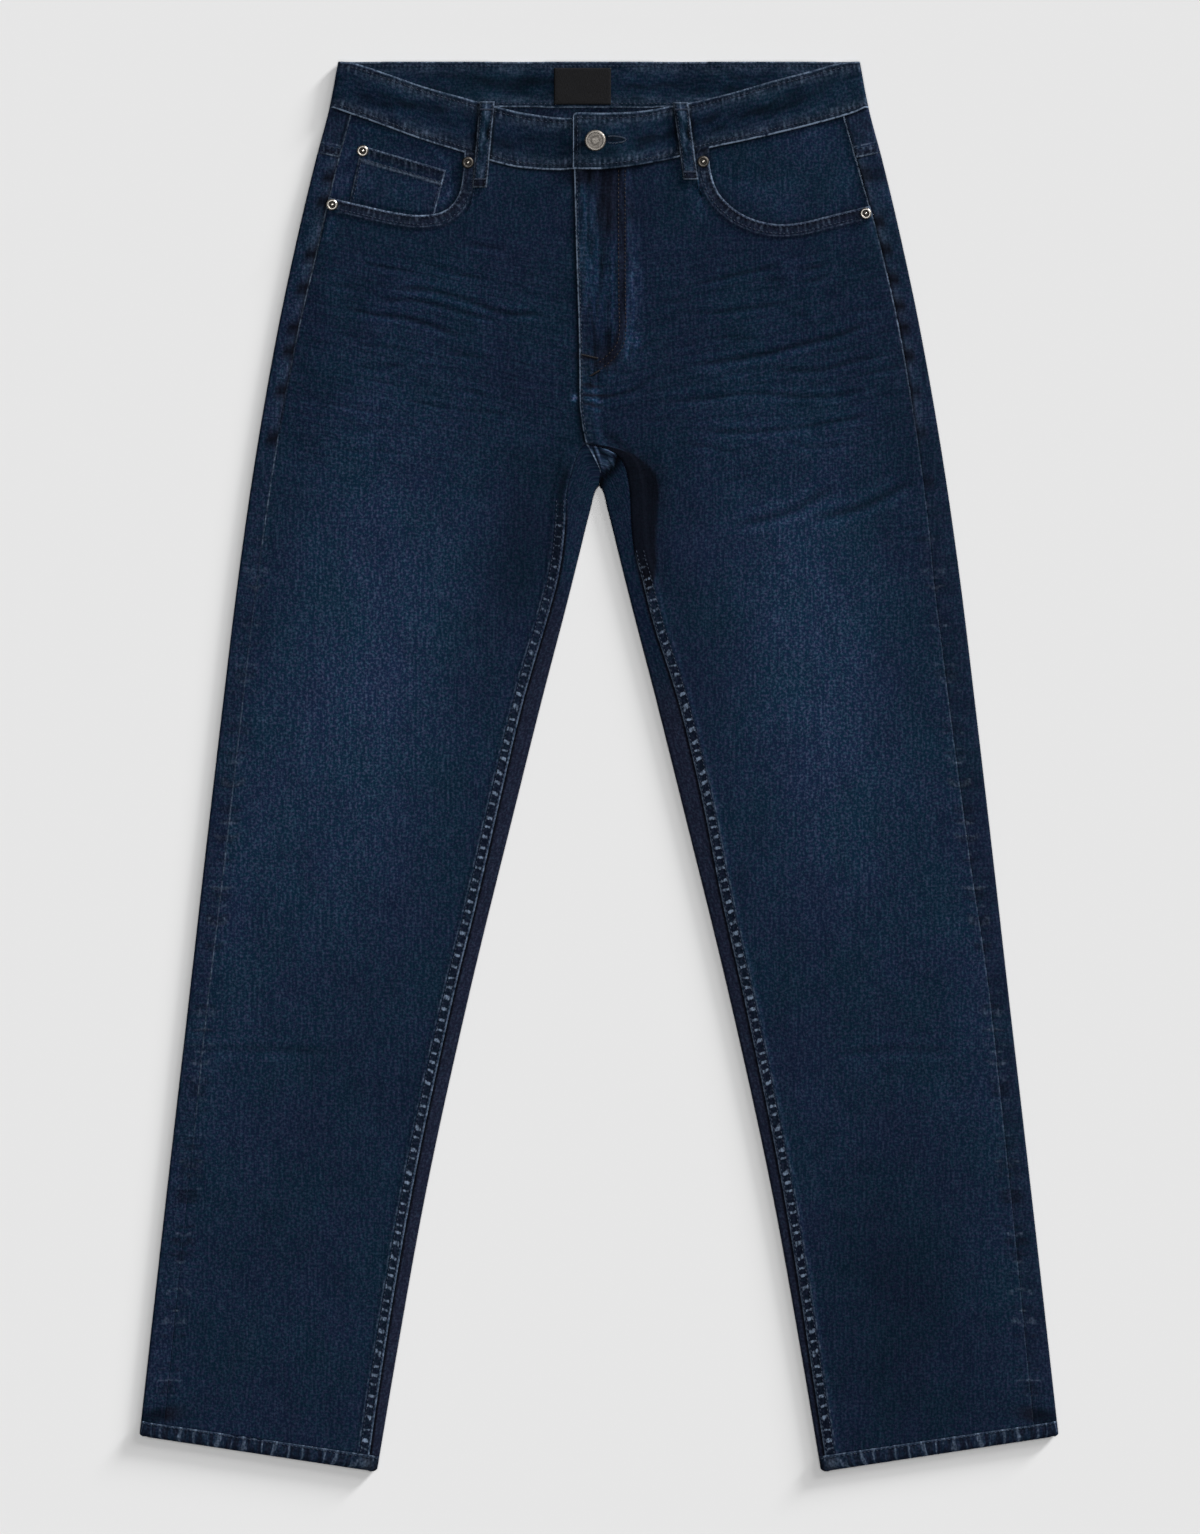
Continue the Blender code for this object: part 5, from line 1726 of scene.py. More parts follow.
        tone = PLAN.tone(x, drop) * (1 - 0.6 * PLAN.band_shadow(side, reach, drop))
        plum = PLAN.plum_lean(x, drop) + 0.4 * by_opening * plateau(opening, OPENING_BAND, BAND_FALL)
        if left:
            stitched = PLAN.fly_distance(x, drop)
            between = np.where(below, 0.0, plateau(np.abs(stitched + 2.4), 2.2, 1.8))
            between = between * falling(drop, 248.0, 10.0) * (0.4 + 0.6 * rising(drop, 110.0, 40.0))
            sway = 0.8 * PLAN.relief.ladder(drop, 41.0, 0)
            ridge = bell(stitched - 6.4 + sway, 1.2) + 0.8 * bell(stitched - 11.0 - sway, 1.1)
            ridge = ridge * rising(drop, 120.0, 60.0) * falling(drop, 246.0, 12.0)
            # The fold beside the left inseam is painted in shadow, which also leans to plum.
            fold = PLAN.crotch_fold_shadow(inseam, drop)
            tone = tone * (1 - 0.32 * between) * (1 + 0.75 * ridge) * (1 - 0.74 * fold)
            plum = plum + 0.7 * between + 0.7 * fold
            made.mark(streaks=np.where(below, 0.0, plateau(stitched, 0.0, 12.0)))
        else:
            high = rising(drop, 316.0, 16.0) * falling(drop, 440.0, 60.0) * below
            # Painted shadow that the fly's edge casts on the right panel, just beside it.
            tone = tone * (1 - 0.6 * bell(x - PLAN.fly_line(drop) + 0.6, 2.0) * ~below)
            tone = tone * (1 - 0.5 * bell(inseam - 4.6, 3.4) * high)
        made.mark(tone=tone, plum=np.clip(plum, 0.0, 1.0))
        return made

    def build(self) -> None:
        """Makes and dresses the panel."""
        word = self.side.word
        hand_in_cloth(self.cloth(), "front_" + word, Finish.DENIM, WALL, ["back_" + word])


def fold_arc(height: float, steps: int) -> list[tuple[float, float]]:
    """Points round a fold as (distance in from its outer edge, height), from the top to the table.

    Args:
        height: the fold's height.
        steps: how many stretches it has.

    Returns:
        Its points.
    """
    half = height / 2
    turns = [math.pi * n / steps for n in range(steps + 1)]
    return [(half - half * math.sin(t), half + half * math.cos(t)) for t in turns]


OUTER_SHARES = (0.0, 0.03, 0.08, 0.16, 0.27, 0.4, 0.55, 0.7, 0.85)  # columns by the outseam
ARC_STEPS = 8


def raised(z: Array | float) -> Array | float:
    """The height of cloth near the table, raised so that its stitches lie above it."""
    return z + UNDER * (1 - z / FOLD_HEIGHT)


@dataclass
class Section:
    """Columns of a back piece, gathered one by one for all its rows."""

    reach: list[Array] = field(default_factory=list)
    drop: list[Array] = field(default_factory=list)
    table: list[Array] = field(default_factory=list)

    def add(self, reach: Array, drop: Array, height: Array | float | None = None) -> None:
        """Adds a column, in the upper layer where it has no height.

        Args:
            reach: the points' reach.
            drop: the points' drop.
            height: the points' height over the table, or none in the upper layer.
        """
        shape = np.broadcast(reach, drop).shape
        self.reach.append(np.broadcast_to(reach, shape).astype(float))
        self.drop.append(np.broadcast_to(drop, shape).astype(float))
        self.table.append(np.full(shape, np.nan) if height is None else np.broadcast_to(height, shape))

    def outer(self, inset: Array, fold: Array, outer: Array, line: Callable[[Array], Array]) -> None:
        """Adds the columns from the outseam round the side fold to the table.

        Args:
            inset: how far in from the side fold the outseam is.
            fold: the side fold's reach.
            outer: the rows' drops at the fold.
            line: a row's drops in the upper layer, by reach.
        """
        for share in OUTER_SHARES:
            distance = mix(inset, FOLD_HEIGHT / 2, share)
            drop = line(fold - distance)
            self.add(PLAN.side_fold(drop) - distance, drop)
        for distance, z in fold_arc(FOLD_HEIGHT, ARC_STEPS):
            self.add(fold - distance, outer, z)

    def across(self, reach: Array, drop: Array, steps: int) -> None:
        """Adds columns on the table from the last one towards a place, which is left out.

        Args:
            reach: the place's reach.
            drop: the place's drop.
            steps: how many steps lead there.
        """
        first = self.reach[-1], self.drop[-1]
        for n in range(1, steps):
            self.add(mix(first[0], reach, n / steps), mix(first[1], drop, n / steps), 0.0)

    def arrays(self) -> tuple[Array, Array, Array]:
        """Reach, drop and table height with a row for each row."""
        return tuple(np.stack(np.broadcast_arrays(*a), axis=1) for a in (self.reach, self.drop, self.table))


@dataclass(frozen=True)
class BackPanel:
    """A back leg panel, which lies on the table and wraps round both folds."""

    side: Side
    seat_rows: int = 60
    table_steps: int = 16
    inseam_shares: tuple[float, ...] = (
        0.07, 0.14, 0.22, 0.3, 0.38, 0.46, 0.54, 0.62, 0.7, 0.78, 0.86, 0.93, 0.97, 1.0,
    )
    gap: float = BUTT_GAP
    first_leg_drop: float = 308.0
    crotch_rows: int = 20
    seat_seam: Points = ((0.6, 328.0), (-3.6, 317.6))
    knob: tuple[float, float, float, float] = (2.6, 314.6, 11.6, 13.0)  # its middle and its half sizes
    knob_shadow: Points = ((15.8, 312.0), (13.8, 320.6), (8.6, 327.4), (3.8, 332.0), (1.2, 338.0))

    def _seat(self) -> Section:
        """The rows above the crotch.

        Returns:
            The rows.
        """
        share = np.arange(self.seat_rows) / self.seat_rows
        outer = mix(YOKE_SIDE_DROP + self.gap, CROTCH_OUTER_DROP, share)
        centre = mix(YOKE_CENTRE_DROP + self.gap, CROTCH_DROP - FOLD_HEIGHT / 2, share)
        fold = PLAN.side_fold(outer)
        near_yoke = np.clip(1 - share * 12, 0.0, 1.0)
        inset = PLAN.outseam[self.side](outer) - self.gap

        def line(reach: Array) -> Array:
            """The drop at a reach, which follows the yoke's seam at the top."""
            return mix(outer, PLAN.yoke_seam(reach) + self.gap, near_yoke)

        made = Section()
        made.outer(inset, fold, outer, line)
        made.across(np.full(share.shape, self.gap), centre, self.table_steps)
        made.add(np.full(share.shape, self.gap), centre, 0.0)
        for _ in range(ARC_STEPS + len(self.inseam_shares)):
            made.add(made.reach[-1], made.drop[-1], 0.0)
        return made

    def _leg(self, at: Station, crotch: bool) -> Section:
        """Rows of the leg, or the one at the crotch, where the seat seam comes round to the front.

        Args:
            at: the rows' drops.
            crotch: whether this is the row at the crotch.

        Returns:
            The rows.
        """
        side, inseam = self.side, PLAN.inseam[self.side]
        edge, fold = PLAN.inner_edge(side, at.seam), PLAN.side_fold(at.outer)
        slope = (at.outer - at.seam) / (fold - edge)
        made = Section()
        inset = PLAN.outseam[side](at.outer) - self.gap
        made.outer(inset, fold, at.outer, lambda reach: at.seam + (reach - edge) * slope)
        if crotch:
            reach, way = np.full(at.fold.shape, self.gap), (0.0, -1.0)
        else:
            reach = PLAN.inner_fold(at.fold)
            lean = PLAN.inner_fold(at.fold + 0.5) - PLAN.inner_fold(at.fold - 0.5)
            size = np.hypot(1.0, lean)
            way = (1 / size, -lean / size)
        turns = reversed(fold_arc(FOLD_HEIGHT, ARC_STEPS))
        arc = [(reach + way[0] * d, at.fold + way[1] * d, z) for d, z in turns]
        made.across(arc[0][0], arc[0][1], self.table_steps)
        for column in arc:
            made.add(*column)
        start = arc[-1]
        if crotch:
            xs = [side * start[0][0]] + [x for x, _ in self.seat_seam] + [CROTCH_SEAM[0]]
            drops = [start[1][0]] + [d for _, d in self.seat_seam] + [CROTCH_TOP + self.gap]
            curve = Curve(drops[::-1], xs[::-1])
            for share in self.inseam_shares:
                drop = mix(drops[0], drops[-1], share)
                away = side * self.gap * (1 - share)
                made.add(side * (curve(np.array([drop])) + away), np.array([drop]))
            return made
        last = inseam(at.seam) - self.gap, at.seam + self.gap
        for share in self.inseam_shares:
            made.add(mix(start[0], last[0], share), mix(start[1], last[1], share))
        return made

    def cloth(self) -> tuple[Cloth, Array]:
        """The panel's points and finish, and which faces it has.

        Returns:
            The cloth, and whether it has each face.
        """
        whole = Leg(self.side).stations()
        crotch = self._leg(Station(*(a[:1] for a in whole)), True).arrays()
        leg = self._leg(Leg(self.side).stations(self.first_leg_drop), False).arrays()
        seat = self._seat().arrays()
        share = (np.arange(1, self.crotch_rows) / self.crotch_rows)[:, None]
        between = tuple(mix(a[:1], b[:1], share) for a, b in zip(crotch, leg))
        reach, drop, table = (np.concatenate(parts) for parts in zip(seat, crotch, between, leg))
        x = self.side * reach
        on_top = np.isnan(table)
        z = raised(np.where(on_top, 0.0, table)) + PLAN.lift(x, drop)
        upper = PLAN.upper(x, drop) + PLAN.worn(x, drop)
        z = np.where(on_top, upper, z)
        made = Cloth.blank(x, drop, z)
        made.weave = np.stack([reach[:, :1] + lengths(reach, drop, z), drop], axis=-1)
        outseam = np.abs(PLAN.outer_edge(self.side, drop) - reach)
        inseam = np.abs(reach - PLAN.inner_edge(self.side, drop))
        below = drop > CROTCH_TOP
        top = on_top | (z > FOLD_HEIGHT * 0.6)
        sunk = 0.06 + 0.2 * PLAN.on_hip(drop)
        edge_drop = (sunk * bell(outseam, 1.0) + np.where(below, 0.3 * bell(inseam, 1.0), 0.0)) * on_top
        made.z = z - edge_drop
        strip = top & (reach > PLAN.outer_edge(self.side, drop) - 2.0)
        inner = top & below & ~strip
        creased = sum(bell(drop - at, 5.6) for at in STRIP_CREASES[self.side]) * plateau(outseam, 6.0, 5.0)
        softer = 0.5 * rising(drop, 225.0, 60.0) * (self.side is Side.LEFT)
        creased = np.clip(creased, 0.0, 1.0) * (1 - softer)
        patch = PLAN.relief.drift(x * 0.5, drop, 15.0, 1)
        above = falling(drop, 320.0, 60.0)
        streak = bell(outseam - 3.4, 3.2) * (1 - creased) * above
        between = bell(outseam - 5.0, 5.0) * above
        # The strip on the wearer's right is painted lighter than the left one, against the shade it gets as
        # it turns away from the low light.
        depth = 1.3 if self.side is Side.RIGHT else 0.95
        tone = (depth + 0.12 * patch + 0.3 * between) * (1 - 0.8 * creased) * PLAN.patched(x, drop)
        inner_plum = 0.85 * rising(drop, 400.0 if self.side is Side.RIGHT else 470.0, 60.0)
        inner_tone = 1.0 + 0.05 * rising(drop, 420.0, 200.0)
        # Painted shade where the cloth turns round the side fold and, below the crotch, the inner fold.
        fold_shade = bell(PLAN.side_fold(drop) - reach, 1.3) + below * bell(reach - PLAN.inner_fold(drop), 1.3)
        upper_strip = PLAN.on_hip(drop)
        worn, line = 0.06 * streak * (1 + patch), 0.0
        away = np.select([strip, inner], [outseam, inseam], 40.0)
        if self.side is Side.LEFT:
            folds = 0.5 + 0.5 * np.sin((x - 0.35 * (drop - 305.0)) * math.tau / 4.6 + 0.6)
            from_knob = np.hypot((x - self.knob[0]) / self.knob[2], (drop - self.knob[1]) / self.knob[3])
            puffed = ease((1.0 - from_knob) * 4.0) * top * ~strip
            made.z = made.z + 0.9 * puffed * (0.5 + 0.5 * folds)
            shadow, _ = Route(self.knob_shadow, smooth=1.5).measure(x, drop)
            # The knob's pleats are painted light on their crests and dark in their troughs, and its shadow
            # is painted beside it.
            inner_tone = mix(inner_tone * (1 - 0.92 * bell(shadow, 4.6)), 0.35 + 2.0 * folds, puffed)
            seat, _ = Route((*self.seat_seam, CROTCH_SEAM)).measure(x, drop)
            by_seat = (seat < 6.0) & (drop < 329.0) & ~strip
            away, line = np.where(by_seat, seat, away), np.where(by_seat, 0.75, 0.0)
            worn = worn + 0.2 * puffed * folds * folds
        made.sewn(away, drop)
        # Painted shade beside the outseam strip and beside the inseam.
        edge_shades = [0.1 + 0.5 * upper_strip, 1.35 * PLAN.started(self.side, drop)]
        made.mark(
            line=line, worn=worn,
            tone=np.select([strip, inner], [tone, inner_tone], 1.0) * (1 - 0.35 * fold_shade),
            pressed=np.where(strip, table_at(OUTSEAM_BLOTCHES, drop), 0.0),
            brink=np.select([strip, inner], edge_shades, 0.0),
            plum=np.select([strip, inner], [0.1 + 0.6 * creased, inner_plum], 0.2),
            crinkle=np.where(strip, 0.5, 0.15),
        )
        rows, columns = reach.shape
        keep = np.ones((rows - 1, columns - 1), bool)
        keep[: self.seat_rows, columns - 1 - ARC_STEPS - len(self.inseam_shares) :] = False
        return made, keep

    def build(self) -> None:
        """Makes and dresses the panel."""
        (cloth, keep), word = self.cloth(), self.side.word
        hand_in_cloth(cloth, "back_" + word, Finish.DENIM, WALL, ["back_pocket_" + word], keep=keep)


@dataclass(frozen=True)
class Yoke:
    """Half of the back yoke, whose end comes round to the front beside the pocket."""

    side: Side
    rows: int = 24
    table_steps: int = 40
    tuck: float = 0.5  # the yoke's top runs this far under the waistband
    gap: float = BUTT_GAP

    def build(self) -> None:
        """Makes and dresses the yoke."""
        side, gap = self.side, self.gap
        share = np.linspace(0.0, 1.0, self.rows)
        head_outer, foot_outer = BAND_SIDE_DROP - self.tuck, YOKE_SIDE_DROP - gap
        outer = mix(head_outer, foot_outer, share)
        centre = mix(head_outer, YOKE_CENTRE_DROP - gap, share)

        def line(reach: Array) -> Array:
            """The drop at a reach, between the waistband's foot and the yoke's seam."""
            return mix(PLAN.band_foot[side](reach) - self.tuck, PLAN.yoke_seam(reach) - gap, share)

        made = Section()
        made.outer(PLAN.outseam[side](outer) - gap, PLAN.side_fold(outer), outer, line)
        made.across(np.full(share.shape, gap), centre, self.table_steps)
        made.add(np.full(share.shape, gap), centre, 0.0)
        reach, drop, table = made.arrays()
        x = side * reach
        on_top = np.isnan(table)
        z = raised(np.where(on_top, 0.0, table)) + PLAN.lift(x, drop)
        seam = np.abs(drop - PLAN.yoke_seam(reach))
        on_band = 0.5 * plateau(seam, 8.0, 2.0)
        z = np.where(on_top, PLAN.upper(x, drop) + on_band, z)
        cloth = Cloth.blank(x, drop, z)
        cloth.weave = np.stack([reach[:, :1] + lengths(reach, z), drop], axis=-1)
        outseam = np.abs(PLAN.outer_edge(side, drop) - reach)
        cloth.sewn(seam, x)
        on_band = plateau(seam, 8.5, 1.5) * on_top
        by_side = bell(outseam - 1.2, 1.0) * on_top
        shadow = PLAN.band_shadow(side, reach, drop) * on_top
        mottled = PLAN.relief.drift(2.0 * x, 2.0 * drop, 13.0, 1)
        cloth.mark(
            line=np.where(on_top, 1.0, 0.3), second=0.65, ribs=np.where(on_top, 1.5, 0.4), plum=0.3,
            tone=(1.1 + 0.3 * on_band + 0.2 * mottled) * (1 - 0.55 * by_side) * (1 - 0.6 * shadow),
        )
        hand_in_cloth(cloth, "yoke_" + side.word, Finish.DENIM, WALL)


@dataclass(frozen=True)
class Waistband:
    """The waistband: one strip from the hidden right end, round the back, to the buttoned left end."""

    rows: int = 27
    front_columns: int = 200
    back_columns: int = 240
    edge_shares: tuple[float, ...] = (0.0, 0.015, 0.035, 0.06)  # rows by each long edge
    corner: float = 4.0
    plain_foot: tuple[float, float] = (2.0, 60.0)  # beside the button the foot is hardly rubbed
    buttonhole: tuple[float, float, float, float] = (12.6, 62.8, 8.0, 1.7)  # its middle and its half sizes

    @property
    def arc(self) -> list[tuple[float, float]]:
        """Points round each side fold."""
        return fold_arc(BAND_HEIGHT, 10)

    def point(self, side: Side, reach: Array, share: Array, rise: Array | float = 0.0) -> tuple[Array, ...]:
        """Points of the band's front.

        Args:
            side: the half that they are on.
            reach: distance along the band from the centre.
            share: how far down from the top edge.
            rise: added height.

        Returns:
            x, drop and height.
        """
        top, foot = PLAN.band_top[side], PLAN.band_foot[side]
        bend = np.clip(self.corner - (reach - TAB_END_X), 0.0, self.corner) * (side is Side.LEFT)
        cut = self.corner - np.sqrt(self.corner**2 - bend**2)
        drop = mix(top(reach) + 0.8 * cut, foot(reach), share)
        spread = PLAN.side_fold(drop) / BAND_HALF
        out = reach * mix(1.0, spread, rising(reach, TAB_RAMP_END_X, BAND_SPREAD))
        return side * out, drop, BAND_HEIGHT + PLAN.lift(side * out, drop) + rise

    def _grid(self, share: Array) -> list[Array]:
        """x, drop and height of every point, before its edges sink.

        Args:
            share: how far down from the top edge each row is.

        Returns:
            Three arrays.
        """
        last = BAND_HALF - 12.0
        hidden = np.linspace(-UNDER_END_X, 0.0, 4, endpoint=False)
        right = np.concatenate([hidden, np.linspace(0.0, last, self.front_columns)])
        to_end = np.append(np.linspace(0.0, TAB_END_X + 1.4, 12)[1:], TAB_END_X + np.array([0.8, 0.35, 0.0]))
        left = np.concatenate([np.linspace(last, 0.0, self.front_columns), to_end])
        columns = [self.point(Side.RIGHT, np.full(share.shape, reach), share) for reach in right]
        drop = BAND_SIDE_DROP * share
        fold, half = PLAN.side_fold(drop), BAND_HEIGHT / 2
        arc = [(d, np.full(share.shape, z + UNDER * (1 - z / BAND_HEIGHT))) for d, z in self.arc]
        columns += [(-(fold - d), drop, z) for d, z in arc]
        for n in range(1, self.back_columns):
            x = mix(-1.0, 1.0, n / self.back_columns) * (fold - half)
            columns.append((x, drop, PLAN.lift(x, drop) + UNDER))
        columns += [(fold - d, drop, z) for d, z in reversed(arc)]
        for reach in left:
            at = np.full(share.shape, reach)
            columns.append(self.point(Side.LEFT, at, share, PLAN.tab_rise(at)))
        return [np.stack(parts, axis=1) for parts in zip(*columns)]

    def cloth(self) -> Cloth:
        """The band's points and finish.

        Returns:
            The cloth.
        """
        edge = np.array(self.edge_shares)
        between = np.linspace(0.09, 0.91, self.rows - 2 * len(edge))
        share = np.concatenate([edge, between, 1 - edge[::-1]])
        x, drop, z = self._grid(share)
        along = lengths(x, drop, z)[[self.rows // 2]] + 0 * x
        across = (share * BAND_SIDE_DROP)[:, None] + 0 * x
        from_edge = np.minimum(across, BAND_SIDE_DROP - across)
        front = z > BAND_HEIGHT * 0.7
        rolled = np.where(front & (across > from_edge), 0.22, 0.6)
        fall = rolled * bell(from_edge, 0.9) + 0.22 * bell(from_edge - 3.6, 1.2)
        ripple = PLAN.relief.ladder(along + 0.3 * across, 5.6, 1) * bell(from_edge - 3.5, 4.5)
        wave = PLAN.relief.ladder(along - 0.4 * across, 23.0, 2)
        outward = np.where(front, 1.0, -1.0) * (np.abs(z - BAND_HEIGHT / 2) > 1.5)
        shift = -fall + 0.14 * ripple + 0.12 * wave * front
        z = z + np.where(front, outward * shift, np.maximum(outward * shift, 0.0))
        made = Cloth.blank(x, drop, z)
        made.weave = np.stack([across, along], axis=-1)
        end = along.max() - along
        made.sewn(np.minimum(from_edge, end), along)
        mottled = PLAN.relief.drift(along, 2.2 * across, 22.0, 1)
        middle = bell(across - 0.5 * BAND_SIDE_DROP - 2.0 * wave, 9.0)
        folds = np.clip(PLAN.relief.drift(0.35 * along, 2.4 * across + 3.0 * wave, 17.0, 2) + 0.25, 0.0, 1.0)
        plain = (x > self.plain_foot[0]) & (x < self.plain_foot[1])
        at_foot = np.where(plain, 0.25, np.where(x > 0.0, 2.1, 1.4))
        line = np.where(across < 0.5 * BAND_SIDE_DROP, 0.5, at_foot)
        line = np.where(end < from_edge, 1.5, line)
        tone = np.where(front, 1.2, 1.1) * (1 + 0.17 * mottled)
        # The band is darker across its middle, with painted shade in its folds there.
        tone = tone * (1 - 0.22 * middle) * (1 - 0.55 * folds * middle)
        for row in BeltLoops().front:
            share = (drop - row.top_drop) / (row.foot_drop - row.top_drop)
            beside = np.abs(x - mix(row.top_x, row.foot_x, share)) - LOOP_WIDTH / 2
            # Painted shadow along both sides of each front belt loop.
            tone = tone * (1 - 0.7 * bell(beside - 0.7, 1.5) * front)
        hole_x, hole_drop, half_x, half_drop = self.buttonhole
        # The buttonhole's slit is painted dark as shade in the opening, and leans to plum.
        hole = np.exp(-(((x - hole_x) / half_x) ** 4) - ((drop - hole_drop) / half_drop) ** 4) * front
        made.mark(
            tone=tone * (1 - 0.6 * hole), line=np.where(front, line, 0.5), ribs=np.where(front, 1.2, 0.6),
            worn=0.045 * bell(from_edge - 6.0, 4.0) * (1 + mottled),
            # Painted shade beside the band's edges.
            brink=0.35, crinkle=0.35, plum=0.5 * hole,
        )
        return made

    def build(self) -> None:
        """Makes and dresses the band."""
        hand_in_cloth(self.cloth(), "waistband", Finish.DOUBLE, BAND_WALL, ["belt_loop_back_centre"])


@dataclass(frozen=True)
class FrontPocket:
    """What shows inside a front pocket's opening: its facing and, on the right, the coin pocket."""

    side: Side
    columns: int = 72
    rows: int = 48
    facing_corner: tuple[float, float] = (-0.75, 0.5)
    coin_top: Points = ((190.0, 67.0), (122.4, 87.0))
    coin_foot: tuple[float, float] = (200.0, 131.8)
    coin_columns: int = 40
    coin_rows: int = 34
    top_gap: float = -0.5
    bag_seam: Points = (
        (197.6, 51.2), (171.2, 57.6), (143.2, 64.8), (128.8, 72.8), (121.6, 84.8), (119.0, 102.0),
        (126.0, 112.0),
    )

    def facing(self) -> None:
        """Makes and dresses the facing."""
        side, route = self.side, PLAN.openings[self.side]
        under = OPENING_BAND - SEAM_GAP
        share = np.linspace(0.0, 1.0, self.columns + 1)
        way = mix(route.inward(share), np.array(self.facing_corner), rising(share, 0.8, 0.2)[:, None])
        points = route.at_share(share)
        foot_reach, foot_drop = (points + way * under).T
        inner = points[-1][0] - under
        outer = float(PLAN.outer_edge(side, PLAN.band_foot[side](PLAN.outer_edge(side, BAND_SIDE_DROP))))
        head_reach = mix(outer, inner, share)
        head_drop = PLAN.band_foot[side](head_reach) + self.top_gap
        down = (np.linspace(0.0, 1.0, self.rows + 1) ** 1.25)[:, None]
        reach, drop = mix(head_reach, foot_reach, down), mix(head_drop, foot_drop, down)
        reach[:, 0] = PLAN.outer_edge(side, drop[:, 0])
        x = side * reach
        sag = 0.18 * PLAN.relief.drift(x, drop, 30.0)
        cloth = Cloth.blank(x, drop, PLAN.upper(x, drop) - WALL - LAYER_GAP + sag)
        away, _ = route.measure(reach, drop)
        bag, _ = Route(self.bag_seam, smooth=3.0).measure(reach, drop)
        right = side is Side.RIGHT
        bag = bag + 0.5 * PLAN.relief.drift(x, drop, 14.0, 2)
        depth = (1.22 if right else 1.18) + bell(bag, 1.9) * (0.5 if right else 0.12)
        # Painted shade where the facing runs under the opening's edge, and painted shadow under the
        # waistband.
        tone = depth * (1 - 0.4 * bell(away, 3.0)) * (1 - 0.6 * PLAN.band_shadow(side, reach, drop))
        tone = tone * (1 + 0.12 * PLAN.relief.drift(x, drop, 24.0, 1))
        cloth.sewn(PLAN.outer_edge(side, drop) - reach, drop)
        cloth.mark(tone=tone, crinkle=0.3, line=0.7 if right else 1.8)
        name = "denim_facing_" + side.word
        hand_in_cloth(cloth, "pocket_facing_" + side.word, Finish.DENIM, WALL, name=name)

    def coin_pocket(self) -> None:
        """Makes and dresses the coin pocket."""
        route = PLAN.openings[Side.RIGHT]
        share = np.linspace(0.0, 1.0, self.coin_columns)
        (x0, d0), (x1, d1) = self.coin_top
        head_reach, head_drop = mix(x0, x1, share), mix(d0, d1, share)
        foot_reach = mix(*self.coin_foot, share)
        line = route.points[np.argsort(route.points[:, 0])]
        line = line[line[:, 1] > 90.0]
        foot_drop = np.interp(foot_reach, line[:, 0], line[:, 1]) + 1.2
        down = np.concatenate([[0.0, 0.012, 0.03], np.linspace(0.06, 1.0, self.coin_rows)])[:, None]
        reach, drop = mix(head_reach, foot_reach, down), mix(head_drop, foot_drop, down)
        left, right = mix(x0, self.coin_foot[0], down), mix(x1, self.coin_foot[1], down)
        side_away = np.minimum(left - reach, reach - right)
        top_away = (drop - mix(d0, d1, (x0 - reach) / (x0 - x1))) * 0.96
        hem = 0.35 * plateau(top_away, 11.0, 2.0)
        fall = 0.6 * bell(side_away, 1.0) + 0.6 * bell(top_away, 1.0)
        x = -reach
        by_seam = bell(np.minimum(side_away, top_away) - 3.0, 4.0)
        pucker = 0.1 * PLAN.relief.ladder(drop + reach, 7.0) * by_seam
        below = 0.9 * rising(route.measure(reach, drop)[0], 0.5, 3.0) - 0.9
        z = PLAN.upper(x, drop) - 0.4 + hem - fall + pucker + below * (drop > 95.0)
        cloth = Cloth.blank(x, drop, z)
        cloth.sewn(np.minimum(top_away, side_away), np.where(top_away < side_away, reach, drop))
        by_top = top_away < side_away
        left_side = bell(left - reach - 4.0, 3.0) * (1 + PLAN.relief.drift(2.0 * x, drop, 9.0, 1))
        tone = 1.05 + 0.15 * bell(top_away - 24.0, 12.0) - 0.2 * bell(top_away - 5.5, 3.0) + 0.3 * left_side
        tone = tone * (1 + 0.12 * PLAN.relief.drift(x, drop, 12.0, 2))
        cloth.mark(
            tone=tone, worn=0.75 * bell(top_away - 11.5, 0.75), line=np.where(by_top, 0.34, 0.5),
            # Painted shade beside the coin pocket's edges.
            ribs=np.where(by_top, 1.0, 0.35), crinkle=0.3, brink=0.3,
        )
        hand_in_cloth(cloth, "coin_pocket", Finish.DENIM, WALL, ["denim_facing_right"])


@dataclass(frozen=True)
class BackPocket:
    """A patch pocket on the back, flat on the table, with a pointed foot."""

    side: Side
    columns: int = 48
    rows: int = 52

    def build(self) -> None:
        """Makes and dresses the pocket."""
        share = np.linspace(0.0, 1.0, self.rows + 1)[:, None]
        across = np.linspace(-1.0, 1.0, self.columns + 1)[None, :]
        half = mix(*BACK_POCKET_WIDTHS, share) / 2
        x = self.side * BACK_POCKET_X + half * across
        drop = BACK_POCKET_TOP + (BACK_POCKET_HEIGHT - BACK_POCKET_POINT) * share
        drop = drop + BACK_POCKET_POINT * share * (1 - np.abs(across))
        edge = np.minimum(half * (1 - np.abs(across)), drop - BACK_POCKET_TOP)
        foot = BACK_POCKET_TOP + BACK_POCKET_HEIGHT - BACK_POCKET_POINT * np.abs(across) - drop
        edge = np.minimum(edge, foot)
        z = UNDER + 0.5 * bell(edge, 0.9) + 0 * x
        cloth = Cloth.blank(x, drop, z)
        cloth.sewn(edge, drop + x)
        cloth.mark(tone=1.1, worn=0.3 * bell(drop - BACK_POCKET_TOP - 20.0, 1.0), line=0.6, ribs=0.5)
        hand_in_cloth(cloth, "back_pocket_" + self.side.word, Finish.DENIM, WALL, under=True)


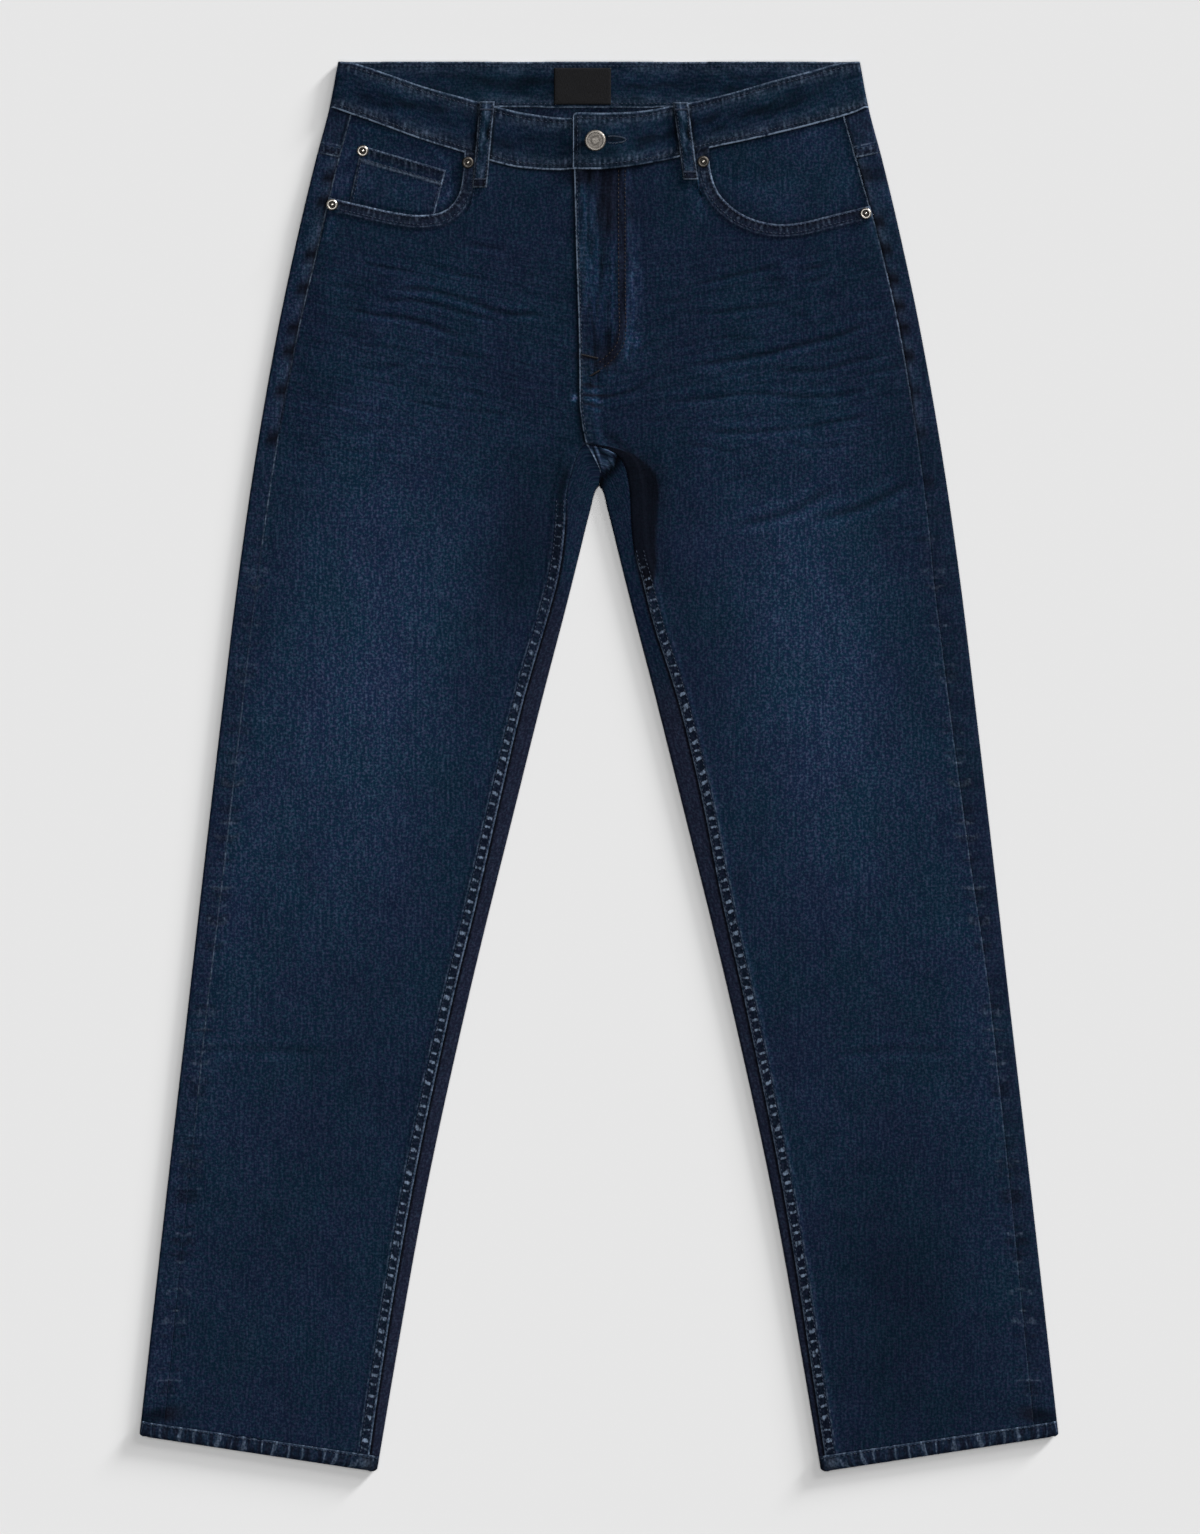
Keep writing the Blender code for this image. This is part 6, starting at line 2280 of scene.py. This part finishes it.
@dataclass(frozen=True)
class Hem:
    """A turned-up hem: a flattened ring round the end of a leg."""

    side: Side
    across: int = 110
    rows: tuple[float, ...] = (0.0, 0.06, 0.14, 0.24, 0.36, 0.48, 0.6, 0.72, 0.82, 0.9, 0.96, 1.0)

    def build(self) -> None:
        """Makes and dresses the hem."""
        half = HEM_FOLD_HEIGHT / 2
        arc = fold_arc(HEM_FOLD_HEIGHT, ARC_STEPS)
        rows = []
        for share in self.rows:
            inset = 2.6 * max(share - 0.8, 0.0) ** 2 / 0.04
            outer_drop = HEM_OUTER_DROP - HEM_HEIGHT * (1 - share)
            inner_drop = HEM_INNER_DROP - HEM_HEIGHT * (1 - share)
            outer, inner = PLAN.side_fold(outer_drop) - inset, PLAN.inner_fold(inner_drop) + inset
            middle = mix(outer - half, inner + half, np.arange(1, self.across) / self.across)
            line = mix(inner_drop, outer_drop, (middle - inner) / (outer - inner))
            row = [(outer - d, outer_drop, z) for d, z in arc]
            row += list(zip(middle, line, np.zeros(len(middle))))
            row += [(inner + d, inner_drop, z) for d, z in reversed(arc)]
            row += list(zip(middle[::-1], line[::-1], np.full(len(middle), HEM_FOLD_HEIGHT)))
            rows.append([*row, row[0]])
        grid = np.array(rows, float)
        reach, drop, z = grid[..., 0], grid[..., 1], grid[..., 2]
        along = lengths(reach, drop, z)[:1] + 0 * reach
        down = (np.array(self.rows) * HEM_HEIGHT)[:, None] + 0 * reach
        from_edge = np.minimum(down, HEM_HEIGHT - down)
        top = z > half
        rope = PLAN.relief.ladder(along, 9.4, 2)
        flatness = ease(np.abs(z - half) / half)
        out = np.where(top, 1.0, -1.0) * flatness
        rolled = np.where(down > from_edge, 0.9, 0.15)
        shift = -rolled * bell(from_edge, 1.3) + 0.2 * rope * bell(down - 8.0, 6.0)
        shift = out * (shift - 0.15 * bell(down - 2.6, 1.0))
        z = z + np.where(top, shift, np.maximum(shift, 0.0)) + np.where(top, 0.0, UNDER * flatness)
        cloth = Cloth.blank(self.side * reach, drop, z)
        cloth.weave = np.stack([along, down + drop.mean()], axis=-1)
        cloth.sewn(down, along)
        by_inseam = reach - PLAN.inner_fold(HEM_INNER_DROP)
        pale_end = bell(by_inseam - 9.0, 4.5) * top
        cloth.mark(
            tone=1.08 - 0.5 * bell(by_inseam - 1.0, 3.0) * top, worn=0.3 * pale_end * bell(down - 7.0, 4.0),
            line=np.where(down < 0.5 * HEM_HEIGHT, 0.4, 0.6), roped=1.0, plum=0.3, crinkle=0.2,
        )
        hand_in_cloth(cloth, "hem_" + self.side.word, Finish.DOUBLE, HEM_WALL, ring=True)


class LoopRow(NamedTuple):
    """A belt loop over the front of the waistband, from its top to its foot."""

    name: str
    top_x: float
    top_drop: float
    foot_x: float
    foot_drop: float


@dataclass(frozen=True)
class BeltLoops:
    """The five belt loops."""

    front: tuple[LoopRow, ...] = (
        LoopRow("belt_loop_front_right", -89.4, 32.0, -95.6, 101.0),
        LoopRow("belt_loop_front_left", 65.0, 32.6, 73.4, 94.6),
    )
    columns: int = 12
    steps: int = 60
    crown: float = 0.35

    def _dress(self, cloth: Cloth, across: Array, along: Array, node: str, under: bool) -> None:
        """Gives a loop its worn edges and its place in the frame.

        Args:
            cloth: the loop.
            across: how far its points are from its middle line.
            along: how far down it they are.
            node: the solid that it stands for.
            under: whether it faces down.
        """
        from_edge = LOOP_WIDTH / 2 - np.abs(across)
        end = np.minimum(along, along.max() - along)
        cloth.weave = np.stack([across, along], axis=-1)
        cloth.sewn(np.minimum(from_edge, end), along)
        mottled = PLAN.relief.drift(3.0 * across, along, 14.0, 1)
        from_foot = along.max() - along
        foot = plateau(from_foot - 4.5, 1.6, 1.5)
        cloth.mark(
            # Painted shade right beside the loop's edges.
            tone=(0.95 + 0.7 * mottled + 0.3 * bell(across, 2.0)) * (1 - 0.4 * foot), ribs=0.3, brink=1.0,
            line=0.52 + 0.3 * (from_foot < 2.0), plum=0.8 * foot,
            worn=0.34 * bell(across, 2.2) * np.maximum(mottled, 0.0) * (1 - foot),
        )
        hand_in_cloth(cloth, node, Finish.DOUBLE, LOOP_WALL, under=under)

    @staticmethod
    def height(row: LoopRow, x: Array, drop: Array) -> Array:
        """Outer height of a front loop at evenly spaced points down its middle.

        Args:
            row: the loop.
            x: the points' x.
            drop: the points' drop.

        Returns:
            One height for each point.
        """
        seats = [
            PLAN.topmost(x + a, np.clip(drop + b, row.top_drop + 2.0, row.foot_drop))
            for a in (-LOOP_WIDTH / 2, 0.0, LOOP_WIDTH / 2)
            for b in (-6.0, 0.0, 6.0)
        ]
        window = np.hanning(9)
        padded = np.pad(np.max(seats, axis=0) + LAYER_GAP + LOOP_WALL, 4, mode="edge")
        return np.convolve(padded, window / window.sum(), mode="valid")

    def build(self) -> None:
        """Makes and dresses the loops."""
        across = np.linspace(-1.0, 1.0, self.columns + 1)[None, :] * LOOP_WIDTH / 2
        share = np.linspace(0.0, 1.0, self.steps + 1)[:, None]
        across, share = np.broadcast_arrays(across, share)
        rolled = bell(LOOP_WIDTH / 2 - np.abs(across), 0.7)
        for row in self.front:
            x, drop = mix(row.top_x, row.foot_x, share), mix(row.top_drop, row.foot_drop, share)
            z = self.height(row, x[:, 0], drop[:, 0])[:, None]
            profile = self.crown * (1 - (2 * across / LOOP_WIDTH) ** 2) - 0.5 * rolled
            cloth = Cloth.blank(x + across, drop, z + profile)
            self._dress(cloth, across, share * (row.foot_drop - row.top_drop), row.name, False)
        for name, x in BACK_LOOPS.items():
            drop = mix(1.0, BACK_LOOP_FOOT, share)
            cloth = Cloth.blank(x + across, drop, UNDER + 0.4 * rolled)
            self._dress(cloth, across, drop, "belt_loop_back_" + name, True)


@dataclass(frozen=True)
class Label:
    """The woven label inside the back of the waistband, left bare."""

    x: tuple[float, float] = (-36.0, 9.6)
    drop: tuple[float, float] = (5.0, 34.5)
    wall: float = 0.8
    columns: int = 47
    rows: int = 31

    def build(self) -> None:
        """Makes and dresses the label."""
        (left, right), (head, foot) = self.x, self.drop
        x, drop = np.meshgrid(np.linspace(left, right, self.columns), np.linspace(head, foot, self.rows))
        edge = np.minimum(np.minimum(x - left, right - x), np.minimum(drop - head, foot - drop))
        z = PLAN.lift(x, drop) + BAND_WALL + LAYER_GAP + self.wall - 0.3 * bell(edge, 0.8)
        z = z + 0.08 * PLAN.relief.drift(x, drop, 20.0)
        on = ["denim_waistband"]
        hand_in_cloth(Cloth.blank(x, drop, z), "label", Finish.SATIN, self.wall, on, "woven_label")


class Turned(NamedTuple):
    """A point of a turned profile: its radius, its height and how dark its groove is."""

    radius: float
    height: float
    groove: float


@dataclass(frozen=True)
class Metal:
    """The shank button and the rivets, turned about their own axes."""

    rivets: dict[str, tuple[float, float]] = field(
        default_factory=lambda: {
            "rivet_coin": (-189.0, 71.5),
            "rivet_right_side": (-213.4, 114.6),
            "rivet_right_top": (-104.8, 81.0),
            "rivet_left_top": (83.2, 80.2),
            "rivet_left_side": (213.2, 121.6),
        }
    )
    button: tuple[float, float] = (-3.0, 63.6)
    rivet_profile: tuple[Turned, ...] = (
        Turned(0.0, 1.85, 0.0), Turned(0.5, 1.83, 0.0), Turned(0.85, 1.7, 0.1), Turned(1.1, 1.3, 0.8),
        Turned(1.5, 1.0, 1.0), Turned(2.1, 0.95, 1.0), Turned(2.5, 1.05, 1.0), Turned(2.85, 1.4, 0.3),
        Turned(3.2, 1.6, 0.0), Turned(3.7, 1.5, 0.0), Turned(4.2, 1.15, 0.1), Turned(4.6, 0.55, 0.4),
        Turned(4.75, 0.0, 0.8), Turned(0.0, 0.0, 0.8),
    )
    dull_rivets: tuple[str, ...] = ("rivet_right_top", "rivet_left_top")
    dull_from: float = 1.4
    dull_groove: float = 0.72
    rivet_sides: int = 40
    button_sides: int = 64
    button_profile: tuple[Turned, ...] = (
        Turned(0.0, 4.36, 0.5), Turned(1.4, 4.35, 0.5), Turned(2.4, 4.3, 0.54), Turned(3.0, 4.18, 0.64),
        Turned(3.3, 4.12, 0.7), Turned(4.4, 4.14, 0.6), Turned(5.4, 4.14, 0.56), Turned(6.0, 4.12, 0.66),
        Turned(6.4, 4.26, 0.54), Turned(6.8, 4.4, 0.46), Turned(7.3, 4.42, 0.42), Turned(7.9, 4.2, 0.42),
        Turned(8.3, 3.75, 0.5), Turned(8.5, 3.25, 0.6), Turned(8.4, 2.7, 0.8), Turned(7.4, 2.25, 0.95),
        Turned(4.2, 2.0, 1.0), Turned(4.0, 0.0, 1.0), Turned(0.0, 0.0, 1.0),
    )

    @staticmethod
    def _turn(node: str, profile: Sequence[Turned], at: tuple[float, float, float], steps: int) -> None:
        """Makes and dresses one turned piece, with its groove attribute.

        Args:
            node: the solid that it stands for.
            profile: its points, from the middle of the top to the middle of the foot.
            at: the x, the drop and the height of the middle of its foot.
            steps: how many sides it has.
        """
        verts, grooves, rings = [], [], []
        x, drop, z = at
        for point in profile:
            count = steps if point.radius else 1
            turns = np.arange(count) * math.tau / steps
            across, down = x + point.radius * np.cos(turns), drop - point.radius * np.sin(turns)
            rings.append([len(verts) + n % count for n in range(steps)])
            verts += zip(across, down, [z + point.height] * count)
            grooves += [point.groove] * count
        faces = []
        for upper, lower in zip(rings, rings[1:]):
            for n in range(steps):
                m = (n + 1) % steps
                faces.append(tuple(dict.fromkeys((upper[n], lower[n], lower[m], upper[m]))))
        mesh = bpy.data.meshes.new("nickel_" + node)
        mesh.from_pydata(metres(*np.array(verts).T), [], faces)
        mesh.attributes.new("groove", "FLOAT", "POINT").data.foreach_set("value", grooves)
        mesh.shade_smooth()
        hand_in(add_object("nickel_" + node, mesh), Finish.NICKEL, node)

    def _dulled(self, point: Turned) -> Turned:
        """A rivet's point, dark where it lies far enough out."""
        return point._replace(groove=max(point.groove, self.dull_groove * (point.radius > self.dull_from)))

    def build(self) -> None:
        """Makes and dresses the metal."""
        turns = np.arange(8) * math.tau / 8
        rim = max(point.radius for point in self.rivet_profile)
        for node, (x, drop) in self.rivets.items():
            seat = PLAN.topmost(x + rim * np.cos(turns), drop + rim * np.sin(turns)).max()
            profile = self.rivet_profile
            if node in self.dull_rivets:
                profile = [self._dulled(point) for point in profile]
            self._turn(node, profile, (x, drop, float(seat) + LAYER_GAP / 2), self.rivet_sides)
        x, drop = self.button
        seat = PLAN.topmost(np.array([x]), np.array([drop]))[0]
        self._turn("button", self.button_profile, (x, drop, float(seat) + LAYER_GAP), self.button_sides)


class Seam(NamedTuple):
    """How a row of stitches is sewn."""

    pitch: float
    length: float
    width: float
    thickness: float


class Sewing(Enum):
    """The kinds of stitching."""

    LOCKSTITCH = Seam(3.4, 2.7, 0.75, 0.5)
    FINE = Seam(2.9, 2.2, 0.6, 0.45)
    BARTACK = Seam(0.55, 0.6, 2.4, 0.6)
    BUTTONHOLE = Seam(0.6, 0.62, 2.0, 0.7)


@dataclass
class Threads:
    """All rows of one kind of stitching in one thread."""

    name: str
    sewing: Sewing
    finish: Finish
    jitter: float = 0.1
    seed: int = 5
    rows: list[Array] = field(default_factory=list)

    def add(self, x: Array, drop: Array, z: Array) -> None:
        """Adds a row through points."""
        self.rows.append(metres(x, drop, z))

    def _tree(self) -> bpy.types.NodeTree:
        """Nodes that lay stitches along the rows.

        Returns:
            The node group.
        """
        tree = bpy.data.node_groups.new(self.name, "GeometryNodeTree")
        face = tree.interface
        face.new_socket("Geometry", in_out="INPUT", socket_type="NodeSocketGeometry")
        for size in ("Pitch", "Length", "Width", "Thickness", "Jitter"):
            face.new_socket(size, in_out="INPUT", socket_type="NodeSocketFloat")
        face.new_socket("Thread", in_out="INPUT", socket_type="NodeSocketMaterial")
        face.new_socket("Geometry", in_out="OUTPUT", socket_type="NodeSocketGeometry")

        def node(kind: str, links: dict | None = None, **settings: object) -> bpy.types.Node:
            """Adds a node with its settings, values and links.

            Args:
                kind: the node's type.
                links: the values or links of its sockets.
                settings: its settings.

            Returns:
                The node.
            """
            made = tree.nodes.new(kind)
            for key, value in settings.items():
                setattr(made, key, value)
            for key, value in (links or {}).items():
                if isinstance(value, bpy.types.NodeSocket):
                    tree.links.new(made.inputs[key], value)
                else:
                    made.inputs[key].default_value = value
            return made

        given = node("NodeGroupInput").outputs
        curve = node("GeometryNodeMeshToCurve", {0: given["Geometry"]})
        links = {"Curve": curve.outputs[0], "Length": given["Pitch"]}
        even = node("GeometryNodeResampleCurve", links, mode="LENGTH")
        points = node("GeometryNodeCurveToPoints", {"Curve": even.outputs[0]}, mode="EVALUATED")
        ball = node("GeometryNodeMeshIcoSphere", {"Radius": 0.5, "Subdivisions": 1})
        links = {0: (-1.0, -1.0, -0.2), 1: (1.0, 1.0, 0.2), "Seed": self.seed}
        noise = node("FunctionNodeRandomValue", links, data_type="FLOAT_VECTOR")
        links = {0: noise.outputs[0], "Scale": given["Jitter"]}
        sway = node("ShaderNodeVectorMath", links, operation="SCALE")
        links = {0: points.outputs["Tangent"], 1: sway.outputs[0]}
        way = node("ShaderNodeVectorMath", links, operation="ADD")
        turn = node("FunctionNodeAlignRotationToVector", {"Vector": way.outputs[0]}, axis="X")
        links = {"X": given["Length"], "Y": given["Width"], "Z": given["Thickness"]}
        size = node("ShaderNodeCombineXYZ", links)
        links = {"Points": points.outputs["Points"], "Instance": ball.outputs["Mesh"]}
        links |= {"Rotation": turn.outputs[0], "Scale": size.outputs[0]}
        laid = node("GeometryNodeInstanceOnPoints", links)
        solid = node("GeometryNodeRealizeInstances", {0: laid.outputs[0]})
        smooth = node("GeometryNodeSetShadeSmooth", {0: solid.outputs[0]})
        dyed = node("GeometryNodeSetMaterial", {0: smooth.outputs[0], "Material": given["Thread"]})
        node("NodeGroupOutput", {0: dyed.outputs[0]})
        return tree

    def build(self) -> None:
        """Makes and dresses the stitches."""
        points = np.concatenate(self.rows)
        starts = np.cumsum([0, *(len(r) for r in self.rows)])
        edges = [(n, n + 1) for a, b in zip(starts, starts[1:]) for n in range(a, b - 1)]
        path = bpy.data.meshes.new(self.name + "_path")
        path.from_pydata(points, edges, [])
        maker = add_object(self.name + "_path", path)
        modifier = maker.modifiers.new("stitches", "NODES")
        modifier.node_group = self._tree()
        seam = self.sewing.value
        values = {
            "Pitch": seam.pitch * MM, "Length": seam.length * MM, "Width": seam.width * MM,
            "Thickness": seam.thickness * MM, "Jitter": self.jitter, "Thread": self.finish.material(),
        }
        for item in modifier.node_group.interface.items_tree:
            if item.in_out == "INPUT" and item.name in values:
                modifier[item.identifier] = values[item.name]
        evaluated = maker.evaluated_get(bpy.context.evaluated_depsgraph_get())
        mesh = bpy.data.meshes.new_from_object(evaluated)
        bpy.data.objects.remove(maker)
        mesh.name = self.name
        hand_in(add_object(self.name, mesh), self.finish)


@dataclass(frozen=True)
class Stitching:
    """All the visible sewing."""

    inner_row: float = 1.7
    outer_row: float = 7.4
    band_row: float = 3.6
    hem_row: float = 1.8
    rise: float = 0.12
    spacing: float = 1.5
    band_end: float = BAND_HALF - 8.0
    right_start: float = 22.0  # the right half's rows come out here from under the left end
    inseam_lag: float = 7.0  # the inseam's rows start this far below the start of its rungs
    curve_gap: float = 5.2
    second_end: float = 241.0  # the drop at which the curve's second row ends
    edge_row: tuple[float, float] = (90.0, 298.0)  # the drops between which the fly's edge is sewn
    fly_tacks: tuple[Points, ...] = (((-14.0, 234.5), (-1.0, 237.5)), ((-6.0, 251.0), (0.5, 247.0)))
    coin_rows: tuple[float, float] = (1.7, 10.6)
    wrap_rows: tuple[float, float] = (1.6, 7.0)
    loop_row: float = 3.9
    loop_tack: float = 4.6
    curve_points: Points = (
        (20.8, 88.0), (20.8, 118.0), (20.8, 148.0), (20.9, 176.0), (21.2, 198.0), (21.6, 210.0),
        (21.0, 220.0), (18.0, 229.6), (10.6, 238.4), (1.4, 246.0), (-7.0, 251.2),
    )

    def _on_front(self, threads: Threads, x: Array, drop: Array, rise: float | None = None) -> None:
        """Adds a row that lies on whatever shows at the front."""
        height = PLAN.topmost(x, drop) + (self.rise if rise is None else rise)
        threads.add(x, drop, height)

    def _front(self, side: Side, navy: Threads) -> None:
        """Rows of a front panel: its pocket opening and its inseam.

        Args:
            side: the panel's side.
            navy: the navy thread's rows.
        """
        route = PLAN.openings[side]
        for row in (self.inner_row, self.outer_row):
            points = route.beside(-row).every(self.spacing, 0.04, 0.95)
            self._on_front(navy, side * points[:, 0], points[:, 1])
            drop = np.arange(LADDER_START[side] + self.inseam_lag, HEM_INNER_DROP - HEM_HEIGHT - 3.0, 3.0)
            x = side * (PLAN.inseam[side](drop) + row * 1.02)
            navy.add(x, drop, PLAN.front_height(side, x, drop) + self.rise)

    def _waist(self, navy: Threads) -> None:
        """Rows round the waistband, its left end and the inside of its back.

        Args:
            navy: the navy thread's rows.
        """
        band = Waistband()
        for side in Side:
            start = self.right_start if side is Side.RIGHT else TAB_END_X + self.band_row
            reach = np.arange(start, self.band_end, self.spacing)
            for share in (self.band_row / BAND_SIDE_DROP, 1 - self.band_row / BAND_SIDE_DROP):
                rise = PLAN.tab_rise(reach) if side is Side.LEFT else 0.0
                x, drop, z = band.point(side, reach, np.full(reach.shape, share), rise)
                navy.add(x, drop, z - 0.25 + self.rise)
        share = np.linspace(self.band_row, BAND_SIDE_DROP - self.band_row, 24) / BAND_SIDE_DROP
        reach = np.full(share.shape, TAB_END_X + self.band_row)
        x, drop, z = band.point(Side.LEFT, reach, share, PLAN.tab_rise(reach))
        navy.add(x, drop, z - 0.1 + self.rise)
        x = np.arange(-self.band_end, self.band_end, self.spacing)
        for drop in (self.band_row, BAND_SIDE_DROP - self.band_row):
            at = np.full(x.shape, drop)
            navy.add(x, at, PLAN.lift(x, at) + UNDER + BAND_WALL + self.rise)

    def _fly(self, navy: Threads, rust: Threads, tacks: Threads) -> None:
        """The curved double row and the row beside the fly's edge.

        Args:
            navy: the navy thread's rows.
            rust: the rust thread's rows.
            tacks: the bartacks' rows.
        """
        curve = Route(self.curve_points, smooth=2.0)
        for offset in (0.0, self.curve_gap):
            points = curve.beside(offset).every(self.spacing)
            if offset:
                points = points[points[:, 1] < self.second_end]
            self._on_front(rust, points[:, 0], points[:, 1])
        drop = np.arange(*self.edge_row, self.spacing)
        self._on_front(navy, PLAN.fly_line(drop) + 2.0, drop)
        tack = np.linspace(0.0, 1.0, 20)
        for (x0, d0), (x1, d1) in self.fly_tacks:
            self._on_front(tacks, mix(x0, x1, tack), mix(d0, d1, tack))

    def _coin(self, navy: Threads) -> None:
        """Rows of the coin pocket.

        Args:
            navy: the navy thread's rows.
        """
        pocket = FrontPocket(Side.RIGHT)
        (x0, d0), (x1, d1) = pocket.coin_top
        share = np.linspace(0.03, 0.97, 50)
        for row in self.coin_rows:
            reach, drop = mix(x0, x1, share), mix(d0, d1, share) + row
            navy.add(-reach, drop, PLAN.upper(-reach, drop) + 0.1 + self.rise)
        for a, b, way in ((x0, pocket.coin_foot[0], -1), (x1, pocket.coin_foot[1], 1)):
            share = np.linspace(0.03, 0.8, 40)
            start = d0 if way < 0 else d1
            drop = mix(start, 120.0, share)
            reach = mix(a, b, share) + way * 1.8
            navy.add(-reach, drop, PLAN.upper(-reach, drop) - 0.35 + self.rise)

    def _wrap(self, side: Side, navy: Threads) -> None:
        """Rows over the end of the yoke's seam.

        Args:
            side: the yoke's side.
            navy: the navy thread's rows.
        """
        for row in self.wrap_rows:
            edge = PLAN.outer_edge(side, YOKE_SIDE_DROP)
            reach = np.linspace(edge + 1.0, edge + 14.0, 14)
            drop = PLAN.yoke_seam(reach) - row
            navy.add(side * reach, drop, PLAN.upper(side * reach, drop) + 0.5 + self.rise)

    def _hems(self, side: Side, navy: Threads) -> None:
        """The row at the top of a hem.

        Args:
            side: the hem's side.
            navy: the navy thread's rows.
        """
        outer, inner = (HEM_OUTER_DROP - HEM_HEIGHT, HEM_INNER_DROP - HEM_HEIGHT)
        a, b = PLAN.side_fold(outer) - 2.5, PLAN.inner_fold(inner) + 2.5
        share = np.linspace(0.0, 1.0, 130)
        drop = mix(outer, inner, share) + self.hem_row
        navy.add(side * mix(a, b, share), drop, HEM_FOLD_HEIGHT - 0.2 + self.rise + 0 * drop)

    def _loops(self, fine: Threads, tacks: Threads) -> None:
        """Rows and end tacks of the front belt loops.

        Args:
            fine: the fine thread's rows.
            tacks: the end tacks' rows.
        """
        share = np.linspace(0.06, 0.94, 50)
        for row in BeltLoops().front:
            x, drop = mix(row.top_x, row.foot_x, share), mix(row.top_drop, row.foot_drop, share)
            z = BeltLoops().height(row, x, drop)
            for offset in (-self.loop_row, self.loop_row):
                fine.add(x + offset, drop, z + 0.1)
            across = np.linspace(-self.loop_tack, self.loop_tack, 12)
            for end in (2, -3):
                tacks.add(x[end] + across, drop[end] + 0 * across, z[end] + 0.3 + 0 * across)

    def _buttonhole(self, hole: Threads) -> None:
        """The worked buttonhole, which shows beside the button.

        Args:
            hole: the buttonhole thread's rows.
        """
        centre_x, centre_drop, half_x, half_drop = Waistband().buttonhole
        turn = np.linspace(0.15, 0.85, 40) * math.tau
        x = centre_x - (half_x + 0.8) * np.cos(turn)
        drop = centre_drop + (half_drop + 1.0) * np.sin(turn) * (1.0 + 0.25 * np.cos(turn))
        self._on_front(hole, x[::-1], drop[::-1], -0.05)

    def build(self) -> None:
        """Makes and dresses the sewing."""
        navy = Threads("stitches_navy", Sewing.LOCKSTITCH, Finish.NAVY)
        fine = Threads("stitches_fine", Sewing.FINE, Finish.NAVY)
        rust = Threads("stitches_rust", Sewing.LOCKSTITCH, Finish.RUST)
        tacks = Threads("bartacks", Sewing.BARTACK, Finish.TACK, 0.25)
        ends = Threads("loop_bartacks", Sewing.BARTACK, Finish.NAVY, 0.25)
        hole = Threads("buttonhole_thread", Sewing.BUTTONHOLE, Finish.FADED, 0.2)
        for side in Side:
            self._front(side, navy)
            self._wrap(side, navy)
            self._hems(side, navy)
        self._waist(navy)
        self._fly(navy, rust, tacks)
        self._coin(navy)
        self._loops(fine, ends)
        self._buttonhole(hole)
        for threads in (navy, fine, rust, tacks, ends, hole):
            threads.build()


class Sun(NamedTuple):
    """A broad light: its strength and, in degrees, its height, its side from +X and its spread."""

    name: str
    strength: float
    elevation: float
    azimuth: float
    spread: float


@dataclass(frozen=True)
class Studio:
    """A plain pale floor, soft light from above and a camera that looks straight down."""

    frame_height: float = 1227.2
    centre: tuple[float, float] = (0.8, -0.4)
    distance: float = 9.0
    floor_half: float = 4.0
    floor: float = 0.8
    suns: tuple[Sun, ...] = (
        Sun("low_light", 4.87, 10.0, 45.0, 10.5),
        Sun("side_light", 1.31, 24.0, 45.0, 22.0),
        Sun("overhead_light", 1.58, 90.0, 0.0, 50.0),
    )
    sky: float = 0.05

    @staticmethod
    def _sun(row: Sun) -> None:
        """Adds a light that shines down from its side.

        Args:
            row: the light.
        """
        data = bpy.data.lights.new(row.name, "SUN")
        data.energy, data.angle = row.strength, math.radians(row.spread)
        e, a = math.radians(row.elevation), math.radians(row.azimuth)
        back = Vector((math.cos(e) * math.cos(a), math.cos(e) * math.sin(a), math.sin(e)))
        obj = add_object(row.name, data)
        obj.rotation_mode = "QUATERNION"
        obj.rotation_quaternion = back.to_track_quat("Z", "Y")

    def build(self) -> None:
        """Sets the stage."""
        half = self.floor_half
        mesh = bpy.data.meshes.new("floor")
        corners = [(-half, -half, 0.0), (half, -half, 0.0), (half, half, 0.0), (-half, half, 0.0)]
        mesh.from_pydata(corners, [], [(0, 1, 2, 3)])
        floor = add_object("floor", mesh)
        g = Graph("floor_paint")
        g.set(Base_Color=(self.floor, self.floor, self.floor, 1.0), Roughness=1.0, Specular_IOR_Level=0.0)
        mesh.materials.append(g.material)
        for row in self.suns:
            self._sun(row)
        world = bpy.data.worlds.new("studio")
        world.use_nodes = True
        world.node_tree.nodes["Background"].inputs["Color"].default_value = (1.0, 1.0, 1.0, 1.0)
        world.node_tree.nodes["Background"].inputs["Strength"].default_value = self.sky
        bpy.context.scene.world = world
        data = bpy.data.cameras.new("camera")
        data.sensor_width = 36.0
        data.lens = data.sensor_width * self.distance / (self.frame_height * MM)
        camera = add_object("camera", data)
        camera.location = (self.centre[0] * MM, self.centre[1] * MM, self.distance)
        bpy.context.scene.camera = camera
        bpy.context.scene.view_settings.view_transform = "Standard"


def main() -> None:
    """Builds the jeans, piece by piece, and the studio."""
    logging.basicConfig(level=logging.INFO, format="%(message)s")
    Studio().build()
    for side in Side:
        FrontPanel(side).build()
        BackPanel(side).build()
        Yoke(side).build()
        FrontPocket(side).facing()
        BackPocket(side).build()
        Hem(side).build()
    FrontPocket(Side.RIGHT).coin_pocket()
    Waistband().build()
    BeltLoops().build()
    Label().build()
    Metal().build()
    Stitching().build()


if __name__ == "__main__":
    main()
